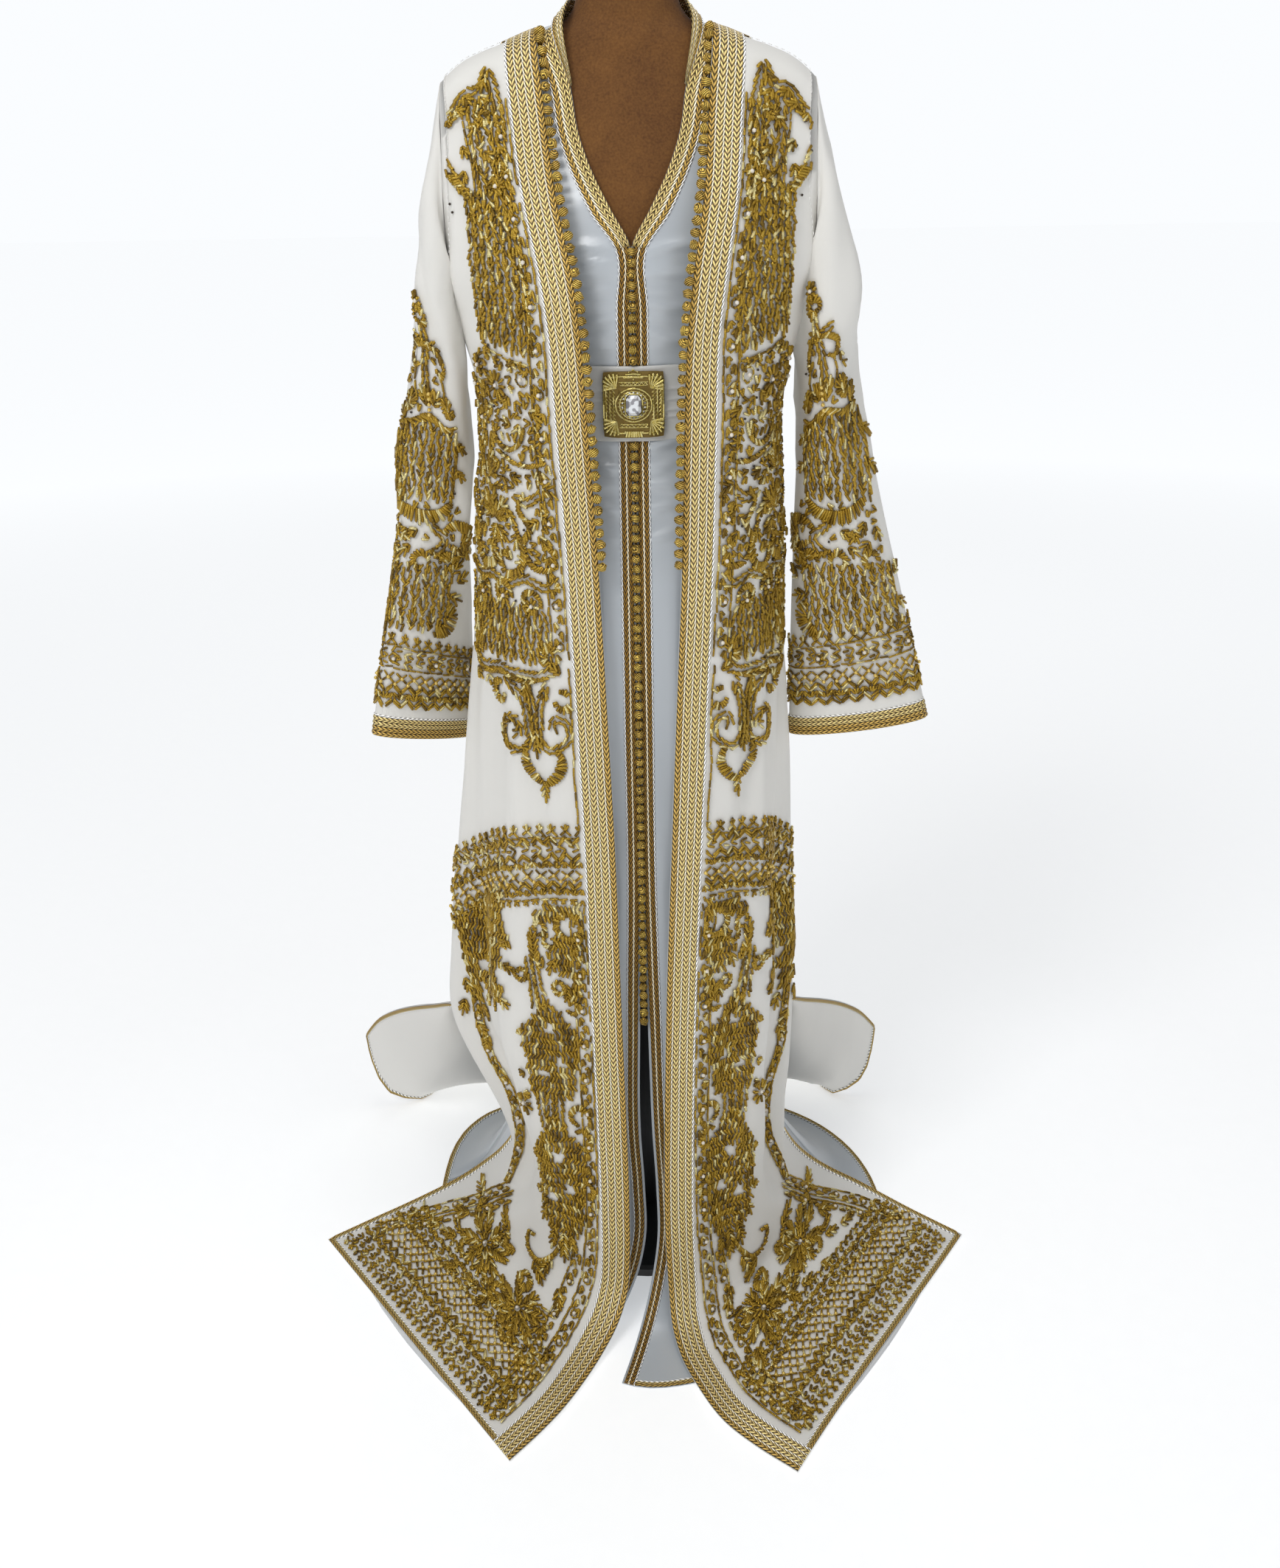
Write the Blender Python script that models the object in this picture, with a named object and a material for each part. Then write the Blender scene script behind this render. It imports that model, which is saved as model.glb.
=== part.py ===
"""A takchita, the two-layer Moroccan ceremonial dress, worn by a limbless dress form.

Metres, +Z up. The origin is the middle of the stand's foot, on the floor, and the garment
faces -Y. Right and left are the wearer's, so the right side is at -X.
Every piece of cloth is a wall through sections: a row of the tables below is one section,
given on one side of the body with x counted outwards from the middle.
"""

import math
from collections import namedtuple

import bmesh
import bpy
import numpy as np

# Cloth and trim thicknesses, and the gap kept between touching pieces.
SATIN = 0.0012
CREPE = 0.0014
BRAID = 0.0015
LEATHER = 0.0030
GAP = 0.0004

# The dress form's pole and foot, and how many columns its torso has.
POLE_RADIUS = 0.0125
POLE_TOP_Z = 0.7996
FOOT_RADIUS = 0.150
FOOT_HEIGHT = 0.014
TORSO_COLUMNS = 26

# The shoulder line that every layer hangs from: straight, then bending down over the arm.
SHOULDER_X0, SHOULDER_Z0 = 0.075, 1.4775
SHOULDER_DROP = 0.3607
SHOULDER_BEND_X, SHOULDER_BEND = 0.160, 9.0
SEAM = 0.0004
ARMHOLE_X = 0.1970

# Widths of the gold braids, and the knotted buttons' sizes.
FRONT_BRAID_WIDTH = 0.036
HEM_BRAID_WIDTH = 0.009
CUFF_BRAID_WIDTH = 0.026
PLACKET_INNER_EDGE = 0.0046
PLACKET_BRAID_EDGE = 0.016
NECK_BRAID_WIDTH = 0.021
BUTTON_RADIUS = 0.0045
BUTTON_PITCH = 0.0122
PLACKET_BUTTON_PITCH = 0.0110

SAMPLES = 97


def clear_scene():
    for old in list(bpy.data.objects):
        bpy.data.objects.remove(old, do_unlink=True)


def material(name, colour, roughness, metallic=0.0):
    made = bpy.data.materials.new(name)
    made.use_nodes = True
    shader = made.node_tree.nodes["Principled BSDF"]
    shader.inputs["Base Color"].default_value = (*colour, 1.0)
    shader.inputs["Roughness"].default_value = roughness
    shader.inputs["Metallic"].default_value = metallic
    made.diffuse_color = (*colour, 1.0)
    return made


# Curves and tables


def smooth_between(values, t):
    """The value at position t on a smooth curve through equally spaced values."""
    values = np.asarray(values, float)
    last = len(values) - 1
    i = int(min(max(math.floor(t), 0), last - 1))
    f = t - i
    before, after = values[max(i - 1, 0)], values[min(i + 2, last)]
    a, b = values[i], values[i + 1]
    slope_a, slope_b = (b - before) / 2, (after - a) / 2
    if i == 0:
        slope_a = b - a
    if i == last - 1:
        slope_b = b - a
    keep_a = (1 - f) ** 2 * (1 + 2 * f)
    keep_b = f * f * (3 - 2 * f)
    return a * keep_a + slope_a * f * (1 - f) ** 2 + b * keep_b - slope_b * f * f * (1 - f)


def along(points, distances):
    """Points at these distances along a polyline."""
    steps = np.linalg.norm(np.diff(points, axis=0), axis=1)
    reach = np.concatenate([[0.0], np.cumsum(steps)])
    return np.stack([np.interp(distances, reach, points[:, k]) for k in range(3)], axis=1)


def length_of(points):
    return float(np.linalg.norm(np.diff(points, axis=0), axis=1).sum())


def bezier(a, b, c, d):
    f = np.linspace(0.0, 1.0, SAMPLES)[:, None]
    a, b, c, d = (np.asarray(p, float) for p in (a, b, c, d))
    return a * (1 - f) ** 3 + 3 * b * f * (1 - f) ** 2 + 3 * c * f * f * (1 - f) + d * f**3


def spline_through(points):
    """A smooth dense curve through a few points."""
    ends = len(points) - 1
    return np.array([smooth_between(points, t) for t in np.linspace(0, ends, SAMPLES)])


def column_of(table, name, z):
    """A named column of a table that runs downwards, read at height z."""
    heights = [row.z for row in table][::-1]
    values = [getattr(row, name) for row in table][::-1]
    return float(np.interp(z, heights, values))


def shoulder_z(x, lift):
    bend = SHOULDER_BEND * np.maximum(x - SHOULDER_BEND_X, 0.0) ** 2
    return SHOULDER_Z0 - SHOULDER_DROP * (x - SHOULDER_X0) - bend + lift


def mirrored(points, side):
    made = np.array(points, float)
    made[..., 0] *= side
    return made


# The dress form

Torso = namedtuple("Torso", "z half_width front back")
TORSO = [
    Torso(1.5450, 0.0515, 0.0435, 0.0490),
    Torso(1.5150, 0.0520, 0.0440, 0.0495),
    Torso(1.4970, 0.0545, 0.0450, 0.0505),
    Torso(1.4860, 0.0612, 0.0455, 0.0490),
    Torso(1.4775, 0.0715, 0.0465, 0.0490),
    Torso(1.4700, 0.0945, 0.0500, 0.0520),
    Torso(1.4600, 0.1235, 0.0530, 0.0560),
    Torso(1.4504, 0.1500, 0.0545, 0.0580),
    Torso(1.4430, 0.1680, 0.0560, 0.0595),
    Torso(1.4300, 0.1820, 0.0600, 0.0635),
    Torso(1.4050, 0.1870, 0.0680, 0.0710),
    Torso(1.3600, 0.1850, 0.0830, 0.0830),
    Torso(1.3100, 0.1760, 0.1000, 0.0900),
    Torso(1.2600, 0.1630, 0.1110, 0.0930),
    Torso(1.2100, 0.1490, 0.1120, 0.0900),
    Torso(1.1500, 0.1330, 0.1030, 0.0840),
    Torso(1.1000, 0.1250, 0.0960, 0.0800),
    Torso(1.0400, 0.1300, 0.0970, 0.0860),
    Torso(0.9700, 0.1430, 0.1010, 0.0990),
    Torso(0.9000, 0.1480, 0.1020, 0.1060),
    Torso(0.8400, 0.1430, 0.0970, 0.0990),
    Torso(0.8000, 0.1220, 0.0800, 0.0840),
]


def torso_point(z, angle, ease):
    """A point this far outside the form at height z: angle 0 is the front, 90 degrees the side."""
    half = column_of(TORSO, "half_width", z) + ease
    depth = column_of(TORSO, "front" if math.cos(angle) >= 0 else "back", z) + ease
    return np.array([half * math.sin(angle), -depth * math.cos(angle), z])


def torso_rings():
    rings = []
    for row in TORSO:
        turn = 2 * math.pi * np.arange(TORSO_COLUMNS) / TORSO_COLUMNS
        rings.append([torso_point(row.z, a, 0.0) for a in turn])
    return rings


# Meshes


class Cloth:
    """A grid of points on the middle of a piece of cloth, its rows running down it."""

    def __init__(self, points, outward, closed=False):
        self.points = np.asarray(points, float)
        self.closed = closed
        down = np.gradient(self.points, axis=0)
        if closed:
            across = np.roll(self.points, -1, axis=1) - np.roll(self.points, 1, axis=1)
        else:
            across = np.gradient(self.points, axis=1)
        n = np.cross(across, down)
        n /= np.maximum(np.linalg.norm(n, axis=2, keepdims=True), 1e-12)
        middle = n[n.shape[0] // 3, n.shape[1] // 2]
        self.normals = n if middle @ np.asarray(outward, float) > 0 else -n

    def flatten(self, rows, columns, axis):
        """Turns the normals on a seam into its plane, so that two pieces meet face to face."""
        n = self.normals[rows, columns].copy()
        n[..., axis] = 0.0
        n /= np.maximum(np.linalg.norm(n, axis=-1, keepdims=True), 1e-12)
        self.normals[rows, columns] = n

    def at(self, row, column, out=0.0):
        """The point at a fractional row and column, moved out along the normal."""
        rows, columns = self.points.shape[:2]
        last = columns if self.closed else columns - 1
        r = min(int(row), rows - 2)
        c = min(int(column), last - 1)
        fr, fc = row - r, column - c
        beside = (c + 1) % columns
        third = (r, beside) if fr <= fc else (r + 1, c)
        places = ((r, c), third, (r + 1, beside))
        weights = (1 - max(fr, fc), abs(fr - fc), min(fr, fc))
        point = sum(w * self.points[q] for w, q in zip(weights, places))
        normal = sum(w * self.normals[q] for w, q in zip(weights, places))
        return point + normal / max(np.linalg.norm(normal), 1e-12) * out

    def strip(self, places):
        """A smaller cloth laid on this one through a grid of (row, column) places."""
        made = Cloth.__new__(Cloth)
        made.closed = False
        made.points = np.array([[self.at(r, c) for r, c in line] for line in places])
        tips = np.array([[self.at(r, c, 1.0) for r, c in line] for line in places])
        made.normals = tips - made.points
        return made

    def column_from_edge(self, row, distance, far=False):
        """The fractional column this far from one edge, at a fractional row."""
        r = min(int(row), len(self.points) - 2)
        line = self.points[r] * (1 - row + r) + self.points[r + 1] * (row - r)
        line = line[::-1] if far else line
        reach = np.concatenate([[0.0], np.cumsum(np.linalg.norm(np.diff(line, axis=0), axis=1))])
        place = float(np.interp(distance, reach, np.arange(len(line))))
        return len(line) - 1 - place if far else place

    def row_from_hem(self, column, distance):
        """The fractional row this far up from the last one, at a column."""
        line = self.points[::-1, int(round(column))]
        reach = np.concatenate([[0.0], np.cumsum(np.linalg.norm(np.diff(line, axis=0), axis=1))])
        return len(line) - 1 - float(np.interp(distance, reach, np.arange(len(line))))


def add_object(name, vertices, faces, finish, smooth_angle=50.0):
    mesh = bpy.data.meshes.new(name)
    mesh.from_pydata([tuple(v) for v in vertices], [], faces)
    work = bmesh.new()
    work.from_mesh(mesh)
    bmesh.ops.recalc_face_normals(work, faces=work.faces)
    work.to_mesh(mesh)
    work.free()
    mesh.shade_smooth()
    mesh.set_sharp_from_angle(angle=math.radians(smooth_angle))
    made = bpy.data.objects.new(name, mesh)
    bpy.context.scene.collection.objects.link(made)
    made.data.materials.append(finish)
    return made


def wall(name, cloth, finish, low, high, relief=None):
    """A closed wall on a cloth, from low to high along its normals, relief added outside."""
    rows, columns = cloth.points.shape[:2]
    raised = np.zeros((rows, columns, 1)) if relief is None else relief[..., None]
    outer = cloth.points + cloth.normals * (high + raised)
    inner = cloth.points + cloth.normals * low
    vertices = np.concatenate([outer.reshape(-1, 3), inner.reshape(-1, 3)])
    under = rows * columns
    around = columns if cloth.closed else columns - 1
    faces = []

    def index(r, c):
        return r * columns + c % columns

    def rim(a, b, turn):
        quad = (a, a + under, b + under, b)
        faces.append(tuple(reversed(quad)) if turn else quad)

    for r in range(rows - 1):
        for c in range(around):
            a, b = index(r, c), index(r, c + 1)
            d, e = index(r + 1, c), index(r + 1, c + 1)
            for face in ((a, b, e), (a, e, d)):
                faces.append(face)
                faces.append(tuple(q + under for q in reversed(face)))
    for c in range(around):
        rim(index(0, c), index(0, c + 1), False)
        rim(index(rows - 1, c), index(rows - 1, c + 1), True)
    if not cloth.closed:
        for r in range(rows - 1):
            rim(index(r, 0), index(r + 1, 0), True)
            rim(index(r, columns - 1), index(r + 1, columns - 1), False)
    return add_object(name, vertices, faces, finish)


def rings_body(name, rings, finish, smooth_angle=50.0):
    """A closed body through rings of points."""
    columns = len(rings[0])
    vertices = [p for ring in rings for p in ring]
    faces = []
    for r in range(len(rings) - 1):
        for c in range(columns):
            a, b = r * columns + c, r * columns + (c + 1) % columns
            faces.append((a, b, b + columns, a + columns))
    faces.append(tuple(range(columns)))
    faces.append(tuple(reversed(range(len(vertices) - columns, len(vertices)))))
    return add_object(name, vertices, faces, finish, smooth_angle)


def beads(name, path, pitch, radius, finish, sides=4, waist=0.4):
    """A string of knotted buttons fused end to end: wide and narrow rings along a path."""
    count = int(length_of(path) / pitch)
    centres = along(path, (np.arange(2 * count) + 0.5) * pitch / 2)
    side = np.array([1.0, 0.0, 0.0])
    rings = []
    for i, centre in enumerate(centres):
        before, after = centres[max(i - 1, 0)], centres[min(i + 1, len(centres) - 1)]
        heading = (after - before) / np.linalg.norm(after - before)
        u = side - heading * (side @ heading)
        u /= np.linalg.norm(u)
        v = np.cross(heading, u)
        wide = radius if i % 2 == 0 else radius * waist
        turn = 2 * math.pi * (np.arange(sides) + 0.5) / sides
        rings.append([centre + (u * math.cos(a) + v * math.sin(a)) * wide for a in turn])
    return rings_body(name, rings, finish, 80.0)


def disc_rings(radius_and_z, columns):
    turn = 2 * math.pi * np.arange(columns) / columns
    return [[(r * math.cos(a), r * math.sin(a), z) for a in turn] for r, z in radius_and_z]


# Rows through sections


def fitted_row(front_x, front_z, side_angle, side_z, ease):
    """Close cloth on the form, from a point on its front to an angle at its side."""
    half = column_of(TORSO, "half_width", front_z) + ease
    start = math.asin(min(front_x / half, 0.999))
    rows = []
    for f in np.linspace(0.0, 1.0, SAMPLES):
        z = front_z + (side_z - front_z) * f
        rows.append(torso_point(z, start + (side_angle - start) * f, ease))
    return np.array(rows)


def shoulder_row(x_from, x_to, y, lift):
    x = np.linspace(x_from, x_to, SAMPLES)
    return np.stack([x, np.full_like(x, y), shoulder_z(x, lift)], axis=1)


def over_row(x_from, x_to, y_from, y_to, drop):
    """Cloth just over the shoulder's edge, this far below the shoulder line."""
    f = np.linspace(0.0, 1.0, SAMPLES)
    x = x_from + (x_to - x_from) * f
    return np.stack([x, y_from + (y_to - y_from) * f, shoulder_z(x, -drop)], axis=1)


Section = namedtuple("Section", "x y z out_x out_y in_x in_y side_x side_y side_z")


def section_row(s):
    """A hanging section from its edge to its side, as one curve with a handle at each end."""
    a = np.array([s.x, s.y, s.z])
    d = np.array([s.side_x, s.side_y, s.side_z])
    b = a + [s.out_x, s.out_y, (s.side_z - s.z) / 3]
    c = d + [s.in_x, s.in_y, (s.z - s.side_z) / 3]
    return bezier(a, b, c, d)


def sampled(row, first_band, columns):
    """A section at its column places: one braid's width, then evenly to the far edge."""
    spots = np.linspace(first_band, length_of(row), columns - 1)
    return along(row, np.concatenate([[0.0], spots]))


def through_sections(sections, places, floor):
    """Rows of points at these places between the sections, none below the floor height."""
    stack = np.array(sections)
    made = np.array([smooth_between(stack, t) for t in places])
    made[..., 2] = np.maximum(made[..., 2], floor)
    return made


def with_hem_row(points):
    """Adds the row that the hem's braid ends at."""
    line = [along(points[::-1, c], [HEM_BRAID_WIDTH])[0] for c in range(points.shape[1])]
    return np.insert(points, len(points) - 1, line, axis=0)


def with_edge_column(points, far):
    """Adds the column that a slit's braid ends at, beside the first or the last column."""
    lines = points[:, ::-1] if far else points
    line = [along(row, [HEM_BRAID_WIDTH])[0] for row in lines]
    return np.insert(points, points.shape[1] - 1 if far else 1, line, axis=1)


Fold = namedtuple("Fold", "across half_width depth top bottom")


def add_folds(cloth, places, folds, floor):
    """Pushes soft ridges and troughs into a cloth along its normals."""
    depth = np.zeros(cloth.points.shape[:2])
    shares = np.linspace(0, 1, cloth.points.shape[1])
    for fold in folds:
        middle = (fold.top + fold.bottom) / 2
        half = (fold.bottom - fold.top) / 2
        for r, place in enumerate(places):
            fade = max(0.0, 1 - abs((place - middle) / half) ** 2.5)
            depth[r] += fold.depth * fade * np.exp(-(((shares - fold.across) / fold.half_width) ** 2))
    made = cloth.points + cloth.normals * depth[..., None]
    made[..., 2] = np.maximum(made[..., 2], floor)
    return made


def half_back(middle, wide, side, bulge):
    """Half a back section, from the side seam to the middle back."""
    a, d = np.array(side, float), np.array(middle, float)
    level = np.array([0, 0, (d[2] - a[2]) / 3])
    return bezier(a, a + [0, bulge, 0] + level, d + [wide, 0, 0] - level, d)


def back_row(halves, columns, shoulder_shares=None):
    """Both halves of a back section at their columns: along the shoulder, then round the neck."""
    sides = []
    for half in halves:
        if shoulder_shares:
            bend, half = half
            first = along(bend, length_of(bend) * np.array(shoulder_shares))
            rest = along(half, np.linspace(0, length_of(half), columns + 1 - len(shoulder_shares)))
            sides.append(np.concatenate([first, rest[1:]]))
        else:
            sides.append(along(half, np.linspace(0, length_of(half), columns)))
    return np.concatenate([sides[0], sides[1][::-1][1:]])


def neck_curve(x_neck, y_seam, neck_y, neck_z, lift):
    """From the neck's side, on the shoulder line, round to the middle back."""
    turn = np.linspace(0, math.pi / 2, SAMPLES)
    top = shoulder_z(x_neck, lift)
    x = x_neck * np.cos(turn).clip(0.0) ** 0.88
    y = y_seam + (neck_y - y_seam) * np.sin(turn) ** 0.88
    return np.stack([x, y, top - (top - neck_z) * np.sin(turn)], axis=1)


# The inner dress

# Where the neck edge and the armhole lie at each row of the bodice.
Bodice = namedtuple("Bodice", "edge_x edge_z side_angle side_z ease")
BODICE = [
    Bodice(0.0590, 1.4150, 52, 1.4050, 0.0026),
    Bodice(0.0530, 1.3760, 51, 1.3550, 0.0032),
    Bodice(0.0370, 1.3310, 58, 1.3000, 0.0042),
    Bodice(0.0290, 1.3150, 73, 1.2640, 0.0060),
    Bodice(0.0200, 1.2980, 90, 1.2360, 0.0064),
    Bodice(0.0006, 1.2620, 90, 1.2150, 0.0054),
    Bodice(0.0006, 1.2000, 90, 1.1850, 0.0064),
    Bodice(0.0006, 1.1420, 90, 1.1420, 0.0080),
    Bodice(0.0006, 1.1020, 90, 1.1020, 0.0090),
    Bodice(0.0006, 1.0620, 90, 1.0620, 0.0085),
]
SKIRT_RIGHT = [
    Section(0.0006, -0.122, 0.950, 0.070, 0.000, 0.000, -0.070, 0.168, 0.000, 0.950),
    Section(0.0006, -0.138, 0.760, 0.070, 0.000, 0.000, -0.075, 0.174, 0.002, 0.760),
    Section(0.0006, -0.154, 0.570, 0.070, 0.000, 0.000, -0.075, 0.186, 0.004, 0.570),
    Section(0.0045, -0.172, 0.385, 0.070, 0.000, 0.000, -0.070, 0.184, 0.008, 0.385),
    Section(0.0060, -0.186, 0.240, 0.065, 0.000, 0.000, -0.060, 0.168, 0.018, 0.240),
    Section(0.0020, -0.202, 0.100, 0.060, 0.000, 0.000, -0.055, 0.188, 0.060, 0.110),
    Section(0.0340, -0.236, 0.016, 0.070, 0.010, 0.000, -0.070, 0.240, 0.075, 0.020),
    Section(0.0900, -0.318, 0.0012, 0.080, 0.060, 0.020, -0.110, 0.287, 0.060, 0.0012),
]
SKIRT_LEFT = [
    Section(0.0006, -0.122, 0.950, 0.065, 0.000, 0.000, -0.070, 0.161, 0.000, 0.950),
    Section(0.0006, -0.138, 0.760, 0.065, 0.000, 0.000, -0.075, 0.156, 0.002, 0.760),
    Section(0.0006, -0.154, 0.570, 0.065, 0.000, 0.000, -0.075, 0.157, 0.004, 0.570),
    Section(0.0045, -0.172, 0.385, 0.065, 0.000, 0.000, -0.070, 0.158, 0.008, 0.385),
    Section(0.0080, -0.188, 0.240, 0.060, 0.000, 0.000, -0.060, 0.160, 0.018, 0.240),
    Section(0.0120, -0.206, 0.100, 0.060, 0.000, 0.000, -0.055, 0.185, 0.050, 0.110),
    Section(-0.0100, -0.262, 0.014, 0.080, -0.010, 0.010, -0.080, 0.262, 0.030, 0.018),
    Section(-0.0330, -0.346, 0.0012, 0.120, -0.060, -0.020, -0.150, 0.322, -0.020, 0.0012),
]
INNER_FOLDS = {
    -1: [Fold(0.45, 0.16, 0.006, 12.0, 18.0), Fold(0.80, 0.12, -0.006, 12.5, 18.0)],
    1: [Fold(0.35, 0.14, 0.006, 12.0, 18.0), Fold(0.70, 0.14, -0.006, 12.5, 18.0)],
}
INNER_NECK_X, INNER_TIP_X = 0.0765, 0.1600
INNER_NECK_BACK = (0.0610, 1.4745)
INNER_LIFT = 0.0008 + SATIN / 2
INNER_COLUMNS = 9
INNER_BACK_HALF = 8
INNER_SHARES = (0, 0.30, 0.64, 1)
INNER_CORNER = len(INNER_SHARES) - 1
INNER_PLACES = [*range(13), 12.5, 13, 14, 15, 16, 17, 17.5, 18, 18.5, 19, 19.5, 20]
# Rows that pieces meet at: the armhole's foot, the neck's point, the belt and the front slit.
INNER_ARMHOLE, V_BOTTOM, BELT_TOP, BELT_FOOT, FRONT_SLIT = 7, 8, 10, 12, 16

# How cloth lies just over the shoulder, front and back: how far out of the neck's edge the row
# starts, its y at the neck and the tip, and its drop below the shoulder line.
Over = namedtuple("Over", "flare neck_y tip_y drop")
INNER_OVER = {
    -1: (Over(0.0, -0.0215, -0.0180, 0.0012), Over(0.0, -0.0430, -0.0365, 0.0105)),
    1: (Over(0.0070, 0.0225, 0.0190, 0.0012), Over(0.0135, 0.0480, 0.0400, 0.0105)),
}
ROBE_OVER = {
    -1: (Over(0.0, -0.0235, -0.0200, -0.0010), Over(0.0, -0.0470, -0.0370, 0.0080)),
    1: (Over(0.0070, 0.0245, 0.0210, -0.0030), Over(0.0150, 0.0550, 0.0390, 0.0046)),
}


def inner_front(side, skirt):
    rows = [shoulder_row(INNER_NECK_X, INNER_TIP_X, -SEAM, INNER_LIFT)]
    for over, draw_in in zip(INNER_OVER[-1], (0.0, 0.003)):
        rows.append(over_row(INNER_NECK_X, INNER_TIP_X - draw_in, over.neck_y, over.tip_y, over.drop))
    for b in BODICE:
        row = fitted_row(b.edge_x, b.edge_z, math.radians(b.side_angle), b.side_z, b.ease)
        row[:, 1] = np.minimum(row[:, 1], -SEAM)
        rows.append(row)
    rows += [section_row(s) for s in skirt]
    bands = [NECK_BRAID_WIDTH] * V_BOTTOM + [PLACKET_BRAID_EDGE] * (len(rows) - V_BOTTOM)
    sections = [mirrored(sampled(*pair, INNER_COLUMNS), side) for pair in zip(rows, bands)]
    forward = (0.0, -1.0, 0.0)
    cloth = Cloth(through_sections(sections, INNER_PLACES, SATIN), forward)
    points = add_folds(cloth, INNER_PLACES, INNER_FOLDS[side], SATIN)
    cloth = Cloth(with_hem_row(points), forward)
    cloth.flatten(0, slice(None), 1)
    cloth.flatten(slice(INNER_PLACES.index(INNER_ARMHOLE), None), -1, 1)
    return cloth


Back = namedtuple("Back", "middle_y middle_z right_x left_x side_y side_z wide bulge")
INNER_BACK = [
    Back(0.1220, 0.950, 0.168, 0.161, 0.000, 0.950, 0.080, 0.060),
    Back(0.1320, 0.760, 0.174, 0.156, 0.002, 0.760, 0.085, 0.065),
    Back(0.1400, 0.570, 0.186, 0.157, 0.004, 0.570, 0.085, 0.065),
    Back(0.1500, 0.385, 0.184, 0.158, 0.008, 0.385, 0.085, 0.065),
    Back(0.1650, 0.240, 0.168, 0.160, 0.018, 0.240, 0.090, 0.070),
]


def inner_back():
    neck = neck_curve(INNER_NECK_X, SEAM, *INNER_NECK_BACK, INNER_LIFT)
    tip = shoulder_row(INNER_TIP_X, INNER_NECK_X, SEAM, INNER_LIFT)
    halves = [(mirrored(tip, s), mirrored(neck, s)) for s in (-1, 1)]
    sections = [back_row(halves, INNER_BACK_HALF, INNER_SHARES)]
    under_neck = (
        ((0.0600, 0.0530, 1.4712), (0.0, 0.0640, 1.4670)),
        ((0.0640, 0.0620, 1.4580), (0.0, 0.0670, 1.4540)),
    )
    for over, draw_in, neck in zip(INNER_OVER[1], (0.0, 0.003), under_neck):
        neck_x = INNER_NECK_X + over.flare
        edge = over_row(INNER_TIP_X - draw_in, neck_x, over.tip_y, over.neck_y, over.drop)
        below = spline_through(np.array([edge[-1], *neck]))
        halves = [(mirrored(edge, s), mirrored(below, s)) for s in (-1, 1)]
        sections.append(back_row(halves, INNER_BACK_HALF, INNER_SHARES))
    for b in BODICE:
        start = math.pi - math.radians(b.side_angle)
        middle_z = max(b.side_z, min(b.edge_z, 1.4200))
        half = []
        for f in np.linspace(0.0, 1.0, SAMPLES):
            z = b.side_z + (middle_z - b.side_z) * f
            half.append(torso_point(z, start + (math.pi - start) * f, b.ease))
        half = np.array(half)
        half[:, 1] = np.maximum(half[:, 1], SEAM)
        sections.append(back_row([mirrored(half, -1), half], INNER_BACK_HALF))
    rows = list(INNER_BACK)
    halves = []
    for b in rows:
        y = b.side_y + SEAM
        right = half_back((0, b.middle_y, b.middle_z), b.wide, (b.right_x, y, b.side_z), b.bulge)
        left = half_back((0, b.middle_y, b.middle_z), b.wide, (b.left_x, y, b.side_z), b.bulge)
        halves.append([mirrored(right, -1), left])
    foot = (
        ((0, 0.195, 0.100), 0.10, (0.188, 0.0607, 0.110), (0.185, 0.0507, 0.110), 0.08),
        ((0, 0.240, 0.014), 0.16, (0.240, 0.0757, 0.020), (0.262, 0.0307, 0.018), 0.12),
        ((0, 0.290, SATIN), 0.22, (0.287, 0.0607, SATIN), (0.322, -0.0193, SATIN), 0.19),
    )
    for middle, wide, right, left, bulge in foot:
        pair = [mirrored(half_back(middle, wide, right, bulge), -1)]
        pair.append(half_back(middle, wide, left, bulge))
        halves.append(pair)
    sections += [back_row(pair, INNER_BACK_HALF) for pair in halves]
    points = through_sections(sections, INNER_PLACES, SATIN)
    cloth = Cloth(with_hem_row(points), (0.0, 1.0, 0.0))
    for columns in (slice(0, INNER_CORNER), slice(-INNER_CORNER, None)):
        cloth.flatten(0, columns, 1)
    for column in (0, -1):
        cloth.flatten(slice(INNER_PLACES.index(INNER_ARMHOLE), None), column, 1)
    return cloth


# The outer robe

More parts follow.
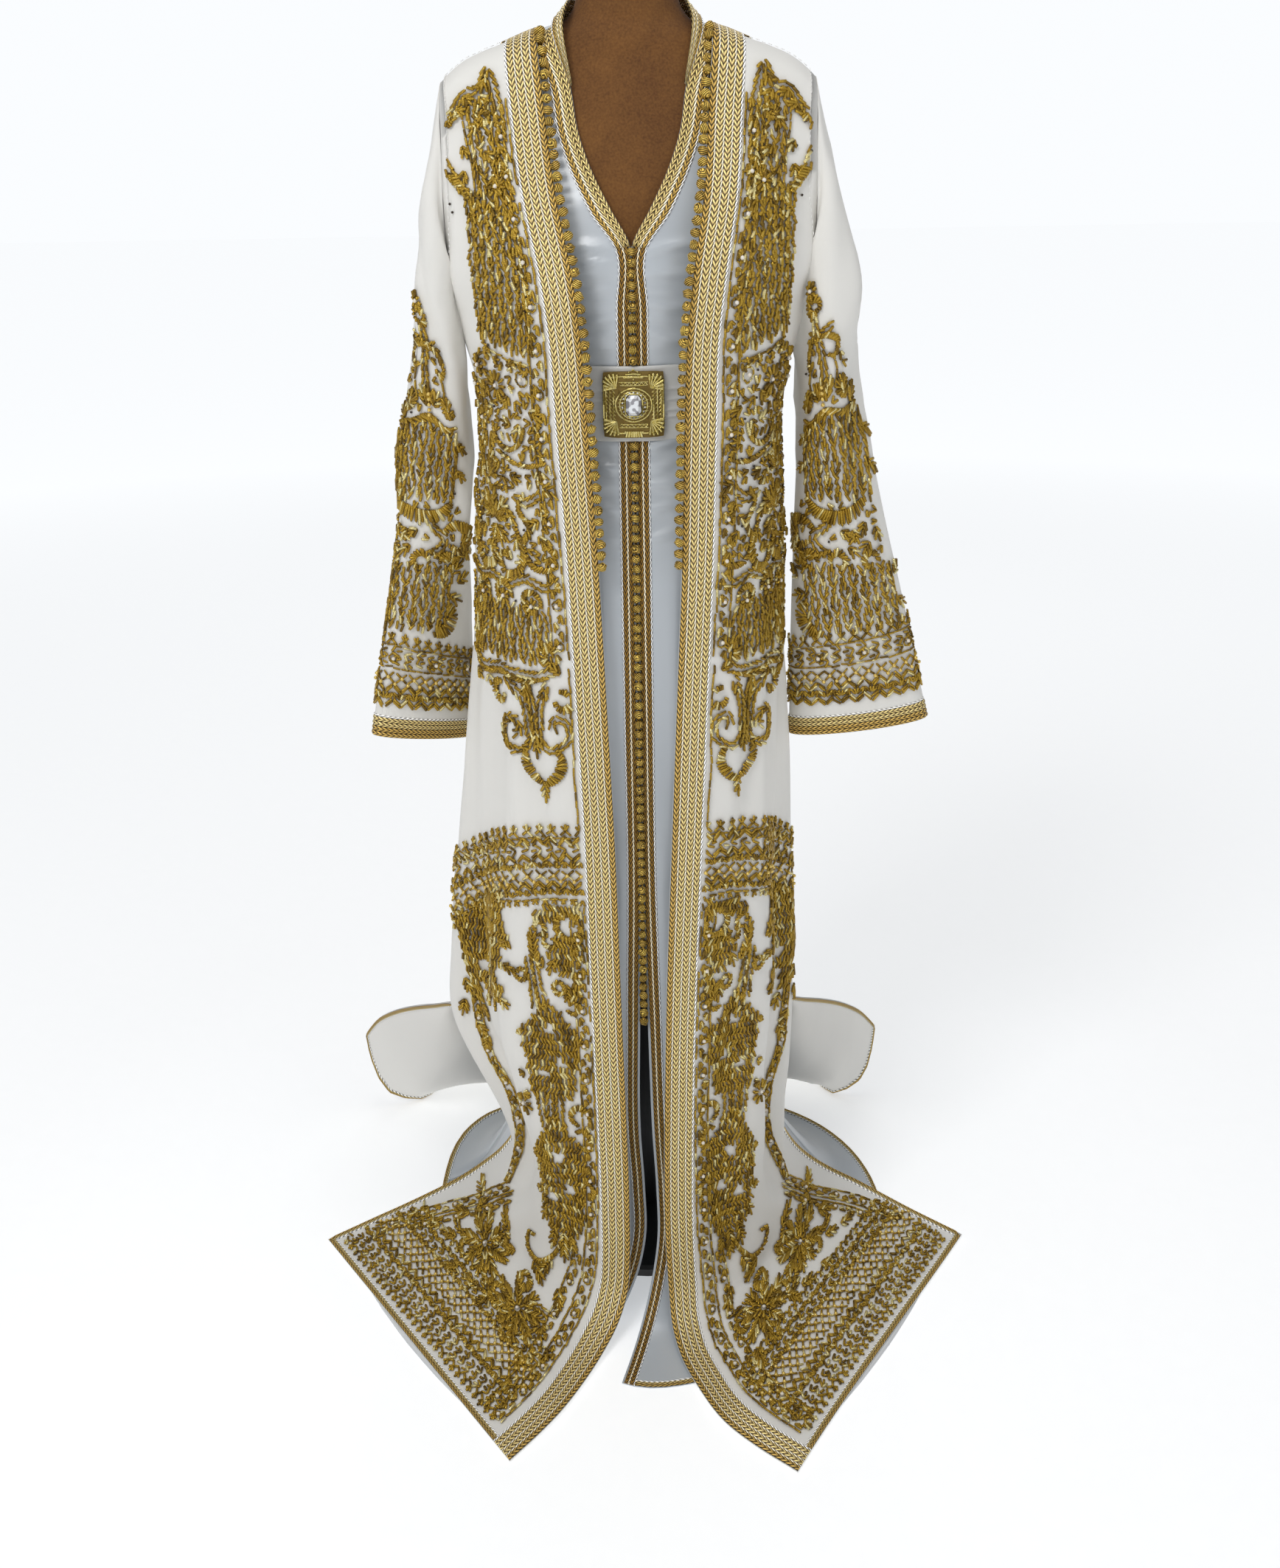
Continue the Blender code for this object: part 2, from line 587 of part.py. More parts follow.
OUTER_LIFT = INNER_LIFT + SATIN / 2 + 0.0006 + CREPE / 2
OUTER_FLOOR = 0.0034
ROBE_RIGHT = [
    Section(0.0860, -0.0740, 1.3900, 0.035, 0.004, -0.035, -0.016, ARMHOLE_X, -0.0440, 1.3780),
    Section(0.0760, -0.1160, 1.3150, 0.045, 0.004, -0.035, -0.030, ARMHOLE_X, -0.0555, 1.3050),
    Section(0.0590, -0.1420, 1.2250, 0.055, 0.002, -0.018, -0.055, ARMHOLE_X, -0.0400, 1.2350),
    Section(0.0530, -0.1450, 1.1650, 0.060, 0.000, -0.006, -0.075, ARMHOLE_X, -0.0000, 1.2000),
    Section(0.0485, -0.1460, 1.0850, 0.065, 0.000, 0.010, -0.080, 0.1700, 0.0060, 1.1000),
    Section(0.0405, -0.1530, 0.9300, 0.070, 0.000, 0.018, -0.080, 0.1810, 0.0100, 0.9450),
    Section(0.0350, -0.1650, 0.7800, 0.075, 0.000, 0.020, -0.085, 0.1930, 0.0080, 0.7900),
    Section(0.0290, -0.1810, 0.6000, 0.080, 0.000, 0.016, -0.090, 0.2170, 0.0045, 0.5900),
    Section(0.0260, -0.1960, 0.4400, 0.085, 0.000, 0.010, -0.090, 0.2330, 0.0000, 0.4300),
    Section(0.0240, -0.2050, 0.3450, 0.085, 0.000, 0.006, -0.085, 0.2345, 0.0000, 0.3325),
    Section(0.0220, -0.2140, 0.2500, 0.080, 0.000, 0.000, -0.085, 0.1950, -0.0260, 0.2550),
    Section(0.0210, -0.2260, 0.1500, 0.075, -0.005, 0.000, -0.085, 0.1680, -0.0330, 0.1620),
    Section(0.0260, -0.2480, 0.0500, 0.070, 0.000, -0.010, -0.090, 0.2200, -0.0050, 0.0800),
    Section(0.0560, -0.3050, 0.0100, 0.070, 0.030, -0.050, -0.080, 0.2920, -0.0040, 0.0330),
    Section(0.1050, -0.4000, 0.0060, 0.080, 0.100, -0.080, -0.110, 0.3680, -0.0330, 0.0120),
    Section(0.1570, -0.4680, OUTER_FLOOR, 0.090, 0.133, -0.090, -0.133, 0.4270, -0.0680, 0.0040),
]
ROBE_LEFT = [
    Section(0.0815, -0.0740, 1.3900, 0.035, 0.004, -0.035, -0.016, ARMHOLE_X, -0.0440, 1.3780),
    Section(0.0755, -0.1160, 1.3150, 0.045, 0.004, -0.035, -0.030, ARMHOLE_X, -0.0555, 1.3050),
    Section(0.0620, -0.1420, 1.2250, 0.055, 0.002, -0.018, -0.055, ARMHOLE_X, -0.0400, 1.2350),
    Section(0.0560, -0.1450, 1.1650, 0.060, 0.000, -0.006, -0.075, ARMHOLE_X, -0.0000, 1.2000),
    Section(0.0530, -0.1460, 1.0850, 0.065, 0.000, 0.010, -0.080, 0.1620, 0.0060, 1.1000),
    Section(0.0490, -0.1530, 0.9300, 0.065, 0.000, 0.004, -0.080, 0.1690, 0.0100, 0.9450),
    Section(0.0420, -0.1650, 0.7800, 0.070, 0.000, 0.003, -0.085, 0.1730, 0.0080, 0.7900),
    Section(0.0340, -0.1810, 0.6000, 0.070, 0.000, 0.003, -0.090, 0.1790, 0.0045, 0.5900),
    Section(0.0270, -0.1960, 0.4400, 0.070, 0.000, 0.003, -0.090, 0.1800, 0.0000, 0.4300),
    Section(0.0240, -0.2050, 0.3450, 0.070, 0.000, 0.003, -0.085, 0.1810, 0.0000, 0.3325),
    Section(0.0220, -0.2140, 0.2500, 0.070, 0.000, 0.003, -0.085, 0.1770, -0.0160, 0.2500),
    Section(0.0210, -0.2260, 0.1500, 0.070, -0.005, 0.003, -0.085, 0.1750, -0.0260, 0.1600),
    Section(0.0250, -0.2480, 0.0500, 0.070, 0.000, -0.010, -0.090, 0.2200, 0.0020, 0.0780),
    Section(0.0360, -0.3050, 0.0100, 0.070, 0.030, -0.050, -0.080, 0.2880, 0.0080, 0.0310),
    Section(0.0850, -0.4180, 0.0060, 0.080, 0.090, -0.080, -0.110, 0.3560, -0.0330, 0.0120),
    Section(0.1600, -0.4910, OUTER_FLOOR, 0.080, 0.140, -0.080, -0.130, 0.4180, -0.0800, 0.0040),
]
ROBE_FOLDS = {
    -1: [
        Fold(0.66, 0.085, -0.020, 9.5, 15.0),
        Fold(0.84, 0.070, 0.018, 10.0, 14.5),
        Fold(0.40, 0.110, 0.012, 9.0, 15.5),
        Fold(0.20, 0.060, -0.008, 10.0, 15.5),
    ],
    1: [
        Fold(0.68, 0.085, -0.020, 9.5, 15.0),
        Fold(0.86, 0.070, 0.016, 10.0, 14.5),
        Fold(0.44, 0.110, 0.012, 9.0, 15.5),
        Fold(0.22, 0.060, -0.008, 10.0, 15.5),
    ],
}
ROBE_NECK_X = {-1: 0.0930, 1: 0.0870}
ROBE_NECK_BACK = (0.0750, 1.4700)
ROBE_COLUMNS = 13
ROBE_BACK_HALF = 12
ROBE_SHARES = (0, 0.120, 0.345, 0.654, 1)
ROBE_CORNER = len(ROBE_SHARES) - 1
ROBE_PLACES = [*range(13), 12.5, 13, 13.5, 14, 14.5, 15, 15.5, 16, 16.5, 17, 17.5, 18]
ARMHOLE_ROW, BUTTONS_END, SIDE_SLIT = 6, 8, 12


def outer_front(side, table):
    neck_x = ROBE_NECK_X[side]
    rows = [shoulder_row(neck_x, ARMHOLE_X, -SEAM, OUTER_LIFT)]
    for over in ROBE_OVER[-1]:
        rows.append(over_row(neck_x, ARMHOLE_X, over.neck_y, over.tip_y, over.drop))
    rows += [section_row(s) for s in table]
    for row in rows[:ARMHOLE_ROW]:
        row[:, 0] = np.minimum(row[:, 0], ARMHOLE_X)
    rows[ARMHOLE_ROW][:, 1] = np.minimum(rows[ARMHOLE_ROW][:, 1], -SEAM)
    for row in rows[ARMHOLE_ROW + 1 : SIDE_SLIT + 1]:
        row[-1, 1] -= SEAM
    sections = [mirrored(sampled(row, FRONT_BRAID_WIDTH, ROBE_COLUMNS), side) for row in rows]
    forward = (0.0, -1.0, 0.0)
    cloth = Cloth(through_sections(sections, ROBE_PLACES, OUTER_FLOOR), forward)
    points = add_folds(cloth, ROBE_PLACES, ROBE_FOLDS[side], OUTER_FLOOR)
    cloth = Cloth(with_hem_row(with_edge_column(points, True)), forward)
    cloth.flatten(0, slice(None), 1)
    armhole, slit = ROBE_PLACES.index(ARMHOLE_ROW), ROBE_PLACES.index(SIDE_SLIT)
    cloth.flatten(slice(1, armhole), -1, 0)
    cloth.flatten(slice(armhole, slit + 1), -1, 1)
    return cloth


ROBE_BACK = [
    Back(0.0880, 1.4000, ARMHOLE_X, ARMHOLE_X, 0.0440, 1.3780, 0.070, 0.014),
    Back(0.1080, 1.3150, ARMHOLE_X, ARMHOLE_X, 0.0555, 1.3050, 0.075, 0.025),
    Back(0.1110, 1.2250, ARMHOLE_X, ARMHOLE_X, 0.0400, 1.2350, 0.080, 0.045),
    Back(0.1100, 1.1650, ARMHOLE_X, ARMHOLE_X, 0.0000, 1.2000, 0.080, 0.060),
    Back(0.1130, 1.0850, 0.1700, 0.1620, 0.0060, 1.1000, 0.080, 0.060),
    Back(0.1360, 0.9300, 0.1810, 0.1690, 0.0100, 0.9450, 0.085, 0.065),
    Back(0.1500, 0.7800, 0.1930, 0.1730, 0.0080, 0.7900, 0.090, 0.070),
    Back(0.1700, 0.6000, 0.2170, 0.1790, 0.0045, 0.5900, 0.095, 0.080),
    Back(0.1920, 0.4400, 0.2330, 0.1800, 0.0000, 0.4300, 0.100, 0.090),
    Back(0.2070, 0.3400, 0.2345, 0.1810, 0.0000, 0.3325, 0.100, 0.095),
]
# Below the side slits the back runs out as a train, and its front corners curl up.
Knot = namedtuple("Knot", "x y z")
Train = namedtuple("Train", "middle bed ridge curl edge")
TRAIN = [
    Train(
        middle=Knot(0, 0.228, 0.235),
        bed=Knot(0.140, 0.185, 0.225),
        ridge=Knot(0.228, 0.098, 0.232),
        curl=Knot(0.262, 0.064, 0.264),
        edge=Knot(0.262, 0.040, 0.300),
    ),
    Train(
        middle=Knot(0, 0.275, 0.120),
        bed=Knot(0.165, 0.238, 0.098),
        ridge=Knot(0.262, 0.152, 0.150),
        curl=Knot(0.297, 0.126, 0.205),
        edge=Knot(0.303, 0.100, 0.264),
    ),
    Train(
        middle=Knot(0, 0.340, 0.024),
        bed=Knot(0.190, 0.302, 0.018),
        ridge=Knot(0.297, 0.204, 0.085),
        curl=Knot(0.335, 0.185, 0.150),
        edge=Knot(0.345, 0.155, 0.228),
    ),
    Train(
        middle=Knot(0, 0.450, 0.006),
        bed=Knot(0.205, 0.392, 0.004),
        ridge=Knot(0.325, 0.245, 0.036),
        curl=Knot(0.373, 0.233, 0.098),
        edge=Knot(0.385, 0.205, 0.186),
    ),
    Train(
        middle=Knot(0, 0.600, 0.002),
        bed=Knot(0.215, 0.520, 0.002),
        ridge=Knot(0.350, 0.276, 0.003),
        curl=Knot(0.405, 0.279, 0.046),
        edge=Knot(0.414, 0.250, 0.135),
    ),
]
TRAIN_SHARE = 0.770
TRAIN_SPREAD = 0.015


def outer_back():
    under_neck = (
        ((0.0740, 0.0660, 1.4660), (0.0, 0.0790, 1.4590)),
        ((0.0780, 0.0820, 1.4500), (0.0, 0.0850, 1.4400)),
    )
    top, overs = [], ([], [])
    for side in (-1, 1):
        neck_x = ROBE_NECK_X[side]
        neck = neck_curve(neck_x, SEAM, *ROBE_NECK_BACK, OUTER_LIFT)
        tip = shoulder_row(ARMHOLE_X, neck_x, SEAM, OUTER_LIFT)
        top.append((mirrored(tip, side), mirrored(neck, side)))
        for pair, over, points in zip(overs, ROBE_OVER[1], under_neck):
            edge = over_row(ARMHOLE_X, neck_x + over.flare, over.tip_y, over.neck_y, over.drop)
            below = spline_through(np.array([edge[-1], *points]))
            pair.append((mirrored(edge, side), mirrored(below, side)))
    sections = [back_row(pair, ROBE_BACK_HALF, ROBE_SHARES) for pair in (top, *overs)]
    for i, b in enumerate(ROBE_BACK):
        y = b.side_y + (SEAM if i >= ARMHOLE_ROW - 3 else 0.0)
        middle = (0, b.middle_y, b.middle_z)
        right = half_back(middle, b.wide, (b.right_x, y, b.side_z), b.bulge)
        left = half_back(middle, b.wide, (b.left_x, y, b.side_z), b.bulge)
        sections.append(back_row([mirrored(right, -1), left], ROBE_BACK_HALF))
    for i, knots in enumerate(TRAIN):
        pair = []
        for side in (-1, 1):
            line = np.array(knots[::-1], float)
            line[:, 0] *= 1.0 if side < 0 else TRAIN_SHARE + TRAIN_SPREAD * i
            pair.append(mirrored(spline_through(line), side))
        sections.append(back_row(pair, ROBE_BACK_HALF))
    places = [p for p in ROBE_PLACES if p <= 17]
    points = through_sections(sections, places, CREPE)
    points = with_edge_column(with_edge_column(points, True), False)
    cloth = Cloth(with_hem_row(points), (0.0, 1.0, 0.0))
    for columns in (slice(0, ROBE_CORNER + 1), slice(-ROBE_CORNER - 1, None)):
        cloth.flatten(0, columns, 1)
    armhole, slit = places.index(ARMHOLE_ROW), places.index(SIDE_SLIT)
    for column in (0, -1):
        cloth.flatten(slice(1, armhole), column, 0)
        cloth.flatten(slice(armhole, slit + 1), column, 1)
    return cloth


# A sleeve's rings: its outer and inner ends, half its depth, and the turn of its front face.
Ring = namedtuple("Ring", "outer_x outer_y outer_z inner_x inner_y inner_z depth turn")
SLEEVE_RIGHT = [
    Ring(0.2115, 0.000, 1.360, 0.2050, 0.000, 1.170, 0.058, 0),
    Ring(0.2235, 0.000, 1.280, 0.2020, 0.004, 1.130, 0.056, 8),
    Ring(0.2320, -0.002, 1.190, 0.2000, 0.012, 1.080, 0.050, 16),
    Ring(0.2430, -0.004, 1.100, 0.2000, 0.026, 1.025, 0.043, 24),
    Ring(0.2590, -0.008, 1.020, 0.2030, 0.042, 0.955, 0.037, 30),
    Ring(0.2720, -0.014, 0.940, 0.2060, 0.056, 0.885, 0.032, 36),
    Ring(0.2890, -0.020, 0.850, 0.2080, 0.068, 0.800, 0.029, 40),
    Ring(0.3070, -0.024, 0.770, 0.2100, 0.077, 0.728, 0.027, 42),
    Ring(0.3185, -0.026, 0.703, 0.2110, 0.082, 0.666, 0.026, 43),
]
SLEEVE_LEFT = [
    Ring(0.2095, 0.000, 1.360, 0.2040, 0.000, 1.170, 0.058, 0),
    Ring(0.2180, 0.000, 1.280, 0.1990, 0.000, 1.130, 0.058, 0),
    Ring(0.2290, 0.000, 1.190, 0.1930, 0.002, 1.080, 0.056, 2),
    Ring(0.2480, -0.002, 1.100, 0.1880, 0.004, 1.025, 0.050, 4),
    Ring(0.2720, -0.004, 1.020, 0.1860, 0.006, 0.965, 0.043, 5),
    Ring(0.2920, -0.006, 0.940, 0.1850, 0.006, 0.900, 0.037, 6),
    Ring(0.3150, -0.010, 0.850, 0.1840, 0.004, 0.820, 0.032, 6),
    Ring(0.3340, -0.012, 0.770, 0.1840, 0.002, 0.748, 0.029, 6),
    Ring(0.3480, -0.014, 0.712, 0.1840, 0.000, 0.689, 0.027, 6),
]
SLEEVE_COLUMNS = 20
# How much closer together the sleeve's first points lie over the shoulder.
ARMHOLE_CROWDING = 0.45
SLEEVE_PLACES = [0, 0.5, 1, 2, 3, 4, 5, 6, 7, 8, 9]


def ring_points(outer, inner, depth, turn):
    """A ring of points from the sleeve's outer fold, round its front face, and back."""
    outer, inner = np.array(outer, float), np.array(inner, float)
    centre, half = (outer + inner) / 2, (outer - inner) / 2
    face = math.radians(turn)
    forward = np.array([-math.sin(face), -math.cos(face), 0.0])
    place = 2 * math.pi * np.arange(SLEEVE_COLUMNS) / SLEEVE_COLUMNS
    return centre + np.cos(place)[:, None] * half + np.sin(place)[:, None] * forward * depth


def armhole_ring(side, front, back):
    """The sleeve's first ring, through the corners of both panels' armhole edges."""
    end = ROBE_PLACES.index(ARMHOLE_ROW) + 1
    down = mirrored(front.points[:end, -1], side)
    up = mirrored(back.points[:end, 0 if side < 0 else -1], side)[::-1]
    loop = np.concatenate([down, up, down[:1]])
    share = np.arange(SLEEVE_COLUMNS) / SLEEVE_COLUMNS
    share = share - ARMHOLE_CROWDING / (2 * math.pi) * np.sin(2 * math.pi * share)
    spots = length_of(loop) * share
    for corner in range(1, len(loop) - 1):
        reach = length_of(loop[: corner + 1])
        spots[np.argmin(abs(spots - reach))] = reach
    ring = along(loop, spots)
    ring[:, 0] = ARMHOLE_X + 0.0012
    return ring


def sleeve(side, table, front, back):
    rings = [armhole_ring(side, front, back)]
    for r in table:
        outer = (r.outer_x, r.outer_y, r.outer_z)
        inner = (r.inner_x, r.inner_y, r.inner_z)
        rings.append(ring_points(outer, inner, r.depth, r.turn))
    rings = [mirrored(ring, side) for ring in rings]
    cloth = Cloth(through_sections(rings, SLEEVE_PLACES, 0.0), (0.0, 1.0, 0.0), closed=True)
    centre = cloth.points.mean(axis=1, keepdims=True)
    if ((cloth.points - centre) * cloth.normals).sum() < 0:
        cloth.normals = -cloth.normals
    cloth.flatten(0, slice(None), 0)
    return cloth


# Trims


def edge_strip(name, cloth, rows, widths, finish, base, start=0.0):
    """A braid along a cloth's first column, of a width given at each row."""
    places = []
    for row, width in zip(rows, widths):
        near = cloth.column_from_edge(row, start)
        far = 1.0 if width is None else cloth.column_from_edge(row, width)
        places.append([(row, near), (row, far)])
    return wall(name, cloth.strip(places), finish, base + GAP, base + GAP + BRAID)


def cells_wall(name, cloth, cells, finish, base):
    """A braid on whole cells of a cloth, as a wall of their own corners moved out."""
    columns = cloth.points.shape[1]
    faces = []
    for r, c in cells:
        a, b, d, e = r * columns + c, r * columns + c + 1, (r + 1) * columns + c, (r + 1) * columns + c + 1
        faces += [(a, b, e), (a, e, d)]
    used = sorted({q for face in faces for q in face})
    spot = {q: i for i, q in enumerate(used)}
    faces = [tuple(spot[q] for q in face) for face in faces]
    sides = [(face[i], face[(i + 1) % 3]) for face in faces for i in range(3)]
    rim = [side for side in sides if side[::-1] not in set(sides)]
    points = cloth.points.reshape(-1, 3)[used]
    normals = cloth.normals.reshape(-1, 3)[used]
    low, high = base + GAP, base + GAP + BRAID
    vertices = np.concatenate([points + normals * high, points + normals * low])
    under = len(used)
    closed = list(faces) + [tuple(q + under for q in reversed(face)) for face in faces]
    closed += [(b, a, a + under, b + under) for a, b in rim]
    return add_object(name, vertices, closed, finish)


def hem_braid(name, cloth, finish, base, right_slit=None, left_slit=None):
    """A narrow braid along the hem, going up a slit edge at either end."""
    last, edge = len(cloth.points) - 2, cloth.points.shape[1] - 2
    cells = [(last, c) for c in range(edge + 1)]
    for slit, column in ((right_slit, 0), (left_slit, edge)):
        if slit is not None:
            cells += [(r, column) for r in range(slit, last)]
    return cells_wall(name, cloth, cells, finish, base)


def placket_path(right, left, first, last, out):
    """The middle of the buttoned opening, in front of the inner dress."""
    path = []
    for row in range(INNER_PLACES.index(first), INNER_PLACES.index(last) + 1):
        a, b = right.at(row, 0, out), left.at(row, 0, out)
        path.append([(a[0] + b[0]) / 2, (a[1] + b[1]) / 2, (a[2] + b[2]) / 2])
    return np.array(path)


def front_edge_path(cloth, last_row, beyond, out):
    """A path just beyond a robe's front edge, from below the shoulder to a row."""
    path = []
    for row in np.arange(1.5, last_row + 0.01, 0.5):
        edge = cloth.at(row, 0, out)
        inward = cloth.at(row, 0) - cloth.at(row, 1)
        path.append(edge + inward / np.linalg.norm(inward) * beyond)
    return np.array(path)


def collar(right, left, back, finish):
    """The stand collar, rising from a point on each neck edge and closing round the back."""
    out = SATIN / 2 + GAP + BRAID / 2 + 0.0004
    heights = {3: 0.0030, 2: 0.0180, 1: 0.0260, 0: 0.0290}
    foot, top = [], []

    def add(point, lean, height):
        lean = np.array(lean, float)
        foot.append(point)
        top.append(point + lean / np.linalg.norm(lean) * height)

    for side, cloth in ((-1, right), (1, left)):
        stations = [3, 2, 1, 0] if side < 0 else [0, 1, 2, 3]
        for place in stations:
            point = cloth.at(INNER_PLACES.index(place), 0, out)
            add(point, (-0.66 * side, 0.0, 0.75), heights[place])
        if side > 0:
            continue
        for column in range(INNER_CORNER + 1, 2 * INNER_BACK_HALF - 2 - INNER_CORNER):
            point = back.at(0, column, out)
            radial = np.array([point[0], point[1], 0.0])
            radial /= np.linalg.norm(radial)
            slack = 0.10 + 0.45 * abs(radial[0])
            add(point, (-slack * radial[0], -slack * radial[1], 0.85), 0.0290)
    band = Cloth(np.array([top, foot]), (0.0, 1.0, 0.3))
    return wall("inner_collar", band, finish, -BRAID / 2, BRAID / 2)


def belt(right, left, back, finish):
    """A wide belt round the waist, over the inner dress and its placket braids."""
    rings = []
    for place in (BELT_TOP, (BELT_TOP + BELT_FOOT) / 2, BELT_FOOT):
        row = INNER_PLACES.index(place)
        ring = list(right.points[row]) + list(back.points[row][1:-1]) + list(left.points[row][::-1][:-1])
        ring[0] = (right.points[row][0] + left.points[row][0]) / 2
        rings.append(ring)
    band = Cloth(rings, (0.0, 1.0, 0.0), closed=True)
    centre = band.points.mean(axis=1, keepdims=True)
    if ((band.points - centre) * band.normals).sum() < 0:
        band.normals = -band.normals
    over_braid = SATIN / 2 + GAP + BRAID + GAP + LEATHER / 2
    plain = SATIN / 2 + GAP + LEATHER / 2
    lift = np.full((3, band.points.shape[1], 1), plain)
    lift[:, [0, 1, -1]] = over_braid
    band.points = band.points + band.normals * lift
    wall("belt", band, finish, -LEATHER / 2, LEATHER / 2)
    return band


BUCKLE_HALF_WIDTH, BUCKLE_HALF_HEIGHT = 0.0330, 0.0350
BUCKLE_GRID = 9


def buckle(band, metal, crystal):
    """The buckle: a rounded plate bent to the belt, with a raised frame and an oval dome."""
    share = np.linspace(-1, 1, BUCKLE_GRID)
    front = np.concatenate([band.points[:, -3:], band.points[:, :3]], axis=1)
    front = np.array([line[np.argsort(line[:, 0])] for line in front])
    middle_z = front[1][2][2]
    face = LEATHER / 2 + GAP + 0.0002
    points, relief = [], []
    for v in share[::-1]:
        line, raised = [], []
        for u in share:
            corner = 1 - 0.035 * (u * v) ** 4
            x = u * BUCKLE_HALF_WIDTH * corner
            z = middle_z + v * BUCKLE_HALF_HEIGHT * corner
            depths = [np.interp(x, row[:, 0], row[:, 1]) for row in front[::-1]]
            y = np.interp(z, front[::-1, 2, 2], depths) - face
            line.append((x, y, z))
            oval = (u / 0.62) ** 2 + (v / 0.66) ** 2
            dome = 0.0045 * max(0.0, 1 - max(oval, 0.30)) / 0.70
            raised.append(dome + (0.0012 if max(abs(u), abs(v)) > 0.74 else 0.0))
        points.append(line)
        relief.append(raised)
    plate = Cloth(points, (0.0, -1.0, 0.0))
    plate.normals[...] = (0.0, -1.0, 0.0)
    wall("buckle", plate, metal, 0.0, 0.0030, np.array(relief))
    middle = BUCKLE_GRID // 2
    under = plate.points[middle - 1 : middle + 2, middle, 1].min()
    top = float(under) - 0.0030 - 0.0045 - GAP
    cut = [(-1, -0.6), (-0.6, -1), (0.6, -1), (1, -0.6), (1, 0.6), (0.6, 1), (-0.6, 1), (-1, 0.6)]
    rings = []
    steps = ((0.0068, 0.0090, 0.0), (0.0080, 0.0105, 0.0018), (0.0050, 0.0075, 0.0042))
    for half_x, half_z, rise in steps:
        rings.append([(a * half_x, top - rise, middle_z + b * half_z) for a, b in cut])
    rings_body("buckle_stone", rings, crystal, 10.0)


def lining_strip(name, cloth, finish):
    """The white facing that shows past a front panel's hem, lying under it on the floor."""
    last = len(cloth.points) - 1
    columns = [*range(0, cloth.points.shape[1] - 1, 2), cloth.points.shape[1] - 1]
    edge = cloth.points[last]
    along_hem = edge[-1] - edge[0]
    beyond = np.array([along_hem[1], -along_hem[0], 0.0])
    beyond /= np.linalg.norm(beyond)
    if beyond @ (cloth.points[last, 6] - cloth.points[last - 2, 6]) < 0:
        beyond = -beyond
    rows = []
    for reach in (-0.030, 0.0, None):
        row = []
        for c in columns:
            share = c / (len(edge) - 1)
            out = 0.008 + 0.013 * math.sin(math.pi * min(share * 1.15, 1.0)) if reach is None else reach
            point = edge[c] + beyond * out
            row.append((point[0], point[1], SATIN))
        rows.append(row)
    sheet = Cloth(rows, (0.0, 0.0, 1.0))
    sheet.normals[...] = (0.0, 0.0, 1.0)
    return wall(name, sheet, finish, -0.0008, 0.0006)


def neck_band(cloth, finish):
    """The robe's braid round the back of the neck, as wide as the front braids."""
    corner, last = ROBE_CORNER + 1, cloth.points.shape[1] - 1
    cells = [(row, column) for row in (0, 1) for column in range(corner, last - corner)]
    cells += [(0, corner - 1), (0, last - corner)]
    return cells_wall("outer_neck_band", cloth, cells, finish, CREPE / 2)


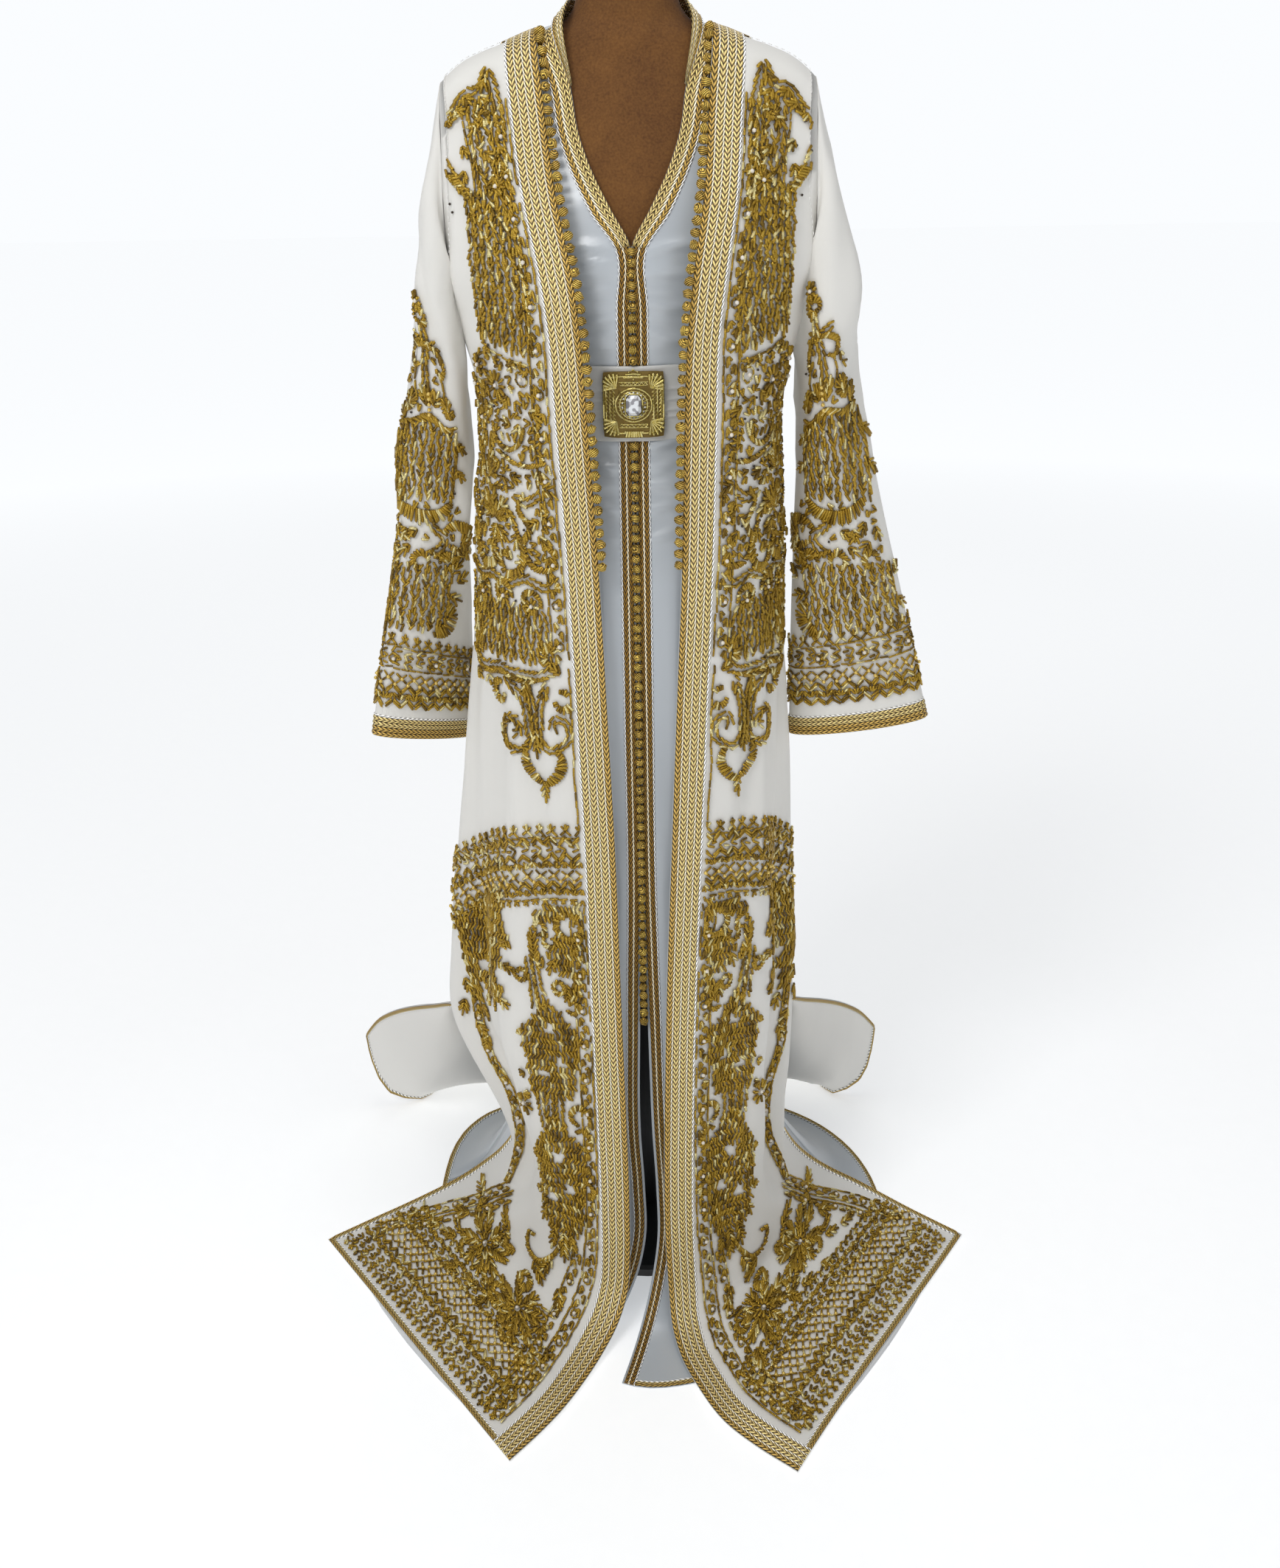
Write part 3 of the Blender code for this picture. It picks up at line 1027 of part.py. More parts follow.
def build():
    clear_scene()
    satin = material("white_satin", (0.80, 0.83, 0.87), 0.35)
    crepe = material("ivory_crepe", (0.86, 0.85, 0.81), 0.60)
    gold = material("gold_braid", (0.72, 0.52, 0.20), 0.45, 0.35)
    leather = material("belt_leather", (0.86, 0.86, 0.84), 0.45)
    brass = material("buckle_brass", (0.80, 0.66, 0.24), 0.28, 1.0)
    crystal = material("crystal", (0.92, 0.93, 0.95), 0.05)
    suede = material("form_suede", (0.22, 0.10, 0.045), 0.85)
    paint = material("stand_paint", (0.05, 0.045, 0.04), 0.40)

    rings_body("form_torso", torso_rings(), suede)
    pole = disc_rings([(POLE_RADIUS, FOOT_HEIGHT + GAP), (POLE_RADIUS, POLE_TOP_Z)], 16)
    rings_body("form_pole", pole, paint)
    foot = [(FOOT_RADIUS, 0.0), (FOOT_RADIUS, FOOT_HEIGHT - 0.004), (FOOT_RADIUS - 0.004, FOOT_HEIGHT)]
    rings_body("form_foot", disc_rings(foot, 32), paint, 30.0)

    right = inner_front(-1, SKIRT_RIGHT)
    left = inner_front(1, SKIRT_LEFT)
    back = inner_back()
    wall("inner_front_right", right, satin, -SATIN / 2, SATIN / 2)
    wall("inner_front_left", left, satin, -SATIN / 2, SATIN / 2)
    wall("inner_back", back, satin, -SATIN / 2, SATIN / 2)
    collar(right, left, back, gold)

    on_satin, on_crepe = SATIN / 2, CREPE / 2
    first, v_row = INNER_PLACES.index(2), INNER_PLACES.index(V_BOTTOM)
    hem_row = len(INNER_PLACES) - 1
    for side_name, cloth in (("right", right), ("left", left)):
        neck_rows = [first + 0.1, first + 0.5] + list(range(first + 1, v_row)) + [v_row - 0.06]
        widths = [0.0105, 0.0150] + [None] * (v_row - first)
        edge_strip("inner_neck_braid_" + side_name, cloth, neck_rows, widths, gold, on_satin, 0.0026)
        rows = list(range(v_row, hem_row)) + [cloth.row_from_hem(0, HEM_BRAID_WIDTH + 0.0006)]
        widths = [None] * len(rows)
        name = "inner_placket_" + side_name
        edge_strip(name, cloth, rows, widths, gold, on_satin, PLACKET_INNER_EDGE)

    out = on_satin + GAP + BUTTON_RADIUS * 0.72
    for name, first_row, last_row in (("upper", V_BOTTOM, BELT_TOP), ("lower", BELT_FOOT, FRONT_SLIT)):
        path = placket_path(right, left, first_row, last_row, out)
        path = along(path, np.linspace(0.004, length_of(path) - 0.004, 60))
        beads("inner_buttons_" + name, path, PLACKET_BUTTON_PITCH, BUTTON_RADIUS, gold)

    hem_braid("inner_hem_right", right, gold, on_satin)
    hem_braid("inner_hem_left", left, gold, on_satin)
    hem_braid("inner_hem_back", back, gold, on_satin)

    band = belt(right, left, back, leather)
    buckle(band, brass, crystal)

    robe_right = outer_front(-1, ROBE_RIGHT)
    robe_left = outer_front(1, ROBE_LEFT)
    robe_back = outer_back()
    sleeve_right = sleeve(-1, SLEEVE_RIGHT, robe_right, robe_back)
    sleeve_left = sleeve(1, SLEEVE_LEFT, robe_left, robe_back)
    wall("outer_back", robe_back, crepe, -CREPE / 2, CREPE / 2)
    neck_band(robe_back, gold)
    slit = ROBE_PLACES.index(SIDE_SLIT)
    hem_braid("outer_hem_back", robe_back, gold, on_crepe, right_slit=slit, left_slit=slit)
    pieces = (("right", robe_right, sleeve_right), ("left", robe_left, sleeve_left))
    for side_name, cloth, arm in pieces:
        wall("outer_front_" + side_name, cloth, crepe, -CREPE / 2, CREPE / 2)
        wall("outer_sleeve_" + side_name, arm, crepe, -CREPE / 2, CREPE / 2)
        last = len(ROBE_PLACES) - 1
        rows = list(range(last)) + [cloth.row_from_hem(0, HEM_BRAID_WIDTH + 0.0006)]
        widths = [None] * len(rows)
        edge_strip("outer_braid_" + side_name, cloth, rows, widths, gold, on_crepe)
        hem_braid("outer_hem_" + side_name, cloth, gold, on_crepe, left_slit=slit)
        end = ROBE_PLACES.index(BUTTONS_END)
        path = front_edge_path(cloth, end, BUTTON_RADIUS * 0.71 + 0.0010, 0.0024)
        path = along(path, np.linspace(0.0, length_of(path), 80))
        beads("outer_buttons_" + side_name, path, BUTTON_PITCH, BUTTON_RADIUS, gold)
        end = len(SLEEVE_PLACES) - 1
        cuff = Cloth.__new__(Cloth)
        cuff.closed = True
        start = end - CUFF_BRAID_WIDTH / 0.066
        lines = [[arm.at(r, c) for c in range(SLEEVE_COLUMNS)] for r in (start, end)]
        cuff.points = np.array(lines)
        tips = [[arm.at(r, c, 1.0) for c in range(SLEEVE_COLUMNS)] for r in (start, end)]
        cuff.normals = np.array(tips) - cuff.points
        wall("outer_cuff_" + side_name, cuff, gold, on_crepe + GAP, on_crepe + GAP + BRAID)
        lining_strip("outer_lining_" + side_name, cloth, satin)


build()
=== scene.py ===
import math
from collections import namedtuple

import bmesh
import bpy
import numpy as np
from mathutils import Matrix, Vector
from mathutils.bvhtree import BVHTree


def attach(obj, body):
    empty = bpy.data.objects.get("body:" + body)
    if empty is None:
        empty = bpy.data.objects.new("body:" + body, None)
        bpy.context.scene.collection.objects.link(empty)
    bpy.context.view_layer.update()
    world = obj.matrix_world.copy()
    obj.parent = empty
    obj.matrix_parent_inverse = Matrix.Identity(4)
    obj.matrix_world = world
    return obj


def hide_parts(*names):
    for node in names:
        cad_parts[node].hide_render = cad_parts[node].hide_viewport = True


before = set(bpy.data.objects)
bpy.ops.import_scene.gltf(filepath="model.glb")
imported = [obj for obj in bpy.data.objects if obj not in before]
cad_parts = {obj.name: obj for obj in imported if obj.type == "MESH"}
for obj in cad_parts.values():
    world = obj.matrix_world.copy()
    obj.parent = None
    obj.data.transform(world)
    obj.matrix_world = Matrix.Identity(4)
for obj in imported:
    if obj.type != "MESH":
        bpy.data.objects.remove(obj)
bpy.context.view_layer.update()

# The room: a plain pale floor that fades into bright air, under soft light from above, in front and
# both sides. The camera stands where the photograph was taken, a little below the form's neck, and
# looks down.

CAMERA_PLACE = (0.0, -1.873, 1.35)
CAMERA_TILT, CAMERA_ROLL = 68.8, -0.96
CAMERA_LENS, CAMERA_SENSOR = 37.25, 36.0
FLOOR_SIZE = 60.0
ROOM_LIGHT, ROOM_SEEN = 0.30, 1.0
AIR = (0.96, 0.98, 1.0, 1.0)
HAZE_NEAR, HAZE_FAR = 1.0, 6.0
HAZE_LOW, HAZE_HIGH = 0.42, 0.725

Light = namedtuple("Light", "name place aim size power")
LIGHTS = [
    Light("key_light", (-1.6, -2.6, 3.4), (0.0, 0.0, 0.7), 1.3, 50),
    Light("fill_light", (2.6, -2.2, 2.2), (0.0, 0.0, 0.7), 2.4, 9),
    Light("back_light", (0.4, 2.8, 3.0), (0.0, 0.0, 0.8), 2.4, 12),
    Light("top_light", (0.0, -0.6, 4.0), (0.0, 0.0, 0.0), 1.6, 24),
]


def put(tree, kind, inputs=None, **settings):
    """Adds a node, sets its settings, and feeds its inputs with values or with other nodes' outputs."""
    node = tree.nodes.new("ShaderNode" + kind)
    for name, value in settings.items():
        setattr(node, name, value)
    for name, value in (inputs or {}).items():
        if isinstance(value, bpy.types.NodeSocket):
            tree.links.new(value, node.inputs[name])
        else:
            node.inputs[name].default_value = value
    return node


def material(name, colour, roughness, more=None):
    """A finish: its node tree and its Principled shader, with the values that are the same all over."""
    made = bpy.data.materials.new(name)
    made.use_nodes = True
    shader = made.node_tree.nodes["Principled BSDF"]
    shader.inputs["Base Color"].default_value = (*colour, 1.0)
    shader.inputs["Roughness"].default_value = roughness
    for socket, value in (more or {}).items():
        shader.inputs[socket].default_value = value
    return made, made.node_tree, shader


def ramp(tree, value, low, high, start=0.0, end=1.0):
    """A colour that goes from one to another as a value rises."""
    made = put(tree, "ValToRGB", {"Fac": value})
    for element, place, colour in zip(made.color_ramp.elements, (start, end), (low, high)):
        element.position = place
        element.color = (*colour, 1.0)
    return made.outputs["Color"]


camera = bpy.data.objects.new("camera", bpy.data.cameras.new("camera"))
bpy.context.scene.collection.objects.link(camera)
camera.location = CAMERA_PLACE
turn = Matrix.Rotation(math.radians(CAMERA_TILT), 4, "X")
camera.rotation_euler = (turn @ Matrix.Rotation(math.radians(CAMERA_ROLL), 4, "Z")).to_euler()
camera.data.lens = CAMERA_LENS
camera.data.sensor_width = CAMERA_SENSOR
bpy.context.scene.camera = camera

for light in LIGHTS:
    lamp = bpy.data.objects.new(light.name, bpy.data.lights.new(light.name, "AREA"))
    bpy.context.scene.collection.objects.link(lamp)
    lamp.location = light.place
    aim = Vector(light.aim) - Vector(light.place)
    lamp.rotation_euler = aim.to_track_quat("-Z", "Y").to_euler()
    lamp.data.size = light.size
    lamp.data.energy = light.power

room = bpy.data.worlds.new("room")
room.use_nodes = True
air = room.node_tree.nodes["Background"]
air.inputs["Color"].default_value = AIR
seen = put(room.node_tree, "LightPath").outputs["Is Camera Ray"]
glow = put(room.node_tree, "MapRange", {"Value": seen, "To Min": ROOM_LIGHT, "To Max": ROOM_SEEN})
room.node_tree.links.new(glow.outputs["Result"], air.inputs["Strength"])
bpy.context.scene.world = room
bpy.context.scene.view_settings.view_transform = "Standard"

bpy.ops.object.select_all(action="DESELECT")
bpy.ops.mesh.primitive_plane_add(size=FLOOR_SIZE, location=(0.0, 0.0, 0.0))
floor = bpy.context.object
floor.name = "floor"
paint, tree, shader = material("floor_paint", (0.86, 0.86, 0.86), 0.75)
spot = put(tree, "TexCoord").outputs["Object"]
speckle = put(tree, "TexNoise", {"Vector": spot, "Scale": 40.0, "Detail": 3.0})
tone = ramp(tree, speckle.outputs["Fac"], (0.84, 0.84, 0.84), (0.88, 0.88, 0.88))
tree.links.new(tone, shader.inputs["Base Color"])
away = put(tree, "VectorMath", {0: spot}, operation="LENGTH")
haze = put(tree, "MapRange", {"Value": away.outputs["Value"], "From Min": HAZE_NEAR, "From Max": HAZE_FAR,
                              "To Min": HAZE_LOW, "To Max": HAZE_HIGH})
shader.inputs["Emission Color"].default_value = AIR
tree.links.new(haze.outputs["Result"], shader.inputs["Emission Strength"])
floor.data.materials.append(paint)

# The dress form: a torso with a neck, covered in dark brown suede-like flock, on a black painted
# pole and round foot. It carries the cloth and shows only in the neck's opening.


def merged_copy(node, name):
    """A copy of a CAD node's mesh with its loose triangles joined, as an object of its own."""
    mesh = bmesh.new()
    mesh.from_mesh(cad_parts[node].data)
    bmesh.ops.remove_doubles(mesh, verts=mesh.verts, dist=1e-6)
    made = bpy.data.objects.new(name, bpy.data.meshes.new(name))
    mesh.to_mesh(made.data)
    mesh.free()
    bpy.context.scene.collection.objects.link(made)
    return made


def only(made):
    """Selects one object and makes it the active one."""
    bpy.ops.object.select_all(action="DESELECT")
    made.select_set(True)
    bpy.context.view_layer.objects.active = made


def applied(made, kind, **settings):
    """Adds a modifier, sets it and applies it."""
    only(made)
    modifier = made.modifiers.new(kind.lower(), kind)
    for name, value in settings.items():
        setattr(modifier, name, value)
    bpy.ops.object.modifier_apply(modifier=modifier.name)


def piece(made, finish, slot, *nodes):
    """Gives a finished piece its material and its body, and hides the CAD nodes that it stands for. Its slot
    is not used.
    """
    made.data.materials.clear()
    made.data.materials.append(finish)
    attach(made, "root")
    if nodes:
        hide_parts(*nodes)
    return made


SUEDE, SUEDE_DARK, SUEDE_LIGHT = (0.12, 0.046, 0.008), (0.095, 0.034, 0.005), (0.20, 0.083, 0.016)

torso = merged_copy("form_torso", "flocked_torso")
only(torso)
bpy.ops.object.mode_set(mode="EDIT")
bpy.ops.mesh.select_all(action="SELECT")
bpy.ops.mesh.tris_convert_to_quads(face_threshold=1.2, shape_threshold=1.2)
bpy.ops.object.mode_set(mode="OBJECT")
applied(torso, "SUBSURF", levels=2, render_levels=2)
bpy.ops.object.shade_smooth_by_angle(angle=math.radians(50))

suede, tree, shader = material("form_suede", SUEDE, 0.9, {"Sheen Weight": 0.08, "Sheen Roughness": 0.4})
spot = put(tree, "TexCoord").outputs["Object"]
patches = put(tree, "TexNoise", {"Vector": spot, "Scale": 14.0, "Detail": 4.0, "Roughness": 0.6})
nap = put(tree, "TexNoise", {"Vector": spot, "Scale": 420.0, "Detail": 3.0})
both = put(tree, "Math", {0: patches.outputs["Fac"], 1: nap.outputs["Fac"]}, operation="ADD")
half = put(tree, "Math", {0: both.outputs[0], 1: 0.5}, operation="MULTIPLY")
brown = ramp(tree, half.outputs[0], SUEDE_DARK, SUEDE_LIGHT, 0.35, 0.68)
tree.links.new(brown, shader.inputs["Base Color"])
bump = put(tree, "Bump", {"Height": nap.outputs["Fac"], "Strength": 0.35, "Distance": 0.0006})
tree.links.new(bump.outputs["Normal"], shader.inputs["Normal"])
piece(torso, suede, "form_suede", "form_torso")

stand_paint, tree, shader = material("stand_paint", (0.02, 0.018, 0.016), 0.42)
spot = put(tree, "TexCoord").outputs["Object"]
scuffs = put(tree, "TexNoise", {"Vector": spot, "Scale": 90.0, "Detail": 4.0})
wear_and_groove_shade = put(tree, "MapRange", {"Value": scuffs.outputs["Fac"], "To Min": 0.32, "To Max": 0.58})
tree.links.new(wear_and_groove_shade.outputs["Result"], shader.inputs["Roughness"])
for name in ("form_pole", "form_foot"):
    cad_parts[name].data.materials.clear()
    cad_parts[name].data.materials.append(stand_paint)

# The inner dress: white satin with a blue cast, cut as a back and two fronts that meet under the
# buttoned placket. Its creases are short and level where the placket's stitches pull at it.

SIDES = ((-1, "right"), (1, "left"))
RIM = 0.0022
SATIN = 0.0012


def outer_points(node, outward, rim=RIM):
    """The merged points of a cloth wall's outer side, and which of them are neighbours.

    The wall's rim is what has an edge as short as the cloth is thick. Without it the two sides come apart.
    """
    mesh = bmesh.new()
    mesh.from_mesh(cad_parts[node].data)
    bmesh.ops.remove_doubles(mesh, verts=mesh.verts, dist=1e-6)
    mesh.verts.index_update()
    mesh.normal_update()
    left = {face for face in mesh.faces if min(edge.calc_length() for edge in face.edges) > rim}
    best, faces = -1e9, []
    while left:
        found, queue = [], [left.pop()]
        while queue:
            face = queue.pop()
            found.append(face)
            near = {other for edge in face.edges for other in edge.link_faces if other in left}
            left -= near
            queue += near
        score = sum(face.calc_area() * (face.normal.dot(outward) if outward else 1.0) for face in found)
        if score > best:
            best, faces = score, found
    inside = {vert.index for face in faces for vert in face.verts}
    points = {vert.index: np.array(vert.co) for vert in mesh.verts if vert.index in inside}
    near = {vert.index: [] for vert in mesh.verts if vert.index in inside}
    edge_near = {index: [] for index in near}
    for edge in mesh.edges:
        a, b = (vert.index for vert in edge.verts)
        if a in inside and b in inside:
            near[a].append(b)
            near[b].append(a)
            if any(vert.index not in inside for face in edge.link_faces for vert in face.verts):
                edge_near[a].append(b)
                edge_near[b].append(a)
    mesh.free()
    return points, near, edge_near


def steps_from(start, near):
    """How many edges away from a line of points each point is."""
    reached, line = {point: 0 for point in start}, list(start)
    while line:
        following = []
        for point in line:
            for other in near[point]:
                if other not in reached:
                    reached[other] = reached[point] + 1
                    following.append(other)
        line = following
    return reached


def cloth_grid(node, outward, first, last):
    """A cloth wall's outer side as rows of points. Its first row runs from near one place to another."""
    points, near, edge_near = outer_points(node, outward)
    corners = [index for index in near if edge_near[index] and len(near[index]) <= 3]

    def corner_at(place):
        return min(corners, key=lambda index: np.linalg.norm(points[index] - np.array(place)))

    start, end = corner_at(first), corner_at(last)
    sides = []
    for following in edge_near[start]:
        side = [start, following]
        while side[-1] not in corners:
            side.append(next(index for index in edge_near[side[-1]] if index != side[-2]))
        sides.append(side)
    sides.sort(key=lambda side: side[-1] != end)
    row_of, column_of = steps_from(sides[0], near), steps_from(sides[1], near)
    grid = np.full((len(sides[1]), len(sides[0]), 3), np.nan)
    for index, place in points.items():
        grid[row_of[index], column_of[index]] = place
    assert not np.isnan(grid).any(), node
    return grid


def smooth_places(points, places):
    """Points at these places down smooth curves; places 0, 1, 2 are the given points themselves."""
    span = np.linalg.norm(np.diff(points, axis=0), axis=2)[..., None] + 1e-9
    slope = np.diff(points, axis=0) / span
    heading = np.concatenate([slope[:1], slope[:1], slope[1:]])[: len(points)].copy()
    heading[0], heading[-1] = slope[0], slope[-1]
    heading[1:-1] = (slope[:-1] * span[1:] + slope[1:] * span[:-1]) / (span[1:] + span[:-1])
    i = np.clip(np.floor(places).astype(int), 0, len(points) - 2)
    f = (places - i)[:, None, None]
    leave = heading[i] * span[i] * f * (1 - f) ** 2
    arrive = heading[i + 1] * span[i] * f * f * (1 - f)
    return points[i] * (1 + 2 * f) * (1 - f) ** 2 + leave + points[i + 1] * f * f * (3 - 2 * f) - arrive


def cuts(points, step):
    """Places that cut each stretch between rows into equal parts, each about as long as its step."""
    lengths = np.linalg.norm(np.diff(points, axis=0), axis=2).mean(axis=1)
    parts = [max(1, round(part)) for part in (lengths / step).tolist()]
    return np.concatenate([i + np.arange(n) / n for i, n in enumerate(parts)] + [[len(parts)]])


def refined(grid, step, step_across=None):
    """The grid with smooth rows and columns put in, and the places of its old rows and columns."""
    down, across = cuts(grid, step), cuts(grid.transpose(1, 0, 2), step_across or step)
    fine = smooth_places(grid, down)
    fine = smooth_places(fine.transpose(1, 0, 2), across).transpose(1, 0, 2)
    return fine, down, across


def outward_normals(sheet, outward, closed=False):
    """The unit normals of a sheet of points, turned to one side."""
    if closed:
        wide = np.concatenate([sheet[:, -1:], sheet, sheet[:, :1]], axis=1)
        across = (wide[:, 2:] - wide[:, :-2]) / 2
    else:
        across = np.gradient(sheet, axis=1)
    normals = np.cross(across, np.gradient(sheet, axis=0))
    normals /= np.linalg.norm(normals, axis=2, keepdims=True) + 1e-12
    away = sheet - sheet.mean(axis=1, keepdims=True) if closed else np.asarray(outward, float)
    return normals if (normals * away).sum() > 0 else -normals


def lengths_along(sheet, axis):
    """How far each point lies along its own row or column, in metres."""
    steps = np.linalg.norm(np.diff(sheet, axis=axis), axis=2)
    start = np.zeros_like(steps[:, :1] if axis else steps[:1])
    return np.concatenate([start, np.cumsum(steps, axis=axis)], axis=axis)


def solid(name, points, faces, spread, tint=None, smooth=None):
    """An object of points and faces, with each point's UV place and, where given, its colour."""
    mesh = bpy.data.meshes.new(name)
    mesh.from_pydata(points.tolist(), [], faces)
    corners = np.empty(len(mesh.loops), np.int32)
    mesh.loops.foreach_get("vertex_index", corners)
    layer = mesh.uv_layers.new(name="cut")
    layer.data.foreach_set("uv", spread[corners].astype(np.float32).reshape(-1))
    if tint is not None:
        paint_layer = mesh.color_attributes.new("thread", "FLOAT_COLOR", "POINT")
        paint_layer.data.foreach_set("color", tint.astype(np.float32).reshape(-1))
    mesh.polygons.foreach_set("use_smooth", np.ones(len(faces), bool) if smooth is None else smooth)
    made = bpy.data.objects.new(name, mesh)
    bpy.context.scene.collection.objects.link(made)
    return made


def shell(name, top, bottom, closed=False, u=None, v=None, tint=None):
    """A closed wall between two sheets of points, with its measures in metres as its UV map."""
    if closed:
        top, bottom = (np.concatenate([side, side[:, :1]], axis=1) for side in (top, bottom))
    rows, columns = top.shape[:2]
    u = lengths_along(top, 1) if u is None else u
    v = lengths_along(top, 0) if v is None else v
    number = np.arange(rows * columns).reshape(rows, columns)
    a, b, c, d = number[:-1, :-1], number[:-1, 1:], number[1:, 1:], number[1:, :-1]
    quads = np.stack([a, b, c, d], axis=-1).reshape(-1, 4)
    flat = top.reshape(-1, 3)
    side = np.cross(flat[quads[:, 1]] - flat[quads[:, 0]], flat[quads[:, 3]] - flat[quads[:, 0]])
    turned = (side * (top - bottom)[:-1, :-1].reshape(-1, 3)).sum() < 0
    quads = quads[:, ::-1] if turned else quads
    edges = [(number[0, :-1], number[0, 1:]), (number[-1, 1:], number[-1, :-1])]
    if not closed:
        edges += [(number[1:, 0], number[:-1, 0]), (number[:-1, -1], number[1:, -1])]
    under = rows * columns
    rims = []
    for p, q in edges:
        p, q = (q, p) if turned else (p, q)
        rims.append(np.stack([q, p, p + under, q + under], axis=-1))
    faces = np.concatenate([quads, quads[:, ::-1] + under] + rims)
    points = np.concatenate([flat, bottom.reshape(-1, 3)])
    spread = np.stack([u.reshape(-1), v.reshape(-1)], axis=-1)
    spread = np.concatenate([spread, spread])
    colours = None if tint is None else np.concatenate([tint.reshape(-1, 4), tint.reshape(-1, 4)])
    made = solid(name, points, faces.tolist(), spread, colours, np.arange(len(faces)) < 2 * len(quads))
    if closed:
        seam = bmesh.new()
        seam.from_mesh(made.data)
        bmesh.ops.remove_doubles(seam, verts=seam.verts, dist=1e-7)
        seam.to_mesh(made.data)
        seam.free()
    made.data.update()
    return made


def sampled(sheet, rows, columns):
    """The sheet's points at these rows and columns, with straight lines between its own."""
    r = np.clip(np.floor(rows).astype(int), 0, sheet.shape[0] - 2)
    c = np.clip(np.floor(columns).astype(int), 0, sheet.shape[1] - 2)
    f, g = (rows - r)[..., None], (columns - c)[..., None]
    above = sheet[r, c] * (1 - g) + sheet[r, c + 1] * g
    below = sheet[r + 1, c] * (1 - g) + sheet[r + 1, c + 1] * g
    return above * (1 - f) + below * f


def on_cloth(cloth, places):
    """The points and normals of a cloth at places given as its CAD wall's rows and columns."""
    sheet, normals, down, across = cloth
    rows = np.interp(places[..., 0], down, np.arange(len(down)))
    columns = np.interp(places[..., 1], across, np.arange(len(across)))
    return sampled(sheet, rows, columns), sampled(normals, rows, columns)


Crease = namedtuple("Crease", "start end width depth bow")


def creased(cloth, creases, keep_edge=0.0, keep_top=0.0):
    """A cloth's points, raised into soft ridges (or troughs, where the depth is below 0) along bowed lines.

    A crease runs from one place to another, each given as a column and a row of the cloth's CAD wall. It
    fades out within keep_edge of the cloth's sides and within keep_top of its first row.
    """
    sheet, normals, _, _ = cloth
    moved = np.zeros(sheet.shape[:2])
    for crease in creases:
        (start_column, start_row), (end_column, end_row) = crease.start, crease.end
        ends = np.array([(start_row, start_column), (end_row, end_column)])
        (a, b), _ = on_cloth(cloth, ends)
        _, mid = on_cloth(cloth, ends.mean(axis=0))
        reach = np.linalg.norm(b - a)
        line = (b - a) / reach
        along = (sheet - a) @ line
        share = np.clip(along / reach, 0.0, 1.0)
        off = (sheet - a) @ np.cross(mid, line) - crease.bow * np.sin(np.pi * share)
        past, height = along - share * reach, (sheet - (a + b) / 2) @ mid
        far = (off / crease.width) ** 2 + (past / crease.width) ** 2
        far += (height / (6 * crease.width + 0.03)) ** 4
        moved += crease.depth * np.exp(-far) * np.sin(np.pi * (0.08 + 0.84 * share)) ** 0.8
    if keep_edge:
        over = lengths_along(sheet, 1)
        moved *= np.clip(np.minimum(over, over[:, -1:] - over) / keep_edge, 0.0, 1.0)
    if keep_top:
        moved *= np.clip(lengths_along(sheet, 0) / keep_top, 0.0, 1.0) ** 1.5
    return sheet + normals * moved[..., None]


def surface_group(name, *numbers):
    """A group of nodes that makes a height and a shade from a place on the cloth and some numbers."""
    group = bpy.data.node_groups.new(name, "ShaderNodeTree")
    group.interface.new_socket("Vector", in_out="INPUT", socket_type="NodeSocketVector")
    for number in numbers:
        group.interface.new_socket(number, in_out="INPUT", socket_type="NodeSocketFloat")
    for result in ("Height", "Shade"):
        group.interface.new_socket(result, in_out="OUTPUT", socket_type="NodeSocketFloat")
    return group, group.nodes.new("NodeGroupInput"), group.nodes.new("NodeGroupOutput")


def cloth_surface():
    """Cloth seen close: a fine grain for its bump, and a slow drift of shade along the bolt."""
    group, inside, outside = surface_group("cloth_surface", "Threads", "Drift")
    grain = put(group, "TexNoise", {"Vector": inside.outputs["Vector"], "Scale": inside.outputs["Threads"],
                                    "Detail": 2.0, "Roughness": 0.7})
    slow = put(group, "TexNoise", {"Vector": inside.outputs["Vector"], "Scale": 5.0, "Detail": 3.0})
    spread = put(group, "MapRange", {"Value": slow.outputs["Fac"], "From Min": 0.3, "From Max": 0.7,
                                     "To Min": -1.0, "To Max": 1.0})
    drift = put(group, "Math", {0: spread.outputs["Result"], 1: inside.outputs["Drift"]},
                operation="MULTIPLY")
    fine = put(group, "MapRange", {"Value": grain.outputs["Fac"], "To Min": -0.03, "To Max": 0.03})
    total = put(group, "Math", {0: drift.outputs[0], 1: fine.outputs["Result"]}, operation="ADD")
    shade = put(group, "Math", {0: total.outputs[0], 1: 1.0}, operation="ADD")
    group.links.new(grain.outputs["Fac"], outside.inputs["Height"])
    group.links.new(shade.outputs[0], outside.inputs["Shade"])
    return group


CLOTH_SURFACE = cloth_surface()


def cloth_material(name, colour, roughness, threads, drift, relief, more=None):
    """A woven cloth: its colour with the drift of shade, and its grain as a fine bump."""
    made, tree, shader = material(name, colour, roughness, more)
    cut = put(tree, "TexCoord").outputs["UV"]
    surface = put(tree, "Group", node_tree=CLOTH_SURFACE)
    tree.links.new(cut, surface.inputs["Vector"])
    surface.inputs["Threads"].default_value = threads
    surface.inputs["Drift"].default_value = drift
    shaded = put(tree, "VectorMath", {0: colour, 1: surface.outputs["Shade"]}, operation="MULTIPLY")
    tree.links.new(shaded.outputs["Vector"], shader.inputs["Base Color"])
    bump = put(tree, "Bump", {"Height": surface.outputs["Height"], "Strength": relief, "Distance": 0.0004})
    tree.links.new(bump.outputs["Normal"], shader.inputs["Normal"])
    return made


# The inner dress's satin has its base colour darkened with painted shade, for the shade that falls inside the
# robe's opening.
SHADED_SATIN_COLOUR, SATIN_THREADS = (0.50, 0.535, 0.57), 1400.0
shaded_satin = cloth_material("white_satin", SHADED_SATIN_COLOUR, 0.30, SATIN_THREADS, 0.03, 0.10,
                       {"Specular IOR Level": 0.9})

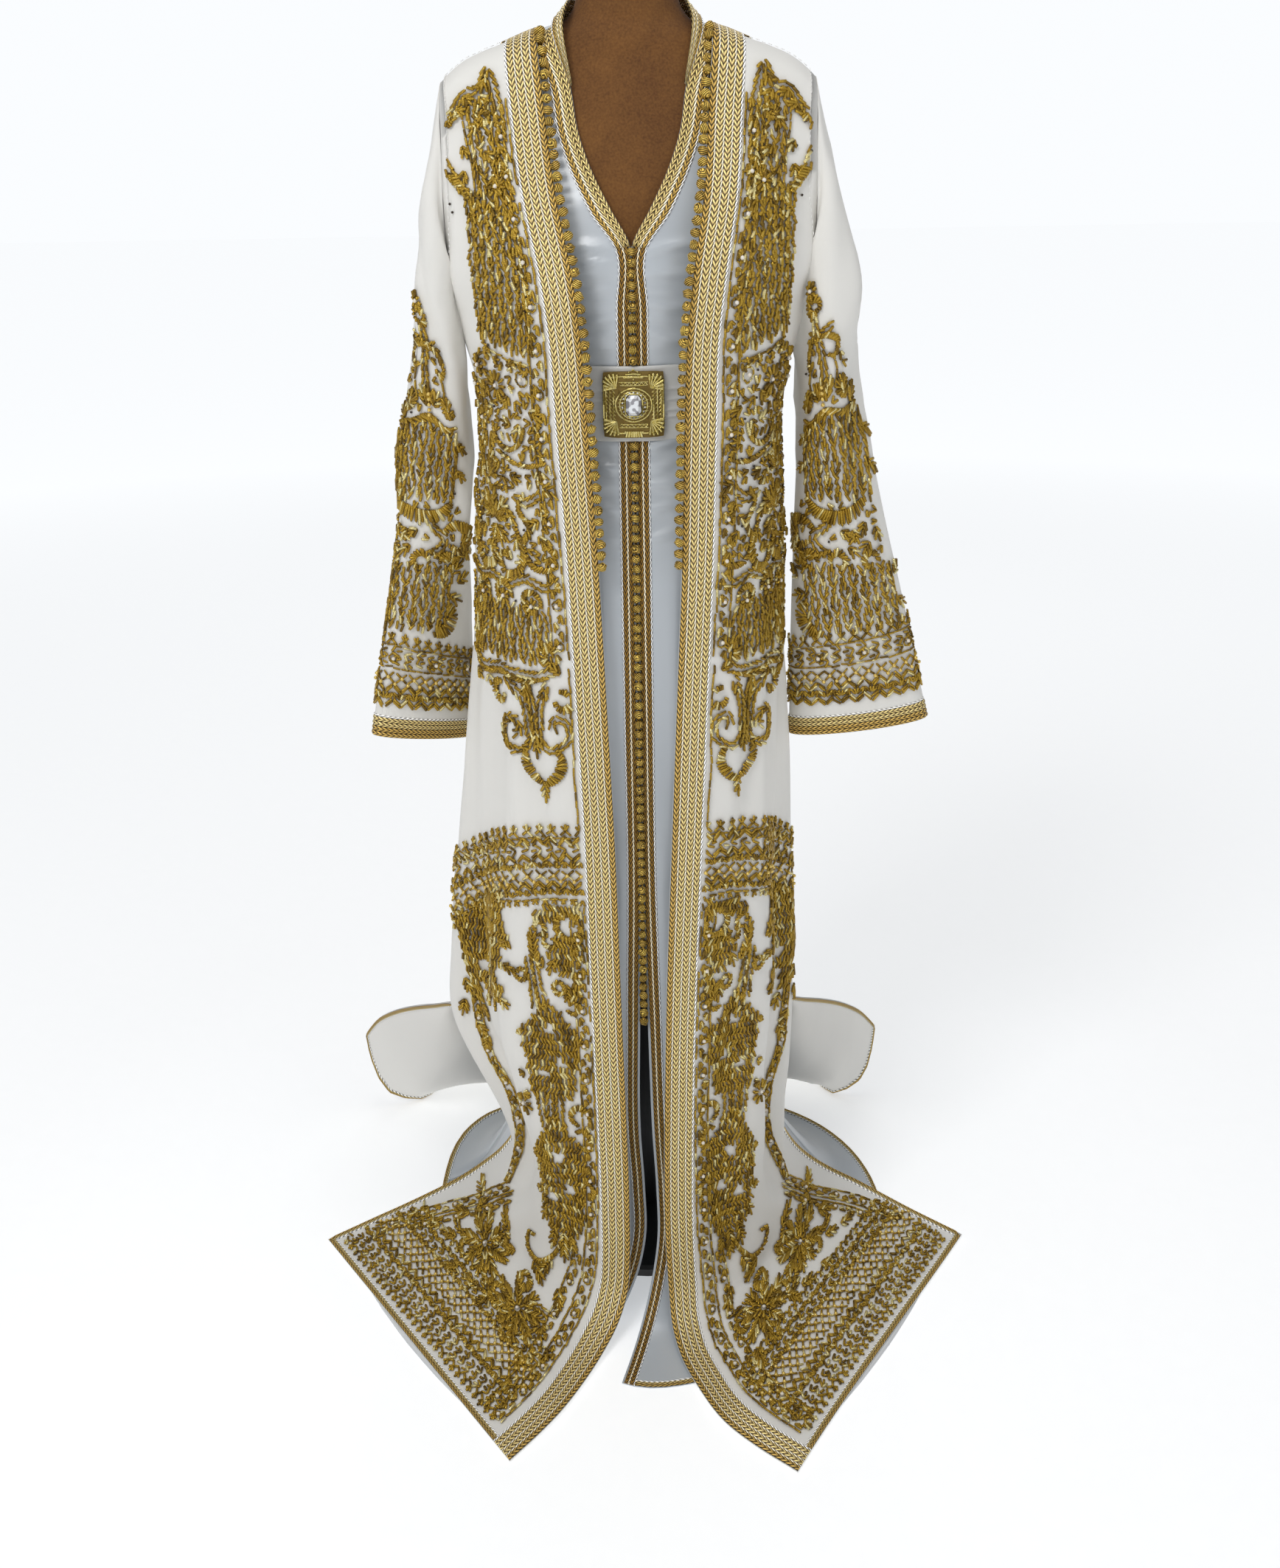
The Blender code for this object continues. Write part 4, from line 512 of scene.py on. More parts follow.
BACKWARD, FORWARD = (0.0, 1.0, 0.3), (0.0, -1.0, 0.3)
SATIN_STEP, SATIN_BACK_STEP = 0.0085, 0.0136
SATIN_ROW_STEP, CREASED_ROW_STEP = 0.0105, 0.0036
CREASED_ROWS = slice(7, 14)
UNEVEN_DEPTH = 0.25
SATIN_CREASES = [
    Crease((1.0, 8.05), (2.7, 7.60), 0.0052, 0.0043, 0.002),
    Crease((0.9, 8.24), (2.4, 8.02), 0.0045, 0.0032, -0.002),
    Crease((0.9, 8.42), (2.9, 8.36), 0.0056, 0.0046, 0.003),
    Crease((0.9, 8.66), (2.2, 8.68), 0.0045, 0.0029, 0.001),
    Crease((0.9, 8.86), (2.6, 8.92), 0.0056, 0.0043, -0.003),
    Crease((0.9, 9.12), (2.3, 9.26), 0.0050, 0.0035, 0.002),
    Crease((0.9, 9.38), (2.8, 9.56), 0.0060, 0.0041, -0.002),
    Crease((0.9, 9.66), (2.1, 9.72), 0.0050, 0.0026, 0.002),
    Crease((0.9, 12.18), (2.3, 12.05), 0.0052, 0.0047, 0.002),
    Crease((0.9, 12.66), (2.0, 12.50), 0.0050, 0.0055, -0.002),
    Crease((0.9, 13.00), (2.4, 13.12), 0.0056, 0.0047, 0.003),
    Crease((0.9, 13.46), (2.0, 13.36), 0.0050, 0.0051, 0.002),
    Crease((0.9, 13.90), (1.8, 13.76), 0.0056, 0.0035, -0.002),
    Crease((1.5, 14.05), (1.7, 16.0), 0.0110, 0.0049, 0.004),
    Crease((2.2, 12.9), (2.1, 15.4), 0.0120, 0.0049, -0.005),
    Crease((1.3, 15.9), (1.4, 20.5), 0.0120, 0.0058, 0.006),
    Crease((2.5, 16.5), (2.8, 22.0), 0.0150, 0.0058, -0.008),
    Crease((4.4, 13.2), (4.8, 20.5), 0.0180, 0.0052, 0.010),
]
SATIN_BACK_CREASES = [
    Crease((3.0, 9.0), (2.8, 19.0), 0.022, 0.0036, 0.012),
    Crease((5.6, 8.0), (5.8, 16.5), 0.018, 0.0030, -0.010),
    Crease((8.5, 8.4), (8.4, 18.0), 0.020, 0.0036, 0.010),
    Crease((11.0, 9.5), (11.5, 19.5), 0.022, 0.0030, -0.012),
]

inner_back = cloth_grid("inner_back", Vector(BACKWARD), (-0.16, 0.0, 1.44), (0.16, 0.0, 1.44))
fine, down, across = refined(inner_back, SATIN_BACK_STEP)
fine = creased((fine, outward_normals(fine, BACKWARD), down, across), SATIN_BACK_CREASES)
normals = outward_normals(fine, BACKWARD)
inner_back_cloth = (fine, normals, down, across)
made = shell("inner_dress_back", fine, fine - normals * SATIN)
piece(made, shaded_satin, "white_satin", "inner_back")

inner = {}
for side, side_name in SIDES:
    neck, tip = (side * 0.08, -0.02, 1.48), (side * 0.16, 0.0, 1.44)
    grid = cloth_grid("inner_front_" + side_name, Vector(FORWARD), neck, tip)
    steps_down = np.full(len(grid) - 1, SATIN_ROW_STEP)
    steps_down[CREASED_ROWS] = CREASED_ROW_STEP
    fine, down, across = refined(grid, steps_down, SATIN_STEP)
    uneven = []
    for i, crease in enumerate(SATIN_CREASES):
        depth = crease.depth * (1 + UNEVEN_DEPTH * side * (-1) ** i)
        uneven.append(crease._replace(depth=depth, bow=crease.bow * side))
    fine = creased((fine, outward_normals(fine, FORWARD), down, across), uneven)
    normals = outward_normals(fine, FORWARD)
    inner[side] = (fine, normals, down, across)
    made = shell("inner_dress_front_" + side_name, fine, fine - normals * SATIN)
    piece(made, shaded_satin, "white_satin", "inner_front_" + side_name)

# The inner dress's gold trim: flat braids of plaited gold rows between fine cream cords, sewn along
# the V of the neck, the stand collar, both sides of the buttons and the hem.

Row = namedtuple("Row", "width height colour plaited")
PALE_GOLD, OLD_GOLD, DARK_GOLD = (0.78, 0.57, 0.23), (0.56, 0.36, 0.09), (0.31, 0.17, 0.03)
CREAM_CORD, WHITE_CORD = (1.0, 0.90, 0.68), (0.95, 0.94, 0.92)
ROW_CUTS = (0.02, 0.16, 0.5, 0.84, 0.98)
BRAID_STEP = 0.0072
SEWN_LIFT, TAPE = 0.0004, 0.0005

NECK_ROWS = [
    Row(0.0050, 0.0015, PALE_GOLD, 1.0),
    Row(0.0048, 0.0013, PALE_GOLD, 1.0),
    Row(0.0022, 0.0011, CREAM_CORD, 0.0),
    Row(0.0052, 0.0013, OLD_GOLD, 1.0),
    Row(0.0018, 0.0008, WHITE_CORD, 0.0),
]
PLACKET_ROWS = [
    Row(0.0048, 0.0013, DARK_GOLD, 1.0),
    Row(0.0018, 0.0011, CREAM_CORD, 0.0),
    Row(0.0052, 0.0013, DARK_GOLD, 1.0),
    Row(0.0016, 0.0008, WHITE_CORD, 0.0),
]
HEM_ROWS = [
    Row(0.0036, 0.0013, OLD_GOLD, 1.0),
    Row(0.0034, 0.0012, PALE_GOLD, 1.0),
    Row(0.0018, 0.0008, WHITE_CORD, 0.0),
]


def twisted_threads():
    """Thread seen close: a herringbone plait where the mask is 1, and a twisted cord where it is 0."""
    group, inside, outside = surface_group("twisted_threads", "Plaited", "Pitch")

    def reckon(operation, a, b=0.0, c=0.0):
        return put(group, "Math", {0: a, 1: b, 2: c}, operation=operation).outputs[0]

    place = put(group, "SeparateXYZ", {0: inside.outputs["Vector"]})
    fold = reckon("ABSOLUTE", reckon("MULTIPLY_ADD", place.outputs["X"], 2.0, -1.0))
    aslant = reckon("SUBTRACT", fold, place.outputs["X"])
    slant = reckon("MULTIPLY_ADD", aslant, inside.outputs["Plaited"], place.outputs["X"])
    turns = reckon("DIVIDE", place.outputs["Y"], inside.outputs["Pitch"])
    wave = reckon("SINE", reckon("MULTIPLY", reckon("ADD", turns, slant), math.tau))
    ridge = reckon("MULTIPLY_ADD", wave, 0.5, 0.5)
    middle = put(group, "MapRange", {"Value": fold, "From Max": 0.22, "To Min": 0.35, "To Max": 1.0})
    deep = reckon("SUBTRACT", middle.outputs["Result"], 1.0)
    groove = reckon("MULTIPLY_ADD", deep, inside.outputs["Plaited"], 1.0)
    height = reckon("MULTIPLY", ridge, groove)
    # Painted shade and highlight: the shade darkens the colour in the grooves between turns and down the
    # plait's middle, and lifts it to nearly twice on the ridges.
    shade = reckon("MULTIPLY_ADD", height, 1.9, 0.06)
    group.links.new(height, outside.inputs["Height"])
    group.links.new(shade, outside.inputs["Shade"])
    return group


TWISTED_THREADS = twisted_threads()
PLAIT_PITCH = 0.0062


def thread_material(name, pitch, roughness, metal, relief=0.9):
    """Metallic thread: each row's own colour, with painted shade between its turns and a painted highlight on
    them.
    """
    made, tree, shader = material(name, PALE_GOLD, roughness)
    cut = put(tree, "TexCoord").outputs["UV"]
    tint = put(tree, "Attribute", attribute_name="thread")
    threads = put(tree, "Group", node_tree=TWISTED_THREADS)
    tree.links.new(cut, threads.inputs["Vector"])
    tree.links.new(tint.outputs["Alpha"], threads.inputs["Plaited"])
    threads.inputs["Pitch"].default_value = pitch
    lit = put(tree, "VectorMath", {0: tint.outputs["Color"], 1: threads.outputs["Shade"]},
              operation="MULTIPLY")
    tree.links.new(lit.outputs["Vector"], shader.inputs["Base Color"])
    metallic = put(tree, "Math", {0: tint.outputs["Alpha"], 1: metal}, operation="MULTIPLY")
    tree.links.new(metallic.outputs[0], shader.inputs["Metallic"])
    bump = put(tree, "Bump", {"Height": threads.outputs["Height"], "Strength": relief, "Distance": 0.0008})
    tree.links.new(bump.outputs["Normal"], shader.inputs["Normal"])
    return made


gold_thread = thread_material("gold_braid", PLAIT_PITCH, 0.42, 0.45)


def evenly(cloth, lines, step):
    """Lines of places on a cloth, cut into equal steps by the length of the line halfway between them."""
    lines = [np.array(line, float) for line in lines]
    count = len(lines[0])
    t = np.linspace(0, count - 1, 20 * (count - 1) + 1)
    dense = [np.stack([np.interp(t, range(count), line[:, k]) for k in (0, 1)], axis=1) for line in lines]
    middle, _ = on_cloth(cloth, sum(dense) / len(dense))
    reach = np.concatenate([[0.0], np.cumsum(np.linalg.norm(np.diff(middle, axis=0), axis=1))])
    even = np.interp(np.linspace(0.0, reach[-1], int(reach[-1] / step) + 1), reach, t)
    return [np.stack([np.interp(even, range(count), line[:, k]) for k in (0, 1)], axis=1) for line in lines]


def braid(name, cloth, outer, inner, rows, lift=SEWN_LIFT, tape=TAPE, step=BRAID_STEP):
    """A braid of thread rows between two lines of places on a cloth. Plaited rows are painted darker at their
    sides, as shade in the grooves between rows.
    """
    outer, inner = evenly(cloth, (outer, inner), step)
    total = sum(row.width for row in rows)
    start, shares, heights, places, tints = 0.0, [], [], [], []
    for row in rows:
        for f in ROW_CUTS:
            shares.append((start + row.width * f) / total)
            heights.append(row.height * math.sin(math.pi * f) ** 0.7)
            places.append(f)
            # Painted shade: plaited rows darken near their sides, where the grooves between rows are; cords
            # are a tenth lighter.
            wear_and_groove_shade = (0.12 if min(f, 1 - f) < 0.1 else 1.0) if row.plaited else 1.1
            tints.append((*(wear_and_groove_shade * part for part in row.colour), row.plaited))
        start += row.width
    shares = np.array(shares)[None, :, None]
    spots, normals = on_cloth(cloth, outer[:, None] * (1 - shares) + inner[:, None] * shares)
    top = spots + normals * (lift + tape + np.array(heights)[None, :, None])
    reach = lengths_along(spots[:, len(places) // 2, None], 0)
    u = np.tile(np.array(places), (len(top), 1))
    v = np.tile(reach[:, :1], (1, len(places)))
    tint = np.tile(np.array(tints)[None], (len(top), 1, 1))
    return shell(name, top, spots + normals * lift, u=u, v=v, tint=tint)


def down_column(first, last, column):
    """Places down a column, one for each row of the wall."""
    rows = [first, *range(math.floor(first) + 1, math.ceil(last)), last]
    return [(row, column) for row in rows]


INNER_V, INNER_BELT_TOP, INNER_BELT_FOOT, INNER_SLIT, INNER_HEM = 8, 10, 12, 17, 25
NECK_START, PLACKET_START = 1.5, 0.16
for side, side_name in SIDES:
    cloth = inner[side]
    made = braid("neck_braid_" + side_name, cloth, down_column(NECK_START, INNER_V, 0.0),
                 down_column(NECK_START, INNER_V, 1.0), NECK_ROWS)
    piece(made, gold_thread, "gold_braid", "inner_neck_braid_" + side_name)
    made = braid("placket_braid_" + side_name, cloth, down_column(INNER_V, INNER_HEM, PLACKET_START),
                 down_column(INNER_V, INNER_HEM, 1.0), PLACKET_ROWS)
    piece(made, gold_thread, "gold_braid", "inner_placket_" + side_name)
    last = round(cloth[3][-1])
    made = braid("inner_hem_braid_" + side_name, cloth, [(INNER_HEM, c) for c in range(1, last + 1)],
                 [(INNER_HEM - 1, c) for c in range(1, last + 1)], HEM_ROWS)
    piece(made, gold_thread, "gold_braid", "inner_hem_" + side_name)
columns = range(round(inner_back_cloth[3][-1]) + 1)
made = braid("inner_hem_braid_back", inner_back_cloth, [(INNER_HEM, c) for c in columns],
             [(INNER_HEM - 1, c) for c in columns], HEM_ROWS)
piece(made, gold_thread, "gold_braid", "inner_hem_back")

COLLAR_ROWS = [
    Row(0.0046, 0.0014, PALE_GOLD, 1.0),
    Row(0.0020, 0.0010, CREAM_CORD, 0.0),
    Row(0.0050, 0.0012, PALE_GOLD, 1.0),
    Row(0.0020, 0.0010, CREAM_CORD, 0.0),
    Row(0.0050, 0.0012, PALE_GOLD, 1.0),
    Row(0.0050, 0.0012, OLD_GOLD, 1.0),
    Row(0.0020, 0.0008, WHITE_CORD, 0.0),
]
COLLAR, COLLAR_STEP = 0.0012, 0.006
NECK_MIDDLE = np.array([0.0, 0.0, 1.4])
grid = cloth_grid("inner_collar", Vector((0.0, 1.0, -0.2)), (-0.03, -0.05, 1.50), (0.03, -0.05, 1.50))
fine, down, across = refined(grid, COLLAR_STEP)
collar_cloth = (fine, outward_normals(fine, fine - NECK_MIDDLE), down, across)
columns = range(round(across[-1]) + 1)
made = braid("stand_collar", collar_cloth, [(0, c) for c in columns], [(1, c) for c in columns],
             COLLAR_ROWS, -COLLAR, COLLAR + TAPE)
piece(made, gold_thread, "gold_braid", "inner_collar")

# The knotted silk buttons: small balls tied from gold cord, one string above the belt and one below
# it down to the slit, each ball passed through a loop of the other side.

KNOT_RADIUS = 0.0050
PLACKET_KNOT_PITCH = 0.0110
KNOT_COLOUR = (0.55, 0.36, 0.075)
KNOT_CORD, KNOT_SWELL = 0.006, 0.11
KNOT_STRETCH = np.array([1.06, 0.98, 0.96])


def ball_pattern(subdivisions):
    """The points and faces of a ball of radius 1, to be copied into strings and embroideries."""
    bpy.ops.object.select_all(action="DESELECT")
    bpy.ops.mesh.primitive_ico_sphere_add(subdivisions=subdivisions, radius=1.0, location=(0.0, 0.0, 0.0))
    pattern = bpy.context.object
    points = np.array([vert.co for vert in pattern.data.vertices])
    faces = np.array([list(face.vertices) for face in pattern.data.polygons])
    bpy.data.objects.remove(pattern)
    return points, faces


KNOT_POINTS, KNOT_FACES = ball_pattern(2)
swell = np.sin(4 * np.arctan2(KNOT_POINTS[:, 1], KNOT_POINTS[:, 0]) + 3 * KNOT_POINTS[:, 2])
KNOT_POINTS *= (1 + KNOT_SWELL * swell)[:, None]


def along_path(path, pitch):
    """Points one pitch apart down a path."""
    reach = np.concatenate([[0.0], np.cumsum(np.linalg.norm(np.diff(path, axis=0), axis=1))])
    count = int((reach[-1] - pitch * 0.5) / pitch) + 1
    places = (np.arange(count) + 0.5) * pitch
    return np.stack([np.interp(places, reach, path[:, k]) for k in range(3)], axis=1)


def knots(name, path, pitch, radius, seed):
    """A string of knotted balls along a path, each turned its own way."""
    centres = along_path(path, pitch)
    chance = np.random.default_rng(seed)
    points, faces = [], []
    for centre in centres:
        turn = np.array(Matrix.Rotation(chance.uniform(0, math.tau), 3, chance.normal(size=3).tolist()))
        ball = KNOT_POINTS * KNOT_STRETCH * radius * chance.uniform(0.95, 1.05)
        faces.append(KNOT_FACES + len(points) * len(KNOT_POINTS))
        points.append(ball @ turn.T + centre)
    round_ball = np.arctan2(KNOT_POINTS[:, 1], KNOT_POINTS[:, 0]) / math.tau * 2
    spread = np.tile(np.stack([round_ball, KNOT_POINTS[:, 2] * KNOT_CORD], axis=1), (len(centres), 1))
    colours = np.tile(np.array([*KNOT_COLOUR, 1.0]), (len(spread), 1))
    colours[:, :3] *= np.repeat(chance.uniform(0.8, 1.25, len(centres)), len(KNOT_POINTS))[:, None]
    return solid(name, np.concatenate(points), np.concatenate(faces).tolist(), spread, colours)


knot_thread = thread_material("knotted_cord", 0.0022, 0.38, 0.6)


def placket_path(first, last):
    """The line of the inner dress's buttons: midway between its front edges, and a little in front."""
    places = np.array(down_column(first, last, 0.0))
    (a, normal_a), (b, normal_b) = on_cloth(inner[-1], places), on_cloth(inner[1], places)
    lift = KNOT_RADIUS * 0.72 + SEWN_LIFT
    return (a + b) / 2 + (normal_a + normal_b) / 2 * lift


for part, first, last, seed in (("upper", INNER_V, INNER_BELT_TOP, 3),
                                ("lower", INNER_BELT_FOOT, INNER_SLIT, 4)):
    path = placket_path(first, last)
    made = knots("placket_knots_" + part, path, PLACKET_KNOT_PITCH, KNOT_RADIUS, seed)
    piece(made, knot_thread, "gold_braid", "inner_buttons_" + part)

# The belt: a stiff band of off-white leather cloth, with four fine tucks sewn along its middle. It
# closes in front, under the buckle.

BELT_RIM = 0.0034
BELT_CUTS_ACROSS, BELT_STEP_AROUND = 64, 0.006
TUCKS = (0.31, 0.45, 0.59, 0.68)
TUCK_HEIGHT, TUCK_WIDTH = 0.0016, 0.0030
BELT_THICKNESS = 0.0026
BELT_EDGE_TURN, BELT_EDGE_WIDTH = 0.0008, 0.0015


def tube_grid(node, first, rim=RIM):
    """A tube's outer side as rings of points, from the ring that lies nearest a place."""
    points, near, edge_near = outer_points(node, None, rim)
    left, rims = {index for index in near if edge_near[index]}, []
    while left:
        ring = [left.pop()]
        following = [index for index in edge_near[ring[-1]] if index in left]
        while following:
            ring.append(following[0])
            left.discard(following[0])
            following = [index for index in edge_near[ring[-1]] if index in left]
        rims.append(ring)
    middles = [np.mean([points[index] for index in ring], axis=0) for ring in rims]
    ring = rims[int(np.argmin([np.linalg.norm(middle - np.array(first)) for middle in middles]))]
    layer = steps_from(ring, near)
    rows = [ring]
    while len(rows) <= max(layer.values()):
        options = []
        for turn in (-1, 1):
            pairs = zip(rows[-1], rows[-1][turn:] + rows[-1][:turn])
            shared = [set(near[p]) & set(near[q]) for p, q in pairs]
            options.append([next(k for k in found if layer[k] == len(rows)) for found in shared])
        apart = []
        for option in options:
            apart.append(sum(np.linalg.norm(points[p] - points[q]) for p, q in zip(rows[-1], option)))
        rows.append(options[int(np.argmin(apart))])
    return np.array([[points[index] for index in row] for row in rows])


def refined_tube(grid, step_down, step_around):
    """A tube's rings with smooth ones put in, with the places of its old rings and columns."""
    around = np.concatenate([grid[:, -2:], grid, grid[:, :3]], axis=1)
    down = cuts(grid, step_down)
    places = cuts(around.transpose(1, 0, 2), step_around)
    places = places[(places >= 2) & (places < 2 + grid.shape[1])]
    fine = smooth_places(around, down)
    return smooth_places(fine.transpose(1, 0, 2), places).transpose(1, 0, 2), down, places - 2


grid = tube_grid("belt", (0.0, 0.0, 1.2), BELT_RIM)
ring, _, _ = refined_tube(grid, 1.0, BELT_STEP_AROUND)
across = np.linspace(0, len(ring) - 1, BELT_CUTS_ACROSS)
band = smooth_places(ring, across)
normals = outward_normals(band, None, closed=True)
share = np.linspace(0.0, 1.0, BELT_CUTS_ACROSS)[:, None]
belt_height = float(np.linalg.norm(band[0] - band[-1], axis=1).mean())
tucks = sum(np.exp(-(((share - tuck) * belt_height) / (TUCK_WIDTH / 2)) ** 2) for tuck in TUCKS)
edge = np.minimum(share, 1 - share) * belt_height
turned_edge = BELT_EDGE_TURN * (1 - np.clip(edge / BELT_EDGE_WIDTH, 0, 1) ** 2)
relief = TUCK_HEIGHT * tucks - turned_edge
made = shell("belt_band", band + normals * relief[..., None], band - normals * BELT_THICKNESS, closed=True)
leather = cloth_material("belt_leather", (0.66, 0.655, 0.635), 0.40, 500.0, 0.02, 0.12)
piece(made, leather, "belt_leather", "belt")

# The buckle: a cast and gilt clasp of pierced work round an oval dome, with a clear stone cut in
# steps at its middle. It hooks shut behind and stays closed.

BUCKLE_MIDDLE = 1.1017
BRASS, BRASS_LIGHT = (0.55, 0.43, 0.10), (0.80, 0.70, 0.32)
CRYSTAL_DARK, CRYSTAL_LIGHT = (0.28, 0.27, 0.29), (0.85, 0.87, 0.90)
PLATE_FRONT = -0.1135
SPARK, SPARK_LIFT = 0.0011, 1.3

brass, tree, shader = material("buckle_brass", BRASS, 0.28)
shader.inputs["Metallic"].default_value = 0.9
spot = put(tree, "TexCoord").outputs["Object"]
cast = put(tree, "TexNoise", {"Vector": spot, "Scale": 380.0, "Detail": 3.0})
dull = put(tree, "MapRange", {"Value": cast.outputs["Fac"], "To Min": 0.15, "To Max": 0.42})
tree.links.new(dull.outputs["Result"], shader.inputs["Roughness"])
tone = ramp(tree, cast.outputs["Fac"], BRASS, BRASS_LIGHT, 0.3, 0.7)
tree.links.new(tone, shader.inputs["Base Color"])
bump = put(tree, "Bump", {"Height": cast.outputs["Fac"], "Strength": 0.25, "Distance": 0.0004})
tree.links.new(bump.outputs["Normal"], shader.inputs["Normal"])

dark_brass, tree, shader = material("buckle_ground", (0.21, 0.14, 0.035), 0.42)
shader.inputs["Metallic"].default_value = 0.7
spot = put(tree, "TexCoord").outputs["Object"]
pits = put(tree, "TexNoise", {"Vector": spot, "Scale": 500.0, "Detail": 2.0})
ground = put(tree, "MapRange", {"Value": pits.outputs["Fac"], "To Min": 0.35, "To Max": 0.7})
tree.links.new(ground.outputs["Result"], shader.inputs["Roughness"])

crystal, tree, shader = material("crystal", (0.90, 0.92, 0.95), 0.03, {"IOR": 1.7, "Specular IOR Level": 0.9})
# The stone's colour is painted in light and dark patches: painted reflections for the flashes of its cut
# faces.
spot = put(tree, "TexCoord").outputs["Object"]
painted_flashes = put(tree, "TexNoise", {"Vector": spot, "Scale": 210.0, "Detail": 0.0})
shade = ramp(tree, painted_flashes.outputs["Fac"], CRYSTAL_DARK, CRYSTAL_LIGHT, 0.44, 0.56)
tree.links.new(shade, shader.inputs["Base Color"])

for name, finish in (("buckle", dark_brass), ("buckle_stone", crystal)):
    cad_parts[name].data.materials.clear()
    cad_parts[name].data.materials.append(finish)

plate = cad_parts["buckle"].data
corners = [vert.co for vert in plate.vertices]
plate_tree = BVHTree.FromPolygons(corners, [face.vertices for face in plate.polygons])


def on_plate(x, z, lift=0.0):
    """A place on the buckle's face, in millimetres across and up from its middle."""
    x, z = x / 1000, z / 1000 + BUCKLE_MIDDLE
    hit = plate_tree.ray_cast(Vector((x, -1.0, z)), Vector((0.0, 1.0, 0.0)))[0]
    return Vector((x, (hit.y if hit else PLATE_FRONT) - lift / 1000, z))


def bar(a, b, radius, tip=None):
    """A round bar between two places, thinner at its far end where a tip is given."""
    long = (b - a).length
    angle = (b - a).to_track_quat("Z", "Y").to_euler()
    end = radius if tip is None else tip
    bpy.ops.mesh.primitive_cone_add(vertices=6, radius1=radius, radius2=end, depth=long,
                                    location=(a + b) / 2, rotation=angle)


def run_of_bars(places, radius, lift=0.3):
    """Round bars end to end along places on the buckle's face."""
    spots = [on_plate(x, z, lift) for x, z in places]
    for a, b in zip(spots, spots[1:]):
        bar(a, b, radius)


def ball(x, z, radius, lift=0.4):
    """A small ball on the buckle's face."""
    bpy.ops.mesh.primitive_ico_sphere_add(subdivisions=1, radius=radius, location=on_plate(x, z, lift))


def ring_of(width, height, count, corner=2.0):
    """Places round an oval, or round a squarer shape where the corner is above 2."""
    places = []
    for i in range(count + 1):
        a = math.tau * i / count
        x, z = (math.copysign(abs(part) ** (2 / corner), part) for part in (math.cos(a), math.sin(a)))
        places.append((width * x, height * z))
    return places


bpy.ops.object.select_all(action="DESELECT")
ball(0.0, 27.0, 0.0012, 0.5)
relief = bpy.context.object
relief.name = "buckle_relief"
bpy.ops.object.mode_set(mode="EDIT")
run_of_bars(ring_of(32.0, 30.0, 40, 5.0), 0.0011, 0.2)
run_of_bars(ring_of(19.5, 17.5, 30), 0.0010, 0.5)
run_of_bars(ring_of(15.0, 14.5, 26), 0.0007, 0.6)
run_of_bars(ring_of(9.3, 11.8, 24, 4.0), 0.0010, 0.9)
for hand in (-1, 1):
    for x in (21.5, 25.5, 29.5):
        run_of_bars([(hand * x, z) for z in (-16, -8, 0, 8, 16)], 0.0007)
        for z in range(-14, 16, 4):
            run_of_bars([(hand * (x - 1.9), z - 1.8), (hand * (x + 1.0), z + 1.8)], 0.0005)
        ball(hand * x, 17.5, 0.0015)
    for up in (-1, 1):
        root = on_plate(hand * 18.5, up * 17.5, 0.6)
        for k in range(7):
            a = math.radians(45 + (k - 3) * 17)
            reach = 15.5 - 0.25 * (k - 3) ** 2
            x, z = 18.5 + reach * math.cos(a), 17.5 + reach * math.sin(a)
            far = on_plate(hand * min(31.5, x), up * min(31.5, z), 0.9)
            bar(root, far, 0.0006, 0.0019)
            bpy.ops.mesh.primitive_ico_sphere_add(subdivisions=1, radius=0.0020, location=far)
for up in (-1, 1):
    for z, reach in ((20.5, 14.0), (24.0, 15.5)):
        run_of_bars([(x, up * z) for x in np.linspace(-reach, reach, 7)], 0.0006)
    turning = [(x, up * (22.2 + (1.6 if i % 2 else -1.6))) for i, x in enumerate(np.linspace(-15, 15, 15))]
    run_of_bars(turning, 0.0005)
for k in range(24):
    a, b = math.tau * k / 24, math.tau * k / 24 + 0.13
    near, far = (10.5 * math.cos(a), 12.5 * math.sin(a)), (17.0 * math.cos(b), 15.5 * math.sin(b))
    run_of_bars([near, far], 0.0005, 0.4)
for z, half, thick in ((29.0, 10.0, 2.6), (32.0, 7.5, 2.4), (34.5, 4.5, 2.0)):
    run_of_bars([(-half, z), (0, z + 0.6), (half, z)], thick / 2000, 0.6)
    ball(-half, z, thick / 2000)
    ball(half, z, thick / 2000)
ball(0, 36.0, 0.0021, 0.6)
for x in np.linspace(-8.5, 8.5, 7):
    bar(on_plate(x * 0.8, -28.0, 0.8), on_plate(x, -34.0, 0.8), 0.0017)
run_of_bars([(-10, -29), (0, -30), (10, -29)], 0.0011, 0.8)
bpy.ops.object.mode_set(mode="OBJECT")
only(relief)
bpy.ops.object.transform_apply(location=True, rotation=True, scale=True)
bpy.ops.object.shade_smooth_by_angle(angle=math.radians(60))
piece(relief, brass, "buckle_brass")

bpy.ops.object.select_all(action="DESELECT")
ball(0.0, 13.4, SPARK, SPARK_LIFT)
sparks = bpy.context.object
sparks.name = "buckle_sparks"
bpy.ops.object.mode_set(mode="EDIT")
for k in range(1, 18):
    a = math.pi / 2 + math.tau * k / 18
    ball(12.2 * math.cos(a), 13.4 * math.sin(a), SPARK, SPARK_LIFT)
bpy.ops.object.mode_set(mode="OBJECT")
only(sparks)
bpy.ops.object.transform_apply(location=True, rotation=True, scale=True)
piece(sparks, crystal, "crystal")

# The outer robe: matt ivory crepe, a back with a train and two fronts open down the middle. It
# hangs from the shoulders, is slit at the sides below the knee and lies on the floor.

